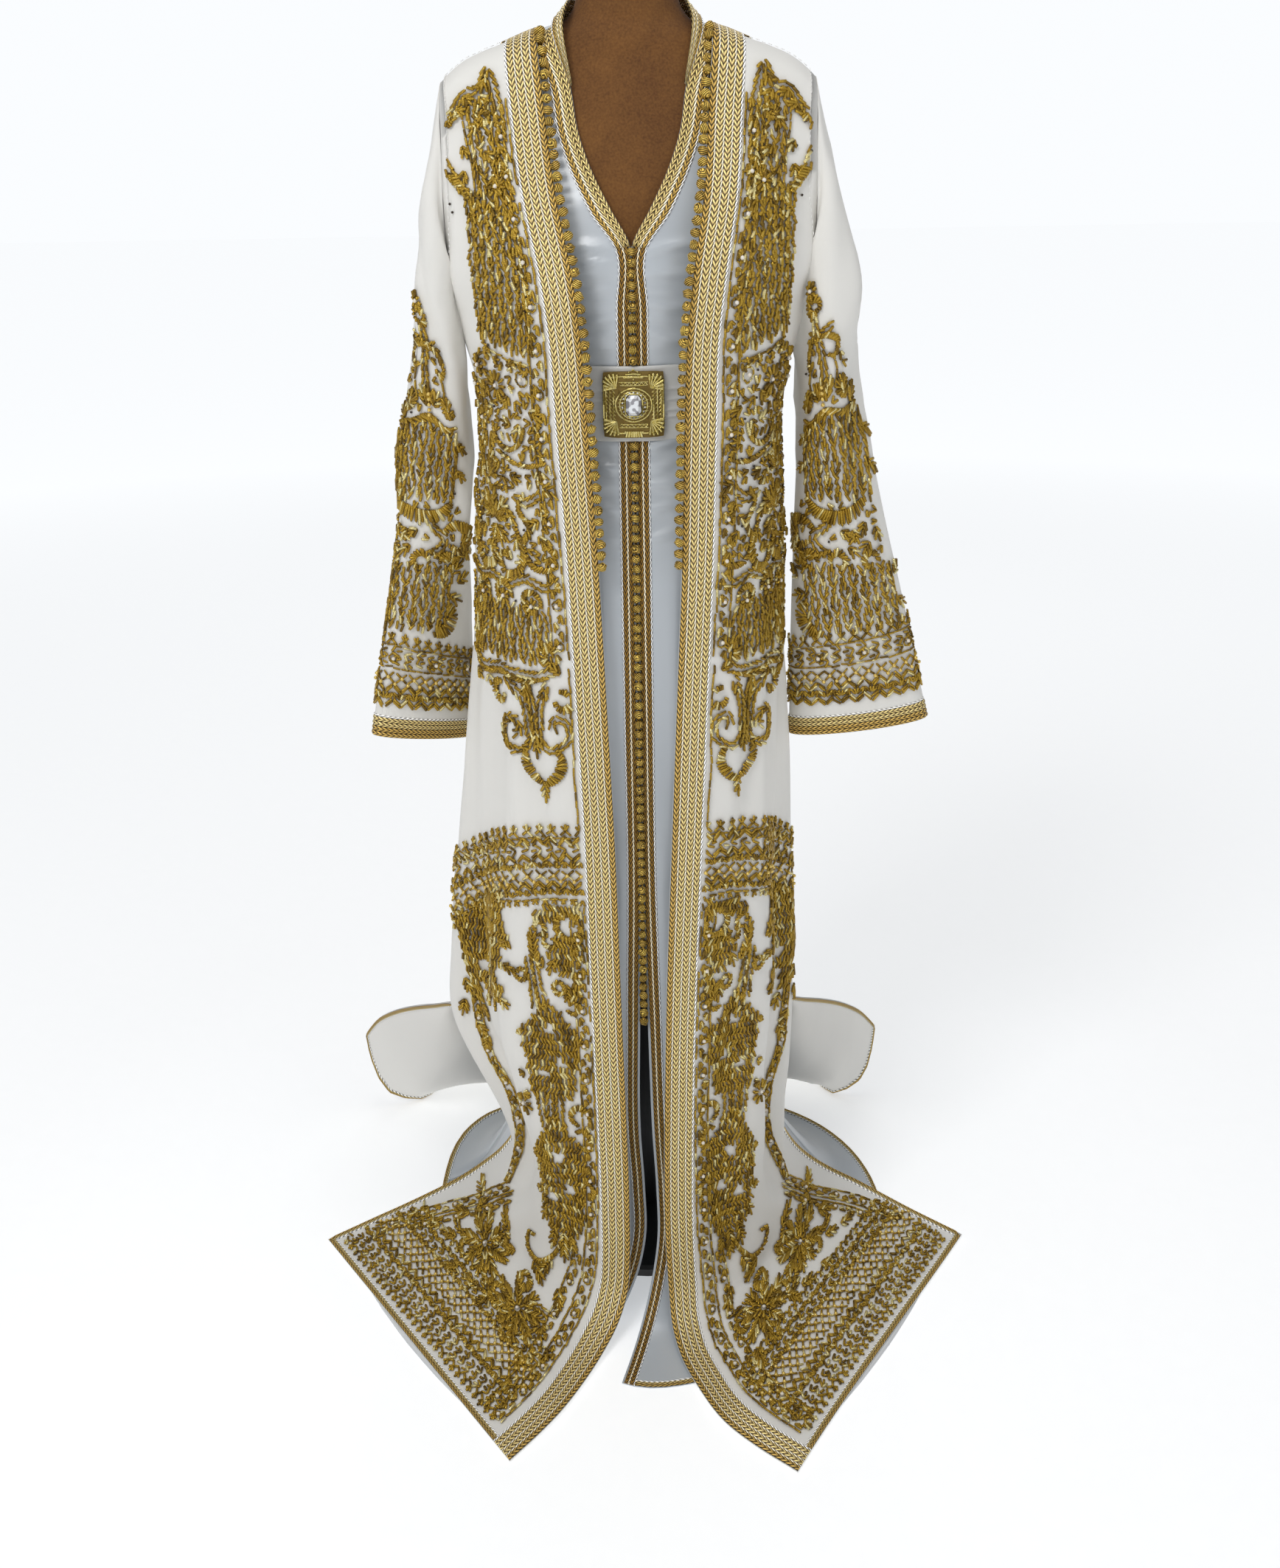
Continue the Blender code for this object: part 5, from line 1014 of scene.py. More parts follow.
CREPE = 0.0014
CREPE_STEP, CREPE_BACK_STEP = 0.0095, 0.01425
SLEEVE_STEP_DOWN, SLEEVE_STEP_AROUND = 0.0095, 0.0075
SEWN_ROWS, HEAD_KEPT, FRONT_KEPT = 8, 0.07, 0.02
FRONT_CREASES = [
    Crease((12.6, 3.4), (9.6, 5.0), 0.0100, 0.0041, 0.008),
    Crease((12.7, 4.6), (9.4, 6.0), 0.0110, 0.0046, 0.009),
    Crease((12.6, 6.7), (9.8, 7.3), 0.0090, 0.0041, 0.006),
    Crease((12.7, 7.2), (8.8, 7.8), 0.0100, 0.0046, -0.006),
    Crease((12.5, 7.7), (9.4, 8.2), 0.0090, 0.0035, 0.005),
    Crease((3.0, 8.7), (2.5, 10.0), 0.0100, 0.0049, 0.004),
    Crease((5.2, 8.5), (5.0, 10.3), 0.0120, 0.0068, 0.005),
    Crease((7.4, 8.6), (7.7, 10.2), 0.0120, 0.0059, -0.005),
    Crease((9.7, 8.9), (10.5, 10.6), 0.0130, 0.0076, 0.008),
    Crease((3.2, 10.7), (2.6, 13.0), 0.0120, 0.0059, -0.005),
    Crease((6.4, 10.5), (5.9, 12.8), 0.0140, 0.0081, 0.007),
    Crease((9.5, 10.6), (8.5, 13.4), 0.0150, 0.0088, 0.009),
    Crease((3.1, 13.0), (4.4, 16.4), 0.0110, 0.0062, 0.005),
    Crease((6.2, 13.3), (6.8, 16.4), 0.0120, 0.0068, -0.005),
    Crease((8.8, 14.0), (9.2, 16.8), 0.0120, 0.0062, 0.006),
    Crease((6.4, 17.0), (8.8, 19.4), 0.0100, 0.0046, 0.006),
    Crease((3.6, 17.4), (4.8, 20.0), 0.0100, 0.0041, -0.005),
]
BACK_CREASES = [
    Crease((3.0, 1.8), (8.2, 4.2), 0.014, 0.0035, 0.012),
    Crease((21.2, 1.6), (15.8, 4.0), 0.014, 0.0035, -0.012),
    Crease((2.6, 4.8), (8.6, 6.2), 0.012, 0.0030, 0.010),
    Crease((21.6, 5.0), (15.0, 6.5), 0.012, 0.0030, -0.010),
    Crease((7.0, 6.9), (5.8, 12.6), 0.022, 0.0070, 0.015),
    Crease((10.0, 6.0), (9.6, 11.2), 0.018, 0.0055, -0.010),
    Crease((12.4, 7.1), (12.7, 13.4), 0.024, 0.0070, 0.014),
    Crease((15.0, 6.2), (15.4, 11.6), 0.018, 0.0055, 0.010),
    Crease((17.6, 7.0), (18.8, 13.0), 0.022, 0.0070, -0.015),
]
SLEEVE_CREASES = {
    -1: [
        Crease((8.2, 0.6), (8.0, 4.6), 0.0150, 0.0114, 0.007),
        Crease((7.1, 0.8), (7.3, 3.4), 0.0100, 0.0074, -0.005),
        Crease((9.7, 0.9), (10.2, 5.0), 0.0150, 0.0096, 0.008),
        Crease((5.6, 0.5), (3.8, 3.0), 0.0150, 0.0070, 0.009),
        Crease((8.3, 4.8), (9.4, 7.6), 0.0150, 0.0074, -0.007),
        Crease((12.6, 1.2), (12.9, 5.0), 0.0163, 0.0088, -0.010),
        Crease((15.6, 0.9), (14.8, 5.6), 0.0175, 0.0096, 0.012),
        Crease((18.0, 2.6), (17.6, 6.8), 0.0150, 0.0079, -0.010),
    ],
    1: [
        Crease((9.9, 0.6), (9.8, 4.6), 0.0150, 0.0114, 0.007),
        Crease((11.1, 0.8), (10.7, 3.4), 0.0100, 0.0074, -0.005),
        Crease((8.3, 1.0), (8.0, 5.0), 0.0150, 0.0096, 0.008),
        Crease((13.0, 0.5), (14.6, 3.0), 0.0150, 0.0070, 0.009),
        Crease((9.4, 4.8), (8.5, 7.6), 0.0150, 0.0074, -0.007),
        Crease((5.8, 1.2), (5.4, 5.0), 0.0163, 0.0088, -0.010),
        Crease((2.4, 0.9), (3.2, 5.6), 0.0175, 0.0096, 0.012),
        Crease((18.6, 2.6), (18.9, 6.8), 0.0150, 0.0079, -0.010),
    ],
}

CREPE_COLOUR, CREPE_THREADS = (0.80, 0.785, 0.745), 1100.0
crepe = cloth_material("ivory_crepe", CREPE_COLOUR, 0.72, CREPE_THREADS, 0.02, 0.25, {"Sheen Weight": 0.15})

grid = cloth_grid("outer_back", Vector(BACKWARD), (-0.19, 0.0, 1.43), (0.19, 0.0, 1.43))
fine, down, across = refined(grid, CREPE_BACK_STEP)
fine = creased((fine, outward_normals(fine, BACKWARD), down, across), BACK_CREASES)
normals = outward_normals(fine, BACKWARD)
robe_back = (fine, normals, down, across)
made = shell("robe_back", fine, fine - normals * CREPE)
piece(made, crepe, "ivory_crepe", "outer_back")

robe = {}
for side, side_name in SIDES:
    neck, tip = (side * 0.09, -0.01, 1.48), (side * 0.19, 0.0, 1.43)
    grid = cloth_grid("outer_front_" + side_name, Vector(FORWARD), neck, tip)
    fine, down, across = refined(grid, CREPE_STEP)
    fine = creased((fine, outward_normals(fine, FORWARD), down, across), FRONT_CREASES, FRONT_KEPT)
    normals = outward_normals(fine, FORWARD)
    robe[side] = (fine, normals, down, across)
    made = shell("robe_front_" + side_name, fine, fine - normals * CREPE)
    piece(made, crepe, "ivory_crepe", "outer_front_" + side_name)


def sewn_to(tube, edges, rows, gap=0.0006):
    """A tube of points with its first rows drawn to the edges that its first ring is sewn to."""
    dense = []
    for edge in edges:
        t = np.linspace(0.0, len(edge) - 1, 12 * len(edge))
        dense.append(np.stack([np.interp(t, np.arange(len(edge)), edge[:, k]) for k in range(3)], axis=1))
    dense = np.concatenate(dense)
    apart = np.linalg.norm(tube[0][:, None] - dense[None], axis=2)
    nearest, reach = dense[apart.argmin(axis=1)], apart.min(axis=1)
    pull = (nearest - tube[0]) * (np.clip(1 - gap / (reach + 1e-9), 0.0, 1.0) * (reach < 0.015))[:, None]
    fading = np.clip(1 - np.arange(len(tube)) / rows, 0.0, 1.0) ** 1.5
    return tube + pull[None] * fading[:, None, None]


sleeves = {}
for side, side_name in SIDES:
    grid = tube_grid("outer_sleeve_" + side_name, (side * 0.2, 0.0, 1.3))
    fine, down, across = refined_tube(grid, SLEEVE_STEP_DOWN, SLEEVE_STEP_AROUND)
    fine = sewn_to(fine, (robe[side][0][:, -1], robe_back[0][:, 0], robe_back[0][:, -1]), SEWN_ROWS)
    plain = (fine, outward_normals(fine, None, closed=True), down, across)
    fine = creased(plain, SLEEVE_CREASES[side], keep_top=HEAD_KEPT)
    normals = outward_normals(fine, None, closed=True)
    sleeves[side] = (fine, normals, down, across)
    made = shell("robe_sleeve_" + side_name, fine, fine - normals * CREPE, closed=True)
    piece(made, crepe, "ivory_crepe", "outer_sleeve_" + side_name)

# The robe's gold trim: a broad braid of four plaited rows down each front edge and round the back
# of the neck, four rows round each cuff, and a narrow braid along the hem and up the side slits.

FRONT_ROWS = [
    Row(0.0070, 0.0015, OLD_GOLD, 1.0),
    Row(0.0018, 0.0011, CREAM_CORD, 0.0),
    Row(0.0070, 0.0014, PALE_GOLD, 1.0),
    Row(0.0018, 0.0011, CREAM_CORD, 0.0),
    Row(0.0070, 0.0014, PALE_GOLD, 1.0),
    Row(0.0018, 0.0011, CREAM_CORD, 0.0),
    Row(0.0070, 0.0014, PALE_GOLD, 1.0),
    Row(0.0022, 0.0010, WHITE_CORD, 0.0),
]
CUFF_ROWS = [
    Row(0.0018, 0.0009, WHITE_CORD, 0.0),
    Row(0.0060, 0.0013, PALE_GOLD, 1.0),
    Row(0.0060, 0.0013, PALE_GOLD, 1.0),
    Row(0.0060, 0.0013, OLD_GOLD, 1.0),
    Row(0.0060, 0.0014, OLD_GOLD, 1.0),
]
ROBE_SLIT, ROBE_BUTTONS_END, ROBE_HEM, BACK_HEM = 12, 8, 25, 23


def hem_and_slits(hem, last, both=False):
    """The outer and the inner line of the braid along a hem and up one side slit, or up both."""
    columns, rows = range(1, last), range(hem - 1, ROBE_SLIT - 1, -1)
    outer = [(hem, c) for c in columns] + [(hem, last - 0.5), (hem, last), (hem - 0.5, last)]
    outer += [(r, last) for r in rows]
    within = [(hem - 1, c) for c in columns] + [(hem - 1, last - 1)] * 3 + [(r, last - 1) for r in rows]
    if both:
        outer = [(r, 0) for r in reversed(rows)] + [(hem - 0.5, 0), (hem, 0), (hem, 0.5)] + outer
        within = [(r, 1) for r in reversed(rows)] + [(hem - 1, 1)] * 3 + within
    return outer, within


for side, side_name in SIDES:
    cloth = robe[side]
    made = braid("front_braid_" + side_name, cloth, down_column(0.0, ROBE_HEM, 0.0),
                 down_column(0.0, ROBE_HEM, 1.0), FRONT_ROWS)
    piece(made, gold_thread, "gold_braid", "outer_braid_" + side_name)
    outer, within = hem_and_slits(ROBE_HEM, round(cloth[3][-1]))
    made = braid("hem_braid_" + side_name, cloth, outer, within, HEM_ROWS)
    piece(made, gold_thread, "gold_braid", "outer_hem_" + side_name)

last = round(robe_back[3][-1])
outer, within = hem_and_slits(BACK_HEM, last, both=True)
made = braid("hem_braid_back", robe_back, outer, within, HEM_ROWS)
piece(made, gold_thread, "gold_braid", "outer_hem_back")
sheet, normals, down, across = robe_back
inside_of_back = (sheet - normals * CREPE, -normals, down, across)
made = braid("hem_braid_back_inside", inside_of_back, outer, within, HEM_ROWS)
piece(made, gold_thread, "gold_braid")

NECK_CORNER = 4
columns = range(NECK_CORNER, last - NECK_CORNER + 1)
made = braid("neck_band", robe_back, [(0.0, c) for c in columns], [(2.0, c) for c in columns], FRONT_ROWS)
piece(made, gold_thread, "gold_braid", "outer_neck_band")

CUFF_SHARE, SLEEVE_COLUMNS = 0.026 / 0.066, 20
for side, side_name in SIDES:
    sheet, normals, down, across = sleeves[side]
    sheet, normals = (np.concatenate([part, part[:, :1]], axis=1) for part in (sheet, normals))
    around = (sheet, normals, down, np.append(across, float(SLEEVE_COLUMNS)))
    end = round(down[-1])
    columns = range(SLEEVE_COLUMNS + 1)
    made = braid("cuff_braid_" + side_name, around, [(end - CUFF_SHARE, c) for c in columns],
                 [(end, c) for c in columns], CUFF_ROWS)
    piece(made, gold_thread, "gold_braid", "outer_cuff_" + side_name)

# The robe's buttons: the same knotted balls, sewn side by side along each front edge from the
# neck to below the belt.

ROBE_KNOT_PITCH, ROBE_KNOT_RADIUS = 0.0122, KNOT_RADIUS * 1.04
ROBE_KNOT_OUT, ROBE_KNOT_LIFT = 0.0042, 0.0024

for side, side_name in SIDES:
    places = np.array(down_column(NECK_START, ROBE_BUTTONS_END, 0.0))
    edge, normals = on_cloth(robe[side], places)
    beside, _ = on_cloth(robe[side], places + np.array([0.0, 1.0]))
    inward = (edge - beside) / np.linalg.norm(edge - beside, axis=1, keepdims=True)
    path = edge + inward * ROBE_KNOT_OUT + normals * ROBE_KNOT_LIFT
    made = knots("front_knots_" + side_name, path, ROBE_KNOT_PITCH, ROBE_KNOT_RADIUS, 5 + side)
    piece(made, knot_thread, "gold_braid", "outer_buttons_" + side_name)

# The robe's embroidery: short tubes of gold bullion couched down one by one, with pearls, gold beads
# and dark sequins between them. It is laid out in millimetres: across from the front braid, and down
# beside it from the shoulder. Places counted from the side edge are written as EDGE less the distance.

EDGE = 10000.0
BULLION, PEARL, SEQUIN, GOLD_BEAD = 0, 1, 2, 3
BULLION_WIDTH, BULLION_LENGTH, THREAD_WIDTH = 3.6, 11.0, 0.9
# Painted light in the bullion's tones: the darkest stands for grains in shade and the brightest for glints;
# the other two are the bullion's own golds.
BULLION_TONES_SHADE_AND_GLINT = [(0.46, 0.29, 0.030), (0.36, 0.215, 0.018), (0.19, 0.11, 0.010), (0.92, 0.74, 0.32)]
BULLION_SHARES = (0.42, 0.31, 0.15, 0.12)
BEAD_TONES = {PEARL: (0.82, 0.76, 0.66, 0.0), SEQUIN: (0.02, 0.013, 0.008, 0.2),
              GOLD_BEAD: (0.80, 0.58, 0.16, 1.0)}
BEAD_SIZES = {PEARL: 0.0026, SEQUIN: 0.0016, GOLD_BEAD: 0.0026}
COUCHED_LIFT, PILE_HEIGHT = 0.0003, 0.0010
PETAL_WIDTH, RING_WIDTH, NET_WIDTH, LINE_WIDTH = 4.2, 2.4, 3.2, 2.7
BAND_SHARE = 0.92
GRAIN_SIDES, GRAIN_STATIONS = 5, (0.0, 0.12, 0.88, 1.0)
CLEAR_OF_EDGE = 0.0095

chance = np.random.default_rng(11)


def curve(points, pitch):
    """Even places on a smooth curve through some points, the curve's heading at each, and their pitch."""
    points = np.array(points, float)
    dense = smooth_places(points[:, None], np.linspace(0, len(points) - 1, 24 * (len(points) - 1) + 1))[:, 0]
    reach = np.concatenate([[0.0], np.cumsum(np.linalg.norm(np.diff(dense, axis=0), axis=1))])
    count = max(1, round(reach[-1] / pitch))
    at = (np.arange(count) + 0.5) * reach[-1] / count

    def there(where):
        return np.stack([np.interp(where, reach, dense[:, k]) for k in (0, 1)], axis=1)

    heading = there(at + 0.3) - there(at - 0.3)
    return there(at), heading / np.linalg.norm(heading, axis=1, keepdims=True), reach[-1] / count


def grain(work, x, y, angle, length=BULLION_LENGTH, width=BULLION_WIDTH):
    """One tube of bullion from a place, laid at an angle, with the small errors of hand work."""
    angle += chance.normal(0.0, 0.08)
    length *= chance.uniform(0.88, 1.1)
    ends = (x, y, x + math.cos(angle) * length, y + math.sin(angle) * length)
    work.append((*ends, width * chance.uniform(0.88, 1.1), BULLION))


def bead(work, x, y, kind):
    """One bead, pearl or sequin."""
    work.append((x, y, x, y, 1.0, kind))


def line(work, points, length=BULLION_LENGTH, width=2.8):
    """Tubes laid end to end along a curve."""
    places, headings, step = curve(points, length * 0.86)
    for (x, y), (a, b) in zip(places, headings):
        grain(work, x - a * length / 2, y - b * length / 2, math.atan2(b, a), length, width)


def cord(work, points, width, lean=0.85, pitch=3.2):
    """A thick band worked with tubes side by side, leaning across a curve, shorter at its ends."""
    places, headings, _ = curve(points, pitch)
    for i, ((x, y), (a, b)) in enumerate(zip(places, headings)):
        long = max(6.5, 1.3 * width * math.sin(math.pi * (i + 0.7) / (len(places) + 0.4)) ** 0.4)
        angle = math.atan2(b, a) + lean
        grain(work, x - math.cos(angle) * long / 2, y - math.sin(angle) * long / 2, angle, long)


def chain(work, points, spread=0.33, length=BULLION_LENGTH, pitch=7.2, off=1.8):
    """Two rows of tubes that lean against each other along a curve, like the links of a chain."""
    places, headings, _ = curve(points, pitch)
    for (x, y), (a, b) in zip(places, headings):
        angle = math.atan2(b, a)
        for hand in (-1, 1):
            ahead, aside = pitch * 0.25 * hand - length / 2, off * hand
            grain(work, x - b * aside + a * ahead, y + a * aside + b * ahead, angle + spread * hand, length)


def leaf(work, x, y, angle, length, width, pitch=4.8):
    """A leaf: tubes in pairs from its rib, shorter towards both ends, and one at its tip."""
    width = max(width * 1.2, 10.5)
    tip = min(length * 0.55, BULLION_LENGTH * 1.15)
    rib = length - tip
    count = max(1, round(rib / pitch))
    a, b = math.cos(angle), math.sin(angle)
    for i in range(count):
        t = (i + 0.15) / count
        long = width * (0.72 + 0.42 * math.sin(math.pi * (0.2 + 0.6 * t)))
        for hand in (-1, 1):
            grain(work, x + a * rib * t, y + b * rib * t, angle + (0.66 - 0.16 * t) * hand, long)
    grain(work, x + a * rib, y + b * rib, angle, tip)


def leaves(work, length, width, places):
    """Leaves of one size, each at its own place and heading."""
    for x, y, angle in places:
        leaf(work, x, y, angle, length, width)


def tuft(work, x, y, angle, count, spread, length=9.5):
    """Tubes that fan out from one place."""
    for i in range(count):
        share = i / (count - 1) - 0.5 if count > 1 else 0.0
        grain(work, x, y, angle + spread * share, length * (1 - 0.35 * abs(share)))


def flower(work, x, y, radius, petals, turn=0.0):
    """A round flower: a fat tube for each petal, and a pearl in the middle."""
    start = radius * 0.3
    for i in range(petals):
        angle = turn + math.tau * i / petals
        place = x + math.cos(angle) * start, y + math.sin(angle) * start
        grain(work, *place, angle, radius * 0.8, PETAL_WIDTH)
    bead(work, x, y, PEARL)


def ring(work, x, y, radius=5.2, count=7, middle=PEARL):
    """Tubes laid round a bead."""
    long = math.tau * radius / count * 1.15
    for i in range(count):
        turn = math.tau * i / count
        place = x + radius * math.cos(turn), y + radius * math.sin(turn)
        grain(work, *place, turn + math.pi / 2 + 0.4, long, RING_WIDTH)
    bead(work, x, y, middle)


def spiral(x, y, radius, start, turns, end=0.35):
    """Points of a spiral that winds in from its rim."""
    count = max(5, int(abs(turns) * 9))
    t = np.linspace(0.0, 1.0, count)
    r = radius * (1 - (1 - end) * t)
    angles = start + math.tau * turns * t
    return list(zip(x + r * np.cos(angles), y + r * np.sin(angles)))


def beside(points, off):
    """A line of places at a distance from another line."""
    points = np.array(points, float)
    heading = np.gradient(points, axis=0)
    heading /= np.linalg.norm(heading, axis=1, keepdims=True)
    return points + np.stack([-heading[:, 1], heading[:, 0]], axis=1) * off


def vine(work, points, half=10.0, pitch=10.0, rails=(-1, 1)):
    """A border: leaves that lean to each side in turn between two rails, and here and there a ring."""
    for hand in rails:
        line(work, beside(points, half * hand))
    places, headings, _ = curve(points, pitch)
    for i, ((x, y), (a, b)) in enumerate(zip(places, headings)):
        hand = 1 if i % 2 else -1
        heading = math.atan2(b, a)
        if i % 5 == 4:
            ring(work, x, y, min(5.2, half * 0.6))
        else:
            x, y = x + b * half * 0.45 * hand, y - a * half * 0.45 * hand
            for turn, long in ((-0.1, 12.5), (0.3, 10.5), (0.72, 8.0)):
                grain(work, x, y, heading + turn * hand, long)


def lattice(work, top, foot, count, wave=1.6):
    """Wavy chains side by side from one line of places down to another."""
    top, foot = np.array(top, float), np.array(foot, float)
    for i in range(count):
        f = i / (count - 1)
        a = [np.interp(f * (len(top) - 1), range(len(top)), top[:, k]) for k in (0, 1)]
        b = [np.interp(f * (len(foot) - 1), range(len(foot)), foot[:, k]) for k in (0, 1)]
        cuts_down = max(3, int((b[1] - a[1]) / 15))
        path = []
        for j in range(cuts_down + 1):
            t = j / cuts_down
            bend = wave if (i + j) % 2 else -wave
            path.append((a[0] + (b[0] - a[0]) * t + bend, a[1] + (b[1] - a[1]) * t))
        chain(work, path, 0.38)


def inside(x, y, outline):
    """Whether a place lies inside a closed outline."""
    found = False
    for (ax, ay), (bx, by) in zip(outline, outline[1:] + outline[:1]):
        if (ay > y) != (by > y) and x < (bx - ax) * (y - ay) / (by - ay) + ax:
            found = not found
    return found


def filled(work, outline, holes=(), across=4.7, down=7.4, angle=math.pi / 2):
    """An outline filled with tubes in rows that lean left and right in turn, but for some round holes."""
    xs, ys = [x for x, _ in outline], [y for _, y in outline]
    for row, y in enumerate(np.arange(min(ys) + 2, max(ys), down)):
        for x in np.arange(min(xs) + (row % 2) * across / 2, max(xs), across):
            clear = all((x - a) ** 2 + (y - b) ** 2 > (r + 2.5) ** 2 for a, b, r in holes)
            if clear and inside(x, y, outline):
                lean = angle + 0.3 * math.sin(x * 0.09 + y * 0.03) + (0.34 if row % 2 else -0.34)
                grain(work, x - math.cos(lean) * 5, y - math.sin(lean) * 5, lean)


def sprigs(work, outline, gap=8.5):
    """Small pairs of tubes wherever an outline still has more than a gap of bare cloth."""
    spots = np.array([((a + c) / 2, (b + d) / 2) for a, b, c, d, *_ in work])
    xs, ys = [x for x, _ in outline], [y for _, y in outline]
    for y in np.arange(min(ys), max(ys), 4.5):
        for x in np.arange(min(xs), max(xs), 4.5):
            if inside(x, y, outline) and np.hypot(spots[:, 0] - x, spots[:, 1] - y).min() > gap:
                angle = chance.uniform(0.0, math.tau)
                for turn in (-0.35, 0.35):
                    grain(work, x - math.cos(angle) * 5, y - math.sin(angle) * 5, angle + turn, 10.0)
                spots = np.concatenate([spots, [(x, y)]])


def sequins(work, count, low, high):
    """A scatter of dark sequins."""
    for _ in range(count):
        bead(work, chance.uniform(low[0], high[0]), chance.uniform(low[1], high[1]), SEQUIN)


def band(work, edge, first, last, rows, side=1, stretch=lambda u: 1.0):
    """Rows of stitches beside an edge line. Each row is a kind of stitch, its distance and its step.

    Where the cloth spreads, its stretch says how much longer it is there than beside the front braid.
    """
    def at(u, off):
        return u, edge(u) + side * off / stretch(u)

    down, up, start = math.pi / 2 * side, -math.pi / 2 * side, len(work)
    for kind, off, step in rows:
        for i, u in enumerate(np.arange(first, last, step)):
            if kind == "tufts":
                tuft(work, *at(u, off), up, 3, 1.3, 9.0)
                for hand in (-1, 1):
                    grain(work, *at(u, off), down + 0.85 * hand, 9.0)
            elif kind == "drops":
                tuft(work, *at(u, off), down, 2, 0.8, 9.5)
                grain(work, *at(u - step / 2, off), 0.12, step)
            elif kind == "line":
                grain(work, *at(u, off), 0.0, step * 1.15, LINE_WIDTH)
            elif kind == "zigzag":
                rise = -4 if i % 2 else 4
                low, high = at(u, off - rise), at(u + step, off + rise)
                angle = math.atan2(high[1] - low[1], high[0] - low[0])
                for shift in (-1.6, 1.6):
                    grain(work, low[0], low[1] + shift, angle, math.hypot(step, 8) * 1.05)
            elif kind == "fans":
                tuft(work, *at(u, off + (4 if i % 2 else -4)), up if i % 2 else down, 4, 1.9, 9.0)
            elif kind == "net":
                for hand in (-1, 1):
                    for way in (-1, 1):
                        reach = math.hypot(step / 2, 7) * 0.92
                        grain(work, *at(u, off), math.atan2(7 * way, step / 2 * hand), reach, NET_WIDTH)
                bead(work, *at(u, off), GOLD_BEAD)
                bead(work, *at(u + step / 2, off + 7), GOLD_BEAD)
            elif kind == "leaves":
                leaf(work, *at(u, off), 0.3 if i % 2 else -0.3, step * 0.95, 8.5)
    for i, (*ends, width, kind) in enumerate(work[start:], start):
        work[i] = (*ends, width * (1.0 if kind else BAND_SHARE), kind)


def ovals(work, middle, top, foot, half):
    """A filled field with a gently scalloped outline and three small holes."""
    y, outline = (top + foot) / 2, []
    for i in range(28):
        a = math.tau * i / 28
        reach = 1.0 + 0.09 * math.cos(5 * a)
        outline.append((middle + half * reach * math.sin(a), y - (foot - top) / 2 * reach * math.cos(a)))
    filled(work, outline, ((middle, y - 34, 4), (middle - 12, y + 10, 4), (middle + 12, y + 26, 4)))
    for x, z, angle in ((half, -22, -0.9), (half, 30, 0.6), (-half, -18, 4.0), (-half, 36, 2.6)):
        tuft(work, middle + x, y + z, angle, 4, 1.6, 10)


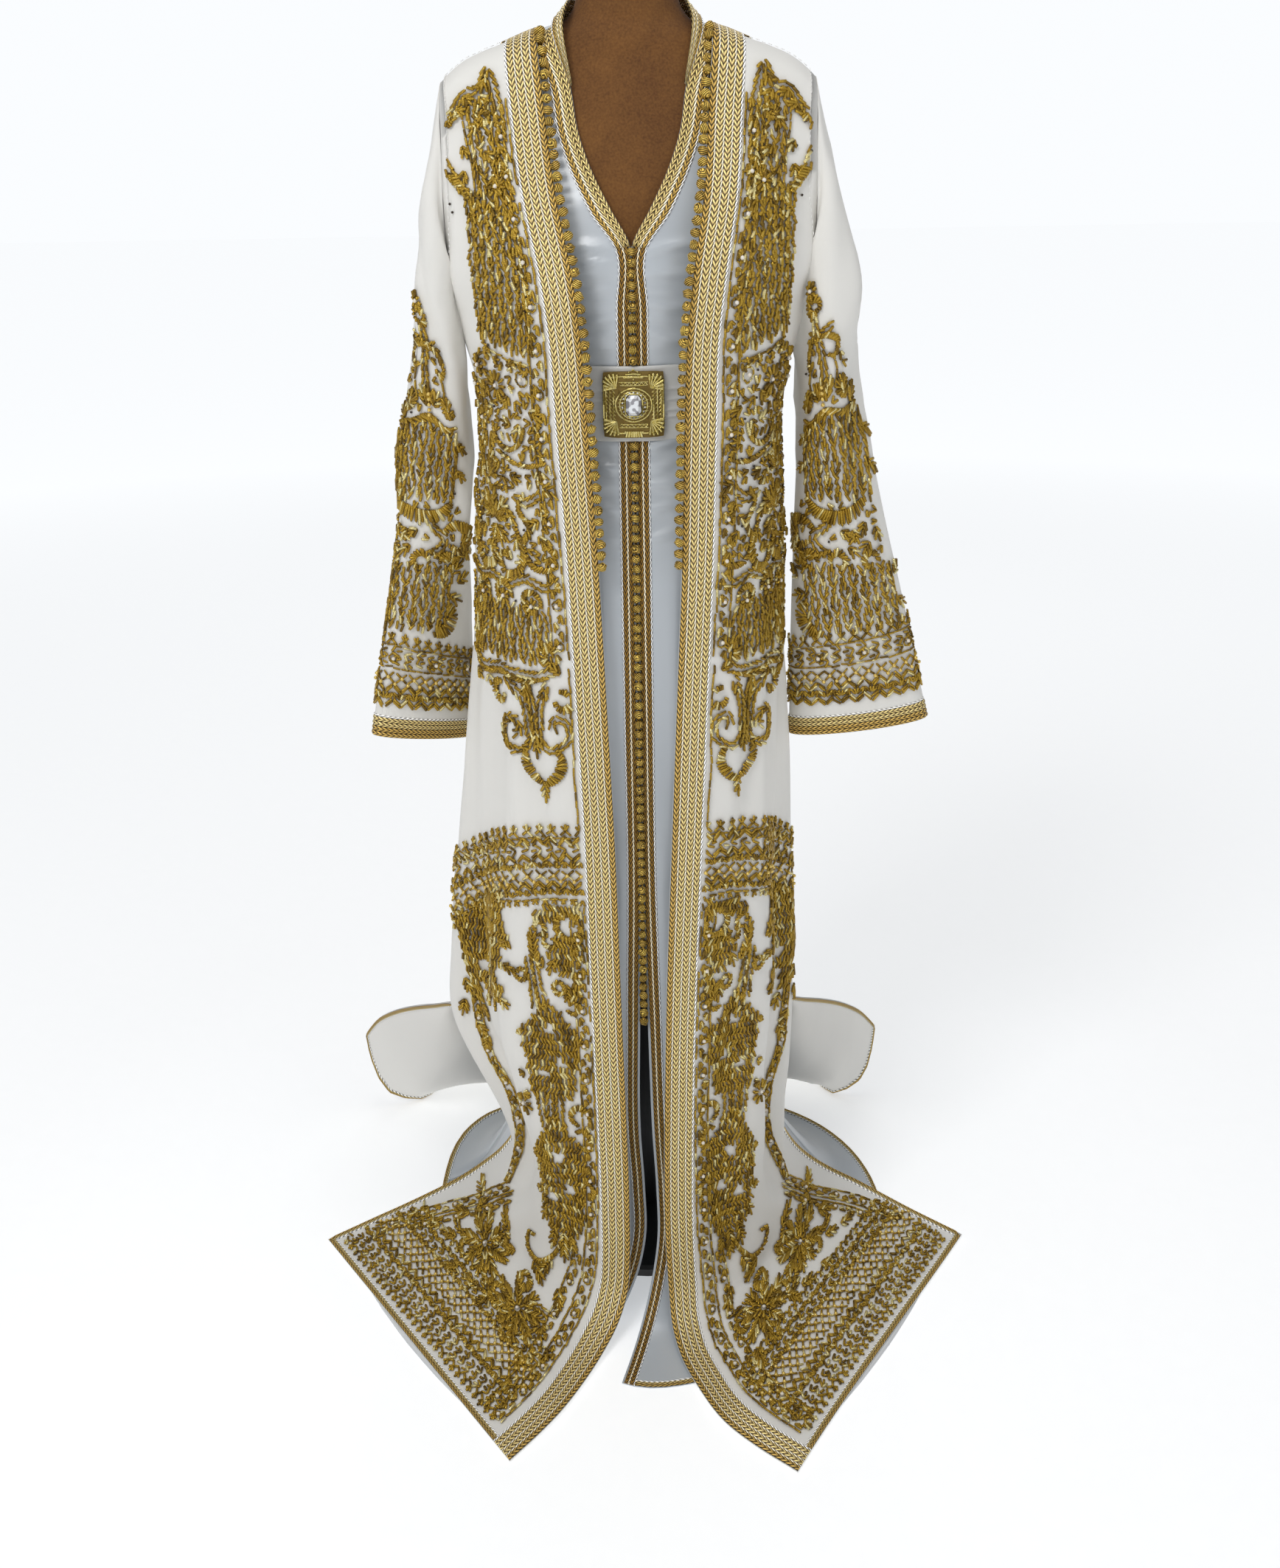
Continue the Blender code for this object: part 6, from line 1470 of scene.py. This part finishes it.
def front_design(foot, stretch):
    """One front of the robe, from the crown below the shoulder to the band along the hem at its foot."""
    work = []
    # The crown below the shoulder.
    chain(work, [(20, 62), (32, 80), (48, 80), (62, 96), (76, 112), (82, 150), (74, 178), (62, 198)])
    chain(work, [(20, 62), (15, 84), (12, 104), (12, 132), (14, 170), (13, 204)])
    cord(work, [(62, 104), (76, 124), (80, 150), (72, 182), (62, 200)], 15, 1.2)
    line(work, [(50, 82), (52, 120), (50, 160), (52, 200)])
    line(work, [(44, 84), (45, 130), (44, 200)])
    lattice(work, [(40, 92), (20, 92)], [(44, 200), (18, 200)], 3)
    leaves(work, 17, 8, [(22, 70, 1.2), (48, 82, 2.2), (60, 94, 2.5), (30, 86, 2.0), (66, 110, -2.2),
                         (58, 140, 1.9), (60, 168, 1.2), (34, 118, 0.6), (34, 150, 2.4), (24, 176, 1.2)])
    cord(work, spiral(31, 112, 9, 1.0, 1.3), 7)
    flower(work, 26, 190, 11, 9)
    # The field of chains over the chest, and the small scrolls at its foot.
    lattice(work, [(60, 192), (16, 202)], [(94, 362), (26, 372)], 7)
    line(work, [(62, 190), (68, 250), (84, 320), (98, 366)])
    line(work, [(13, 204), (12, 260), (18, 330), (26, 376)])
    line(work, [(96, 368), (60, 376), (26, 378)])
    for x, y, hand in ((88, 378, 1), (70, 382, -1), (50, 384, 1), (33, 382, -1)):
        cord(work, spiral(x, y, 6.5, 3.1, 0.9 * hand), 7)
    # Flowers, leaves and scrolls at the waist.
    flower(work, 77, 406, 15, 12)
    flower(work, 112, 392, 11, 9, 0.3)
    flower(work, 122, 446, 12, 9)
    flower(work, 134, 414, 10, 8)
    ring(work, 37, 394, 8.0, 10)
    for x, y, angle, long in ((58, 414, 0.9, 17), (48, 416, 2.2, 15), (104, 424, 1.2, 16),
                              (146, 440, 2.0, 18), (142, 470, 1.4, 20), (112, 466, 0.8, 15),
                              (64, 426, -0.4, 14)):
        leaf(work, x, y, angle, long, 8)
    chain(work, [(118, 458), (130, 484), (124, 510)])
    for angle, long in ((-1.57, 40), (-1.0, 26), (-2.1, 28), (-0.55, 20), (-2.6, 22)):
        leaf(work, 104, 506, angle, long, 8)
    cord(work, [(94, 446), (88, 462), (66, 470), (46, 460), (38, 444)], 8.5, 0.6)
    for x in (52, 62, 72):
        grain(work, x, 462, -1.1, 11)
    cord(work, [(88, 474), (60, 482), (36, 484), (14, 478)], 8, 0.5)
    tuft(work, 44, 480, -1.6, 3, 1.0, 13)
    leaf(work, 22, 504, 2.95, 48, 11)
    chain(work, [(62, 520), (44, 524), (24, 512)])
    for angle, long, wide in ((-1.57, 34, 8), (-0.75, 36, 11), (-2.4, 36, 11), (-0.2, 30, 9), (-2.95, 30, 9)):
        leaf(work, 98, 548, angle, long, wide)
    for angle in (0.8, 1.3, 1.85, 2.4):
        leaf(work, 92, 556, angle, 26, 8)
    cord(work, [(46, 514), (56, 530), (42, 552), (54, 574), (36, 594), (16, 590), (14, 572), (26, 570)], 9.5)
    cord(work, [(148, 530), (138, 556), (142, 586), (118, 604), (100, 594), (104, 578), (118, 582)], 12, 1.2)
    cord(work, [(64, 552), (52, 580), (62, 602), (84, 606), (90, 588), (78, 582)], 9.5, 1.2)
    leaf(work, 156, 520, 1.4, 26, 9)
    leaf(work, 152, 560, 1.6, 30, 9)
    chain(work, [(160, 606), (136, 616), (110, 612), (82, 618), (50, 608), (26, 614), (8, 604)])
    tuft(work, 120, 612, -1.2, 3, 1.2, 10)
    tuft(work, 72, 612, -1.6, 3, 1.2, 10)
    for x, y, angle, long in ((30, 424, 2.6, 20), (44, 440, 1.1, 22), (58, 444, -0.3, 20),
                              (92, 430, 0.6, 18), (100, 456, 1.9, 20), (84, 486, 0.4, 22),
                              (120, 520, 1.8, 26), (132, 500, 0.7, 22), (66, 496, 2.8, 20),
                              (76, 536, 2.4, 24), (120, 560, 0.9, 24), (60, 560, 1.2, 22),
                              (110, 580, 2.6, 20), (30, 556, 2.2, 22), (140, 560, 2.4, 20),
                              (28, 540, 0.6, 20), (84, 566, 0.4, 20), (46, 588, 0.2, 20),
                              (132, 590, 0.4, 20), (70, 590, -0.6, 18)):
        leaf(work, x, y, angle, long, 9)
    sprigs(work, [(24, 384), (100, 374), (112, 390), (150, 430), (160, 500), (164, 600), (20, 600),
                  (20, 400)])
    # The square field below the waist, with its scalloped top and its border.
    for x, y in ((128, 634), (88, 630), (46, 634)):
        cord(work, spiral(x, y, 13, 2.9, 0.72, 0.9), 7.5, 1.1)
        flower(work, x, y + 3, 9, 8)
    lattice(work, [(146, 640), (34, 640)], [(150, 704), (28, 702)], 10)
    line(work, [(160, 622), (164, 660), (158, 702)])
    for y in range(624, 704, 9):
        tuft(work, 162, y, 3.1, 2, 0.9, 7)
    chain(work, [(160, 704), (134, 718), (100, 714), (70, 716), (44, 714), (22, 706)])
    cord(work, [(158, 710), (130, 724), (96, 720), (60, 724), (30, 714)], 8, 0.5)
    cord(work, spiral(24, 688, 14, 1.4, -0.62, 0.6), 13, 1.4)
    # The drop that hangs from it.
    for x, y, angle, long in ((150, 726, 2.5, 20), (126, 728, 1.9, 15), (34, 726, 1.2, 15),
                              (14, 708, -0.6, 16)):
        leaf(work, x, y, angle, long, 8)
    for x, y, hand in ((104, 742, 1), (14, 738, -1)):
        cord(work, spiral(x, y, 11, -1.9 if hand > 0 else -1.2, 0.78 * hand, 0.9), 9, 1.45)
    for path in ([(90, 724), (68, 744), (60, 786)], [(32, 722), (42, 748), (46, 786)],
                 [(62, 722), (54, 752), (53, 792)]):
        chain(work, path)
    leaf(work, 62, 722, 1.5, 26, 8)
    leaf(work, 52, 776, 1.6, 34, 8)
    for path in ([(58, 784), (68, 800), (84, 802), (98, 790), (95, 772), (80, 768), (74, 780), (82, 786)],
                 [(46, 784), (34, 796), (20, 792), (8, 776), (13, 762), (26, 762), (28, 774)]):
        chain(work, path, off=1.2)
    cord(work, [(66, 798), (67, 816), (55, 830), (42, 836)], 11, 1.3)
    cord(work, [(24, 794), (19, 812), (28, 828), (42, 838)], 11, -1.3)
    leaf(work, 42, 836, 1.57, 24, 8)
    # The band above the knee.
    knee = [("tufts", 2, 16.5), ("line", 11, 9.5), ("zigzag", 14, 9.0), ("leaves", 24, 16.0),
            ("zigzag", 34, 9.0), ("fans", 43, 10.0), ("net", 56, 17.0), ("zigzag", 68, 9.0),
            ("fans", 76, 10.0), ("drops", 85, 12.0)]
    band(work, lambda u: 886 + 0.0015 * u * u, 4, 236, knee)
    sequins(work, 24, (12, 88), (90, 700))
    # The garlands that hang from it.
    filled(work, [(118, 986), (150, 994), (196, 1018), (228, 1046), (222, 1102), (206, 1150), (194, 1146),
                  (196, 1112), (176, 1130), (150, 1126), (122, 1116), (116, 1098), (134, 1084), (112, 1068),
                  (124, 1050), (100, 1040), (112, 1018)], ((150, 1044, 11), (186, 1096, 7)))
    cord(work, spiral(150, 1044, 18, 0.5, 0.95, 0.85), 9, 1.2)
    leaves(work, 18, 8, [(120, 1040, 3.0), (114, 1066, 2.7), (120, 1110, 2.2), (150, 1124, 1.7),
                         (176, 1128, 1.5)])
    filled(work, [(8, 976), (34, 982), (62, 986), (70, 1002), (46, 1002), (40, 1030), (54, 1044), (40, 1066),
                  (22, 1072), (28, 1094), (14, 1102), (6, 1070), (4, 1020)], ((24, 1006, 11), (14, 1056, 5)))
    cord(work, spiral(24, 1006, 17, 3.0, -0.9, 0.85), 8, -1.2)
    cord(work, spiral(62, 1012, 9, 1.4, 0.9, 0.6), 7)
    cord(work, spiral(48, 1028, 9, 5.0, 0.9, 0.6), 7)
    leaf(work, 32, 1080, 1.7, 30, 8)
    leaf(work, 46, 1050, 1.3, 22, 8)
    # The standing motif in the middle: a pointed leaf, small scrolls and two fields like ovals.
    leaf(work, 68, 1054, -1.5, 44, 9)
    leaf(work, 58, 1062, -1.1, 28, 8)
    for x, y, start, turns in ((88, 1072, -0.5, 1.1), (40, 1084, 3.4, -1.1), (24, 1108, 0.5, 0.8)):
        cord(work, spiral(x, y, 10, start, turns, 0.45), 7)
    for path in ([(70, 1046), (66, 1080), (62, 1116)], [(77, 1052), (74, 1080), (72, 1116)]):
        chain(work, path)
    ovals(work, 57, 1108, 1240, 37)
    ovals(work, 57, 1264, 1432, 38)
    flower(work, 102, 1252, 15, 9)
    tuft(work, 98, 1234, 2.8, 5, 2.0, 12)
    for path in ([(74, 1232), (73, 1256), (70, 1278)], [(50, 1232), (50, 1256), (48, 1278)],
                 [(62, 1232), (61, 1276)]):
        chain(work, path)
    cord(work, spiral(24, 1256, 15, 2.6, 0.8, 0.8), 8, 1.1)
    cord(work, spiral(22, 1286, 13, 5.6, -0.8, 0.8), 8, -1.1)
    cord(work, [(30, 1350), (16, 1342), (8, 1350), (12, 1362)], 8)
    for x, y, angle, long in ((56, 1424, 1.6, 44), (68, 1420, 1.4, 38), (46, 1424, 1.8, 30),
                              (82, 1400, 1.2, 24)):
        leaf(work, x, y, angle, long, 9)
    cord(work, [(60, 1440), (72, 1464), (98, 1484), (120, 1480), (124, 1462), (108, 1456)], 8)
    # The two sprays on the floor.
    for x, y, turn in ((206, 1530, 0.3), (104, 1566, -0.4)):
        flower(work, x, y, 15, 10, turn)
        for angle, long in ((0.1, 46), (0.8, 40), (1.5, 38), (2.3, 44), (3.0, 46), (3.8, 40), (4.6, 36),
                            (5.5, 42)):
            angle += turn
            leaf(work, x + 11 * math.cos(angle), y + 11 * math.sin(angle), angle, long, 12)
        for k in range(4):
            angle = turn + 0.5 + k * 1.6
            tip = x + 44 * math.cos(angle), y + 44 * math.sin(angle)
            cord(work, spiral(*tip, 14, angle + 2.2, 0.85, 0.6), 10, 1.1)
        chain(work, [(x + 12, y + 12), (x + 34, y + 8), (x + 56, y + 18), (x + 76, y + 8)])
        chain(work, [(x - 12, y - 12), (x - 32, y - 26), (x - 54, y - 24)])
    leaves(work, 34, 11, [(104, 1488, 2.4), (56, 1500, 2.0), (146, 1500, 0.6), (262, 1520, 0.5),
                          (150, 1580, 0.9), (262, 1560, 0.3), (64, 1610, 1.9), (166, 1486, -0.6),
                          (248, 1490, -0.4), (300, 1570, 0.2), (72, 1470, 1.0), (180, 1590, 0.2),
                          (230, 1590, 0.6)])
    # The vines: beside the front braid for its whole length, and beside the side slit.
    edging = [(12, 96), (12, 210), (13, 300), (14, 370), (15, 420), (15, 520), (14, 600), (13, 690)]
    vine(work, edging, 9.5, 9.0)
    line(work, [(5, 700), (4, 760), (6, 820), (4, 880)])
    edging = [(12, 980), (11, 1060), (11, 1180), (12, 1300), (14, 1400), (19, 1490), (22, 1580), (22, 1650),
              (22, foot - 20)]
    vine(work, edging, 9.5, 9.0)
    vine(work, [(34, 1440), (44, 1500), (46, 1580), (44, 1640), (42, foot - 24)], 8.0, rails=(-1,))
    slit = [(212, 1130), (208, 1180), (200, 1230), (186, 1285), (183, 1330), (188, 1385), (204, 1440)]
    vine(work, slit, 5.5)
    leaves(work, 26, 10, [(222, 1120, 1.9), (226, 1150, 1.3), (196, 1150, 1.8), (214, 1180, 2.2),
                          (196, 1200, 1.2)])
    vine(work, [(EDGE - 78, 1440), (EDGE - 60, 1490), (EDGE - 42, 1540), (EDGE - 32, 1590),
                (EDGE - 28, 1650)], 9.0)
    vine(work, [(EDGE - 98, 1450), (EDGE - 82, 1500), (EDGE - 64, 1550), (EDGE - 54, 1600)], 8.0, rails=(-1,))
    # The band along the hem.
    hem = [("tufts", 2, 14.0), ("leaves", 12, 15.0), ("leaves", 22, 15.0), ("fans", 33, 9.0),
           ("zigzag", 42, 9.0), ("net", 54, 17.0), ("net", 68, 17.0), ("fans", 80, 9.0),
           ("leaves", 89, 15.0), ("fans", 99, 9.5), ("tufts", 112, 14.0)]
    band(work, lambda u: foot - 19, 26, 430, hem, -1, stretch)
    return np.array(work)


SLEEVE_MIDDLE = {-1: 0.27, 1: 0.56}
SLEEVE_FOOT, SLEEVE_DROP = 664.0, 0.87


def slope(y):
    """How much the design slopes down towards the back, over the bent arm."""
    return float(np.interp(y, (400, 560, 640), (0.42, 0.14, 0.0)))


def sleeve_design(foot):
    """A sleeve, from the flower below the elbow to the rows of stitches that end above its foot."""
    work = []
    # The flower on its stem, the branch below it and the two drooping scrolls.
    cord(work, spiral(-26, 200, 10, 2.6, 1.0, 0.75), 10, 1.2)
    flower(work, -26, 184, 10, 8)
    for path in ([(-26, 208), (-25, 218), (-25, 230)], [(-48, 224), (-25, 231), (-2, 224)]):
        chain(work, path)
    cord(work, [(-25, 230), (-42, 234), (-54, 246), (-48, 258), (-38, 254)], 9)
    cord(work, [(-25, 230), (-8, 234), (4, 246), (-2, 258), (-12, 254)], 9)
    chain(work, [(-25, 232), (-29, 250), (-30, 272), (-26, 296)])
    line(work, [(-44, 256), (-50, 272), (-44, 292)])
    line(work, [(-6, 256), (0, 272), (-6, 292)])
    # The stem's buds and volutes.
    leaves(work, 25, 10, [(-30, 298, -2.0), (-20, 298, -1.1), (-25, 296, -1.57), (-54, 306, -1.9),
                          (-66, 312, -2.1), (2, 306, -1.3)])
    cord(work, spiral(4, 290, 11, 0.4, 0.85, 0.6), 9, 1.2)
    cord(work, spiral(-58, 292, 11, 2.7, -0.85, 0.6), 9, 1.2)
    for y in range(284, 312, 6):
        bead(work, -25, y, GOLD_BEAD)
    # The upper field of chains, with a bowl at its foot.
    cord(work, [(-78, 312), (-52, 318), (-26, 311), (0, 318), (16, 310)], 12, 0.6)
    lattice(work, [(-76, 318), (10, 318)], [(-70, 404), (4, 404)], 8)
    line(work, [(-82, 316), (-80, 360), (-72, 406)])
    line(work, [(16, 316), (14, 360), (8, 404)])
    leaves(work, 20, 9, [(14, 330, 0.4), (14, 362, 0.6), (-80, 334, 2.8), (-78, 366, 2.6)])
    cord(work, [(-66, 404), (-48, 418), (-26, 424), (-4, 418), (10, 402)], 15, 1.3)
    # The turning branch below it, with its flower and its big curled leaf.
    chain(work, [(-22, 424), (-12, 436), (2, 446), (-4, 458), (-16, 466)])
    cord(work, [(0, 438), (18, 428), (34, 434), (34, 450), (20, 458), (8, 452)], 13, 1.2)
    for angle in (-0.6, -0.1, 0.4, 0.9):
        leaf(work, 24, 446, angle, 30, 10)
    leaves(work, 19, 9, [(-62, 428, 1.2), (-46, 436, 2.0), (-66, 450, 0.9), (-40, 456, 2.4),
                         (-78, 434, 1.8), (-32, 438, 2.7), (-54, 444, 0.2)])
    cord(work, [(-18, 462), (2, 470), (22, 466), (36, 456)], 10, 0.6)
    # The lower field, with scrolls on its shoulders and a fan at its side.
    for x, start, turns in ((-66, 3.0, 0.8), (-28, 0.2, -0.8), (8, 3.0, 0.8)):
        cord(work, spiral(x, 474, 11, start, turns, 0.7), 9, 1.1)
    lattice(work, [(-84, 478), (12, 478)], [(-90, 556), (6, 556)], 9)
    line(work, [(-92, 476), (-96, 520), (-96, 560)])
    leaves(work, 24, 10, [(16, 486, -0.9), (24, 496, -0.5), (14, 512, 0.3), (-96, 492, -2.2),
                          (-96, 520, 2.6)])
    cord(work, [(12, 522), (22, 536), (14, 552), (-6, 560)], 16, 1.4)
    sprigs(work, [(-54, 240), (4, 240), (20, 420), (34, 440), (16, 470), (-86, 470), (-80, 420),
                  (-78, 310)], 9.5)
    sequins(work, 16, (-70, 240), (20, 540))
    work = [(a, b - slope(b) * (a + 25), c, d - slope(d) * (c + 25), *rest) for a, b, c, d, *rest in work]
    drop = SLEEVE_DROP * (foot - SLEEVE_FOOT)
    work = [(a, b + drop, c, d + drop, *rest) for a, b, c, d, *rest in work]
    # The rows of stitches all round, above the cuff.
    rows = [("tufts", 0, 15.0), ("line", 8, 9.5), ("leaves", 15, 15.0), ("leaves", 25, 15.0),
            ("line", 33, 9.5), ("net", 44, 15.0), ("zigzag", 57, 9.0), ("fans", 66, 9.0),
            ("zigzag", 75, 9.0)]
    band(work, lambda u: foot - 92, -176, 176, rows)
    for u in range(-160, 170, 54):
        ring(work, u, foot - 70)
    return np.array(work)


def measures(sheet, middle):
    """How far each point of a sheet lies across from one of its columns, and each row down that column."""
    over = lengths_along(sheet, 1)
    return over - over[:, middle:middle + 1], lengths_along(sheet, 0)[:, middle]


def on_panel(cloth, over, below, x, y):
    """Points and normals of a cloth at places in metres, and whether each lies on the cloth."""
    rows = np.interp(y, below, np.arange(len(below)))
    r = np.clip(np.floor(rows).astype(int), 0, len(below) - 2)
    f = (rows - r)[:, None]
    reach = over[r] * (1 - f) + over[r + 1] * f
    x = np.where(x > EDGE / 2000, reach[:, -1] + x - EDGE / 1000, x)
    found = np.clip((reach < x[:, None]).sum(axis=1) - 1, 0, reach.shape[1] - 2)
    number = np.arange(len(x))
    a, b = reach[number, found], reach[number, found + 1]
    columns = found + np.clip((x - a) / (b - a), 0.0, 1.0)
    fits = (x > reach[:, 0]) & (x < reach[:, -1] - CLEAR_OF_EDGE) & (y > below[0] + 0.003)
    fits &= y < below[-1] - CLEAR_OF_EDGE
    return sampled(cloth[0], rows, columns), sampled(cloth[1], rows, columns), fits, x


def couched(name, cloth, over, below, work, seed, least=-9.0):
    """The mesh of an embroidery laid on a cloth: a tube for each grain of bullion, and the beads.

    What starts or ends nearer to the front braid than the least distance in metres is left out.
    """
    start, a_normals, a_fits, ax = on_panel(cloth, over, below, work[:, 0] / 1000, work[:, 1] / 1000)
    end, b_normals, b_fits, bx = on_panel(cloth, over, below, work[:, 2] / 1000, work[:, 3] / 1000)
    dice = np.random.default_rng(seed)
    fits = a_fits & b_fits & (ax > least) & (bx > least)
    long = np.linalg.norm(end - start, axis=1)
    beads = fits & (work[:, 5] != BULLION)
    tubes = fits & (work[:, 5] == BULLION) & (long > 0.002) & (long < 0.03)
    a, b, width, long = start[tubes], end[tubes], work[tubes, 4] / 1000, long[tubes]
    up = a_normals[tubes] + b_normals[tubes]
    up /= np.linalg.norm(up, axis=1, keepdims=True)
    side = np.cross(up, (b - a) / long[:, None])
    count = len(a)
    lift = up * (COUCHED_LIFT + width / 2 + dice.uniform(0, PILE_HEIGHT, count))[:, None]
    sides = range(GRAIN_SIDES)
    section = []
    for k in sides:
        turn = math.tau * k / GRAIN_SIDES
        section.append((up * math.cos(turn) * 0.92 + side * math.sin(turn)) * (width / 2)[:, None])
    rings = []
    for share in GRAIN_STATIONS:
        middle = a + (b - a) * share
        if share in (0.0, 1.0):
            rings.append((middle + lift * 0.8)[:, None])
        else:
            rings.append(np.stack([middle + lift + out for out in section], axis=1))
    points = np.concatenate(rings, axis=1)
    each = points.shape[1]
    base = (np.arange(count) * each)[:, None]
    pattern = []
    for k in sides:
        n = (k + 1) % GRAIN_SIDES
        pattern += [(0, 1 + n, 1 + k), (each - 1, each - 1 - GRAIN_SIDES + k, each - 1 - GRAIN_SIDES + n)]
        pattern.append((1 + k, 1 + n, 1 + GRAIN_SIDES + n, 1 + GRAIN_SIDES + k))
    faces = [face for corners in pattern for face in (base + np.array(corners)[None]).tolist()]
    # Each tube takes one tone at random: painted shade, painted glint or the bullion's own gold.
    tones_shade_and_glint = np.array(BULLION_TONES_SHADE_AND_GLINT)[dice.choice(4, count, p=BULLION_SHARES)]
    plain = work[tubes, 4] < THREAD_WIDTH * 1.2
    tones_shade_and_glint[plain] = WHITE_CORD
    colours = [np.repeat(np.concatenate([tones_shade_and_glint, 1.0 - plain[:, None]], axis=1), each, axis=0)]
    round_it = [k / GRAIN_SIDES for k in sides]
    shares = np.repeat(GRAIN_STATIONS, (1, GRAIN_SIDES, GRAIN_SIDES, 1))
    spread = [np.stack([np.tile(np.array([0.5, *round_it, *round_it, 0.5]), count),
                        np.repeat(long, each) * np.tile(shares, count)], axis=1)]
    places, total = [points.reshape(-1, 3)], count * each
    for place, normal, kind in zip(start[beads], a_normals[beads], work[beads, 5]):
        radius = BEAD_SIZES[kind]
        rise = COUCHED_LIFT + radius + (0.0 if kind == SEQUIN else PILE_HEIGHT)
        places.append(BEAD_POINTS * radius + place + normal * rise)
        faces += (BEAD_FACES + total).tolist()
        colours.append(np.tile(np.array(BEAD_TONES[kind]), (len(BEAD_POINTS), 1)))
        spread.append(np.zeros((len(BEAD_POINTS), 2)))
        total += len(BEAD_POINTS)
    return solid(name, np.concatenate(places), faces, np.concatenate(spread), np.concatenate(colours))


BEAD_POINTS, BEAD_FACES = ball_pattern(1)

bullion = thread_material("gold_bullion", 0.0012, 0.25, 0.60, 0.3)
HEM_BAND, CUFF_WIDTH, MIDWAY = 0.12, 0.026, 870
ROBE_COLUMNS = 13
SEAM_PITCH, SEAM_STITCH = 7.0, 4.4
FRONT_SEED, SLEEVE_SEED, BRAID_SIDE = 20, 30, 0.0008

for side, side_name in SIDES:
    cloth = robe[side]
    first = int(np.argmin(np.abs(cloth[3] - 1)))
    over, below = measures(cloth[0], first)
    from_hem = lengths_along(cloth[0][::-1], 0)[::-1]
    start = int(np.argmin(np.abs(from_hem[:, round(len(cloth[3]) / ROBE_COLUMNS)] - HEM_BAND)))
    widths, depths = over[-1] * 1000, from_hem[start] / from_hem[start, first]
    work = front_design(below[-1] * 1000, lambda u: float(np.interp(u, widths, depths)))
    seam = []
    for y in np.arange(14.0, 330.0, SEAM_PITCH):
        seam.append((EDGE - 12, y, EDGE - 12.4, y + SEAM_STITCH, THREAD_WIDTH, BULLION))
    for x in np.arange(6.0, 110.0, SEAM_PITCH):
        y = 11 + 0.02 * x
        seam.append((x, y, x + SEAM_STITCH, y, THREAD_WIDTH, BULLION))
    work = np.concatenate([work, seam])
    upper = work[:, 1] < MIDWAY
    for part, chosen in (("upper", upper), ("lower", ~upper)):
        made = couched(f"{part}_embroidery_{side_name}", cloth, over, below, work[chosen],
                       FRONT_SEED + side, BRAID_SIDE)
        piece(made, bullion, "gold_braid")

for side, side_name in SIDES:
    sheet, normals, down, across = sleeves[side]
    count = sheet.shape[1]
    order = (np.arange(count + 1) + round(SLEEVE_MIDDLE[side] * count) - count // 2) % count
    cloth = (sheet[:, order], normals[:, order])
    over, below = measures(cloth[0], count // 2)
    work = sleeve_design((below[-1] - CUFF_WIDTH) * 1000)
    made = couched("sleeve_embroidery_" + side_name, cloth, over, below, work, SLEEVE_SEED + side)
    piece(made, bullion, "gold_braid")

# The facings: strips of white satin that show past the front hems on the floor.

FACING_SHOWS, FACING_KEPT, FACING_LENGTH = 0.036, 0.55, 0.93
# A lighter copy of the satin, for the facings where they lie lit on the floor; the inner dress's satin is the
# copy darkened with painted shade.
lit_facing_satin = cloth_material("lit_facing_satin", (0.84, 0.85, 0.86), 0.38, SATIN_THREADS, 0.03, 0.10)
for _, side_name in SIDES:
    made = merged_copy("outer_lining_" + side_name, "facing_" + side_name)
    only(made)
    bpy.ops.object.mode_set(mode="EDIT")
    bpy.ops.mesh.select_all(action="SELECT")
    bpy.ops.mesh.tris_convert_to_quads(face_threshold=1.2, shape_threshold=1.2)
    bpy.ops.mesh.subdivide(number_cuts=3)
    bpy.ops.object.mode_set(mode="OBJECT")
    spots = np.array([vert.co for vert in made.data.vertices])
    middle = spots[:, :2].mean(axis=0)
    _, _, axes = np.linalg.svd(spots[:, :2] - middle, full_matrices=False)
    along, aside = (spots[:, :2] - middle) @ axes[0], (spots[:, :2] - middle) @ axes[1]
    outward = 1.0 if axes[1] @ middle > 0 else -1.0
    aside = aside * outward
    share = (along - along.min()) / np.ptp(along)
    hem_line = aside.max() - FACING_SHOWS
    kept = np.clip(np.sin(math.pi * share), 0.0, 1.0) ** 0.5
    aside = np.where(aside > hem_line, hem_line + (aside - hem_line) * kept * FACING_KEPT, aside) * outward
    along *= FACING_LENGTH
    spots[:, :2] = middle + along[:, None] * axes[0] + aside[:, None] * axes[1]
    made.data.vertices.foreach_set("co", spots.astype(np.float32).reshape(-1))
    bpy.ops.object.shade_smooth_by_angle(angle=math.radians(50))
    piece(made, lit_facing_satin, "white_satin", "outer_lining_" + side_name)
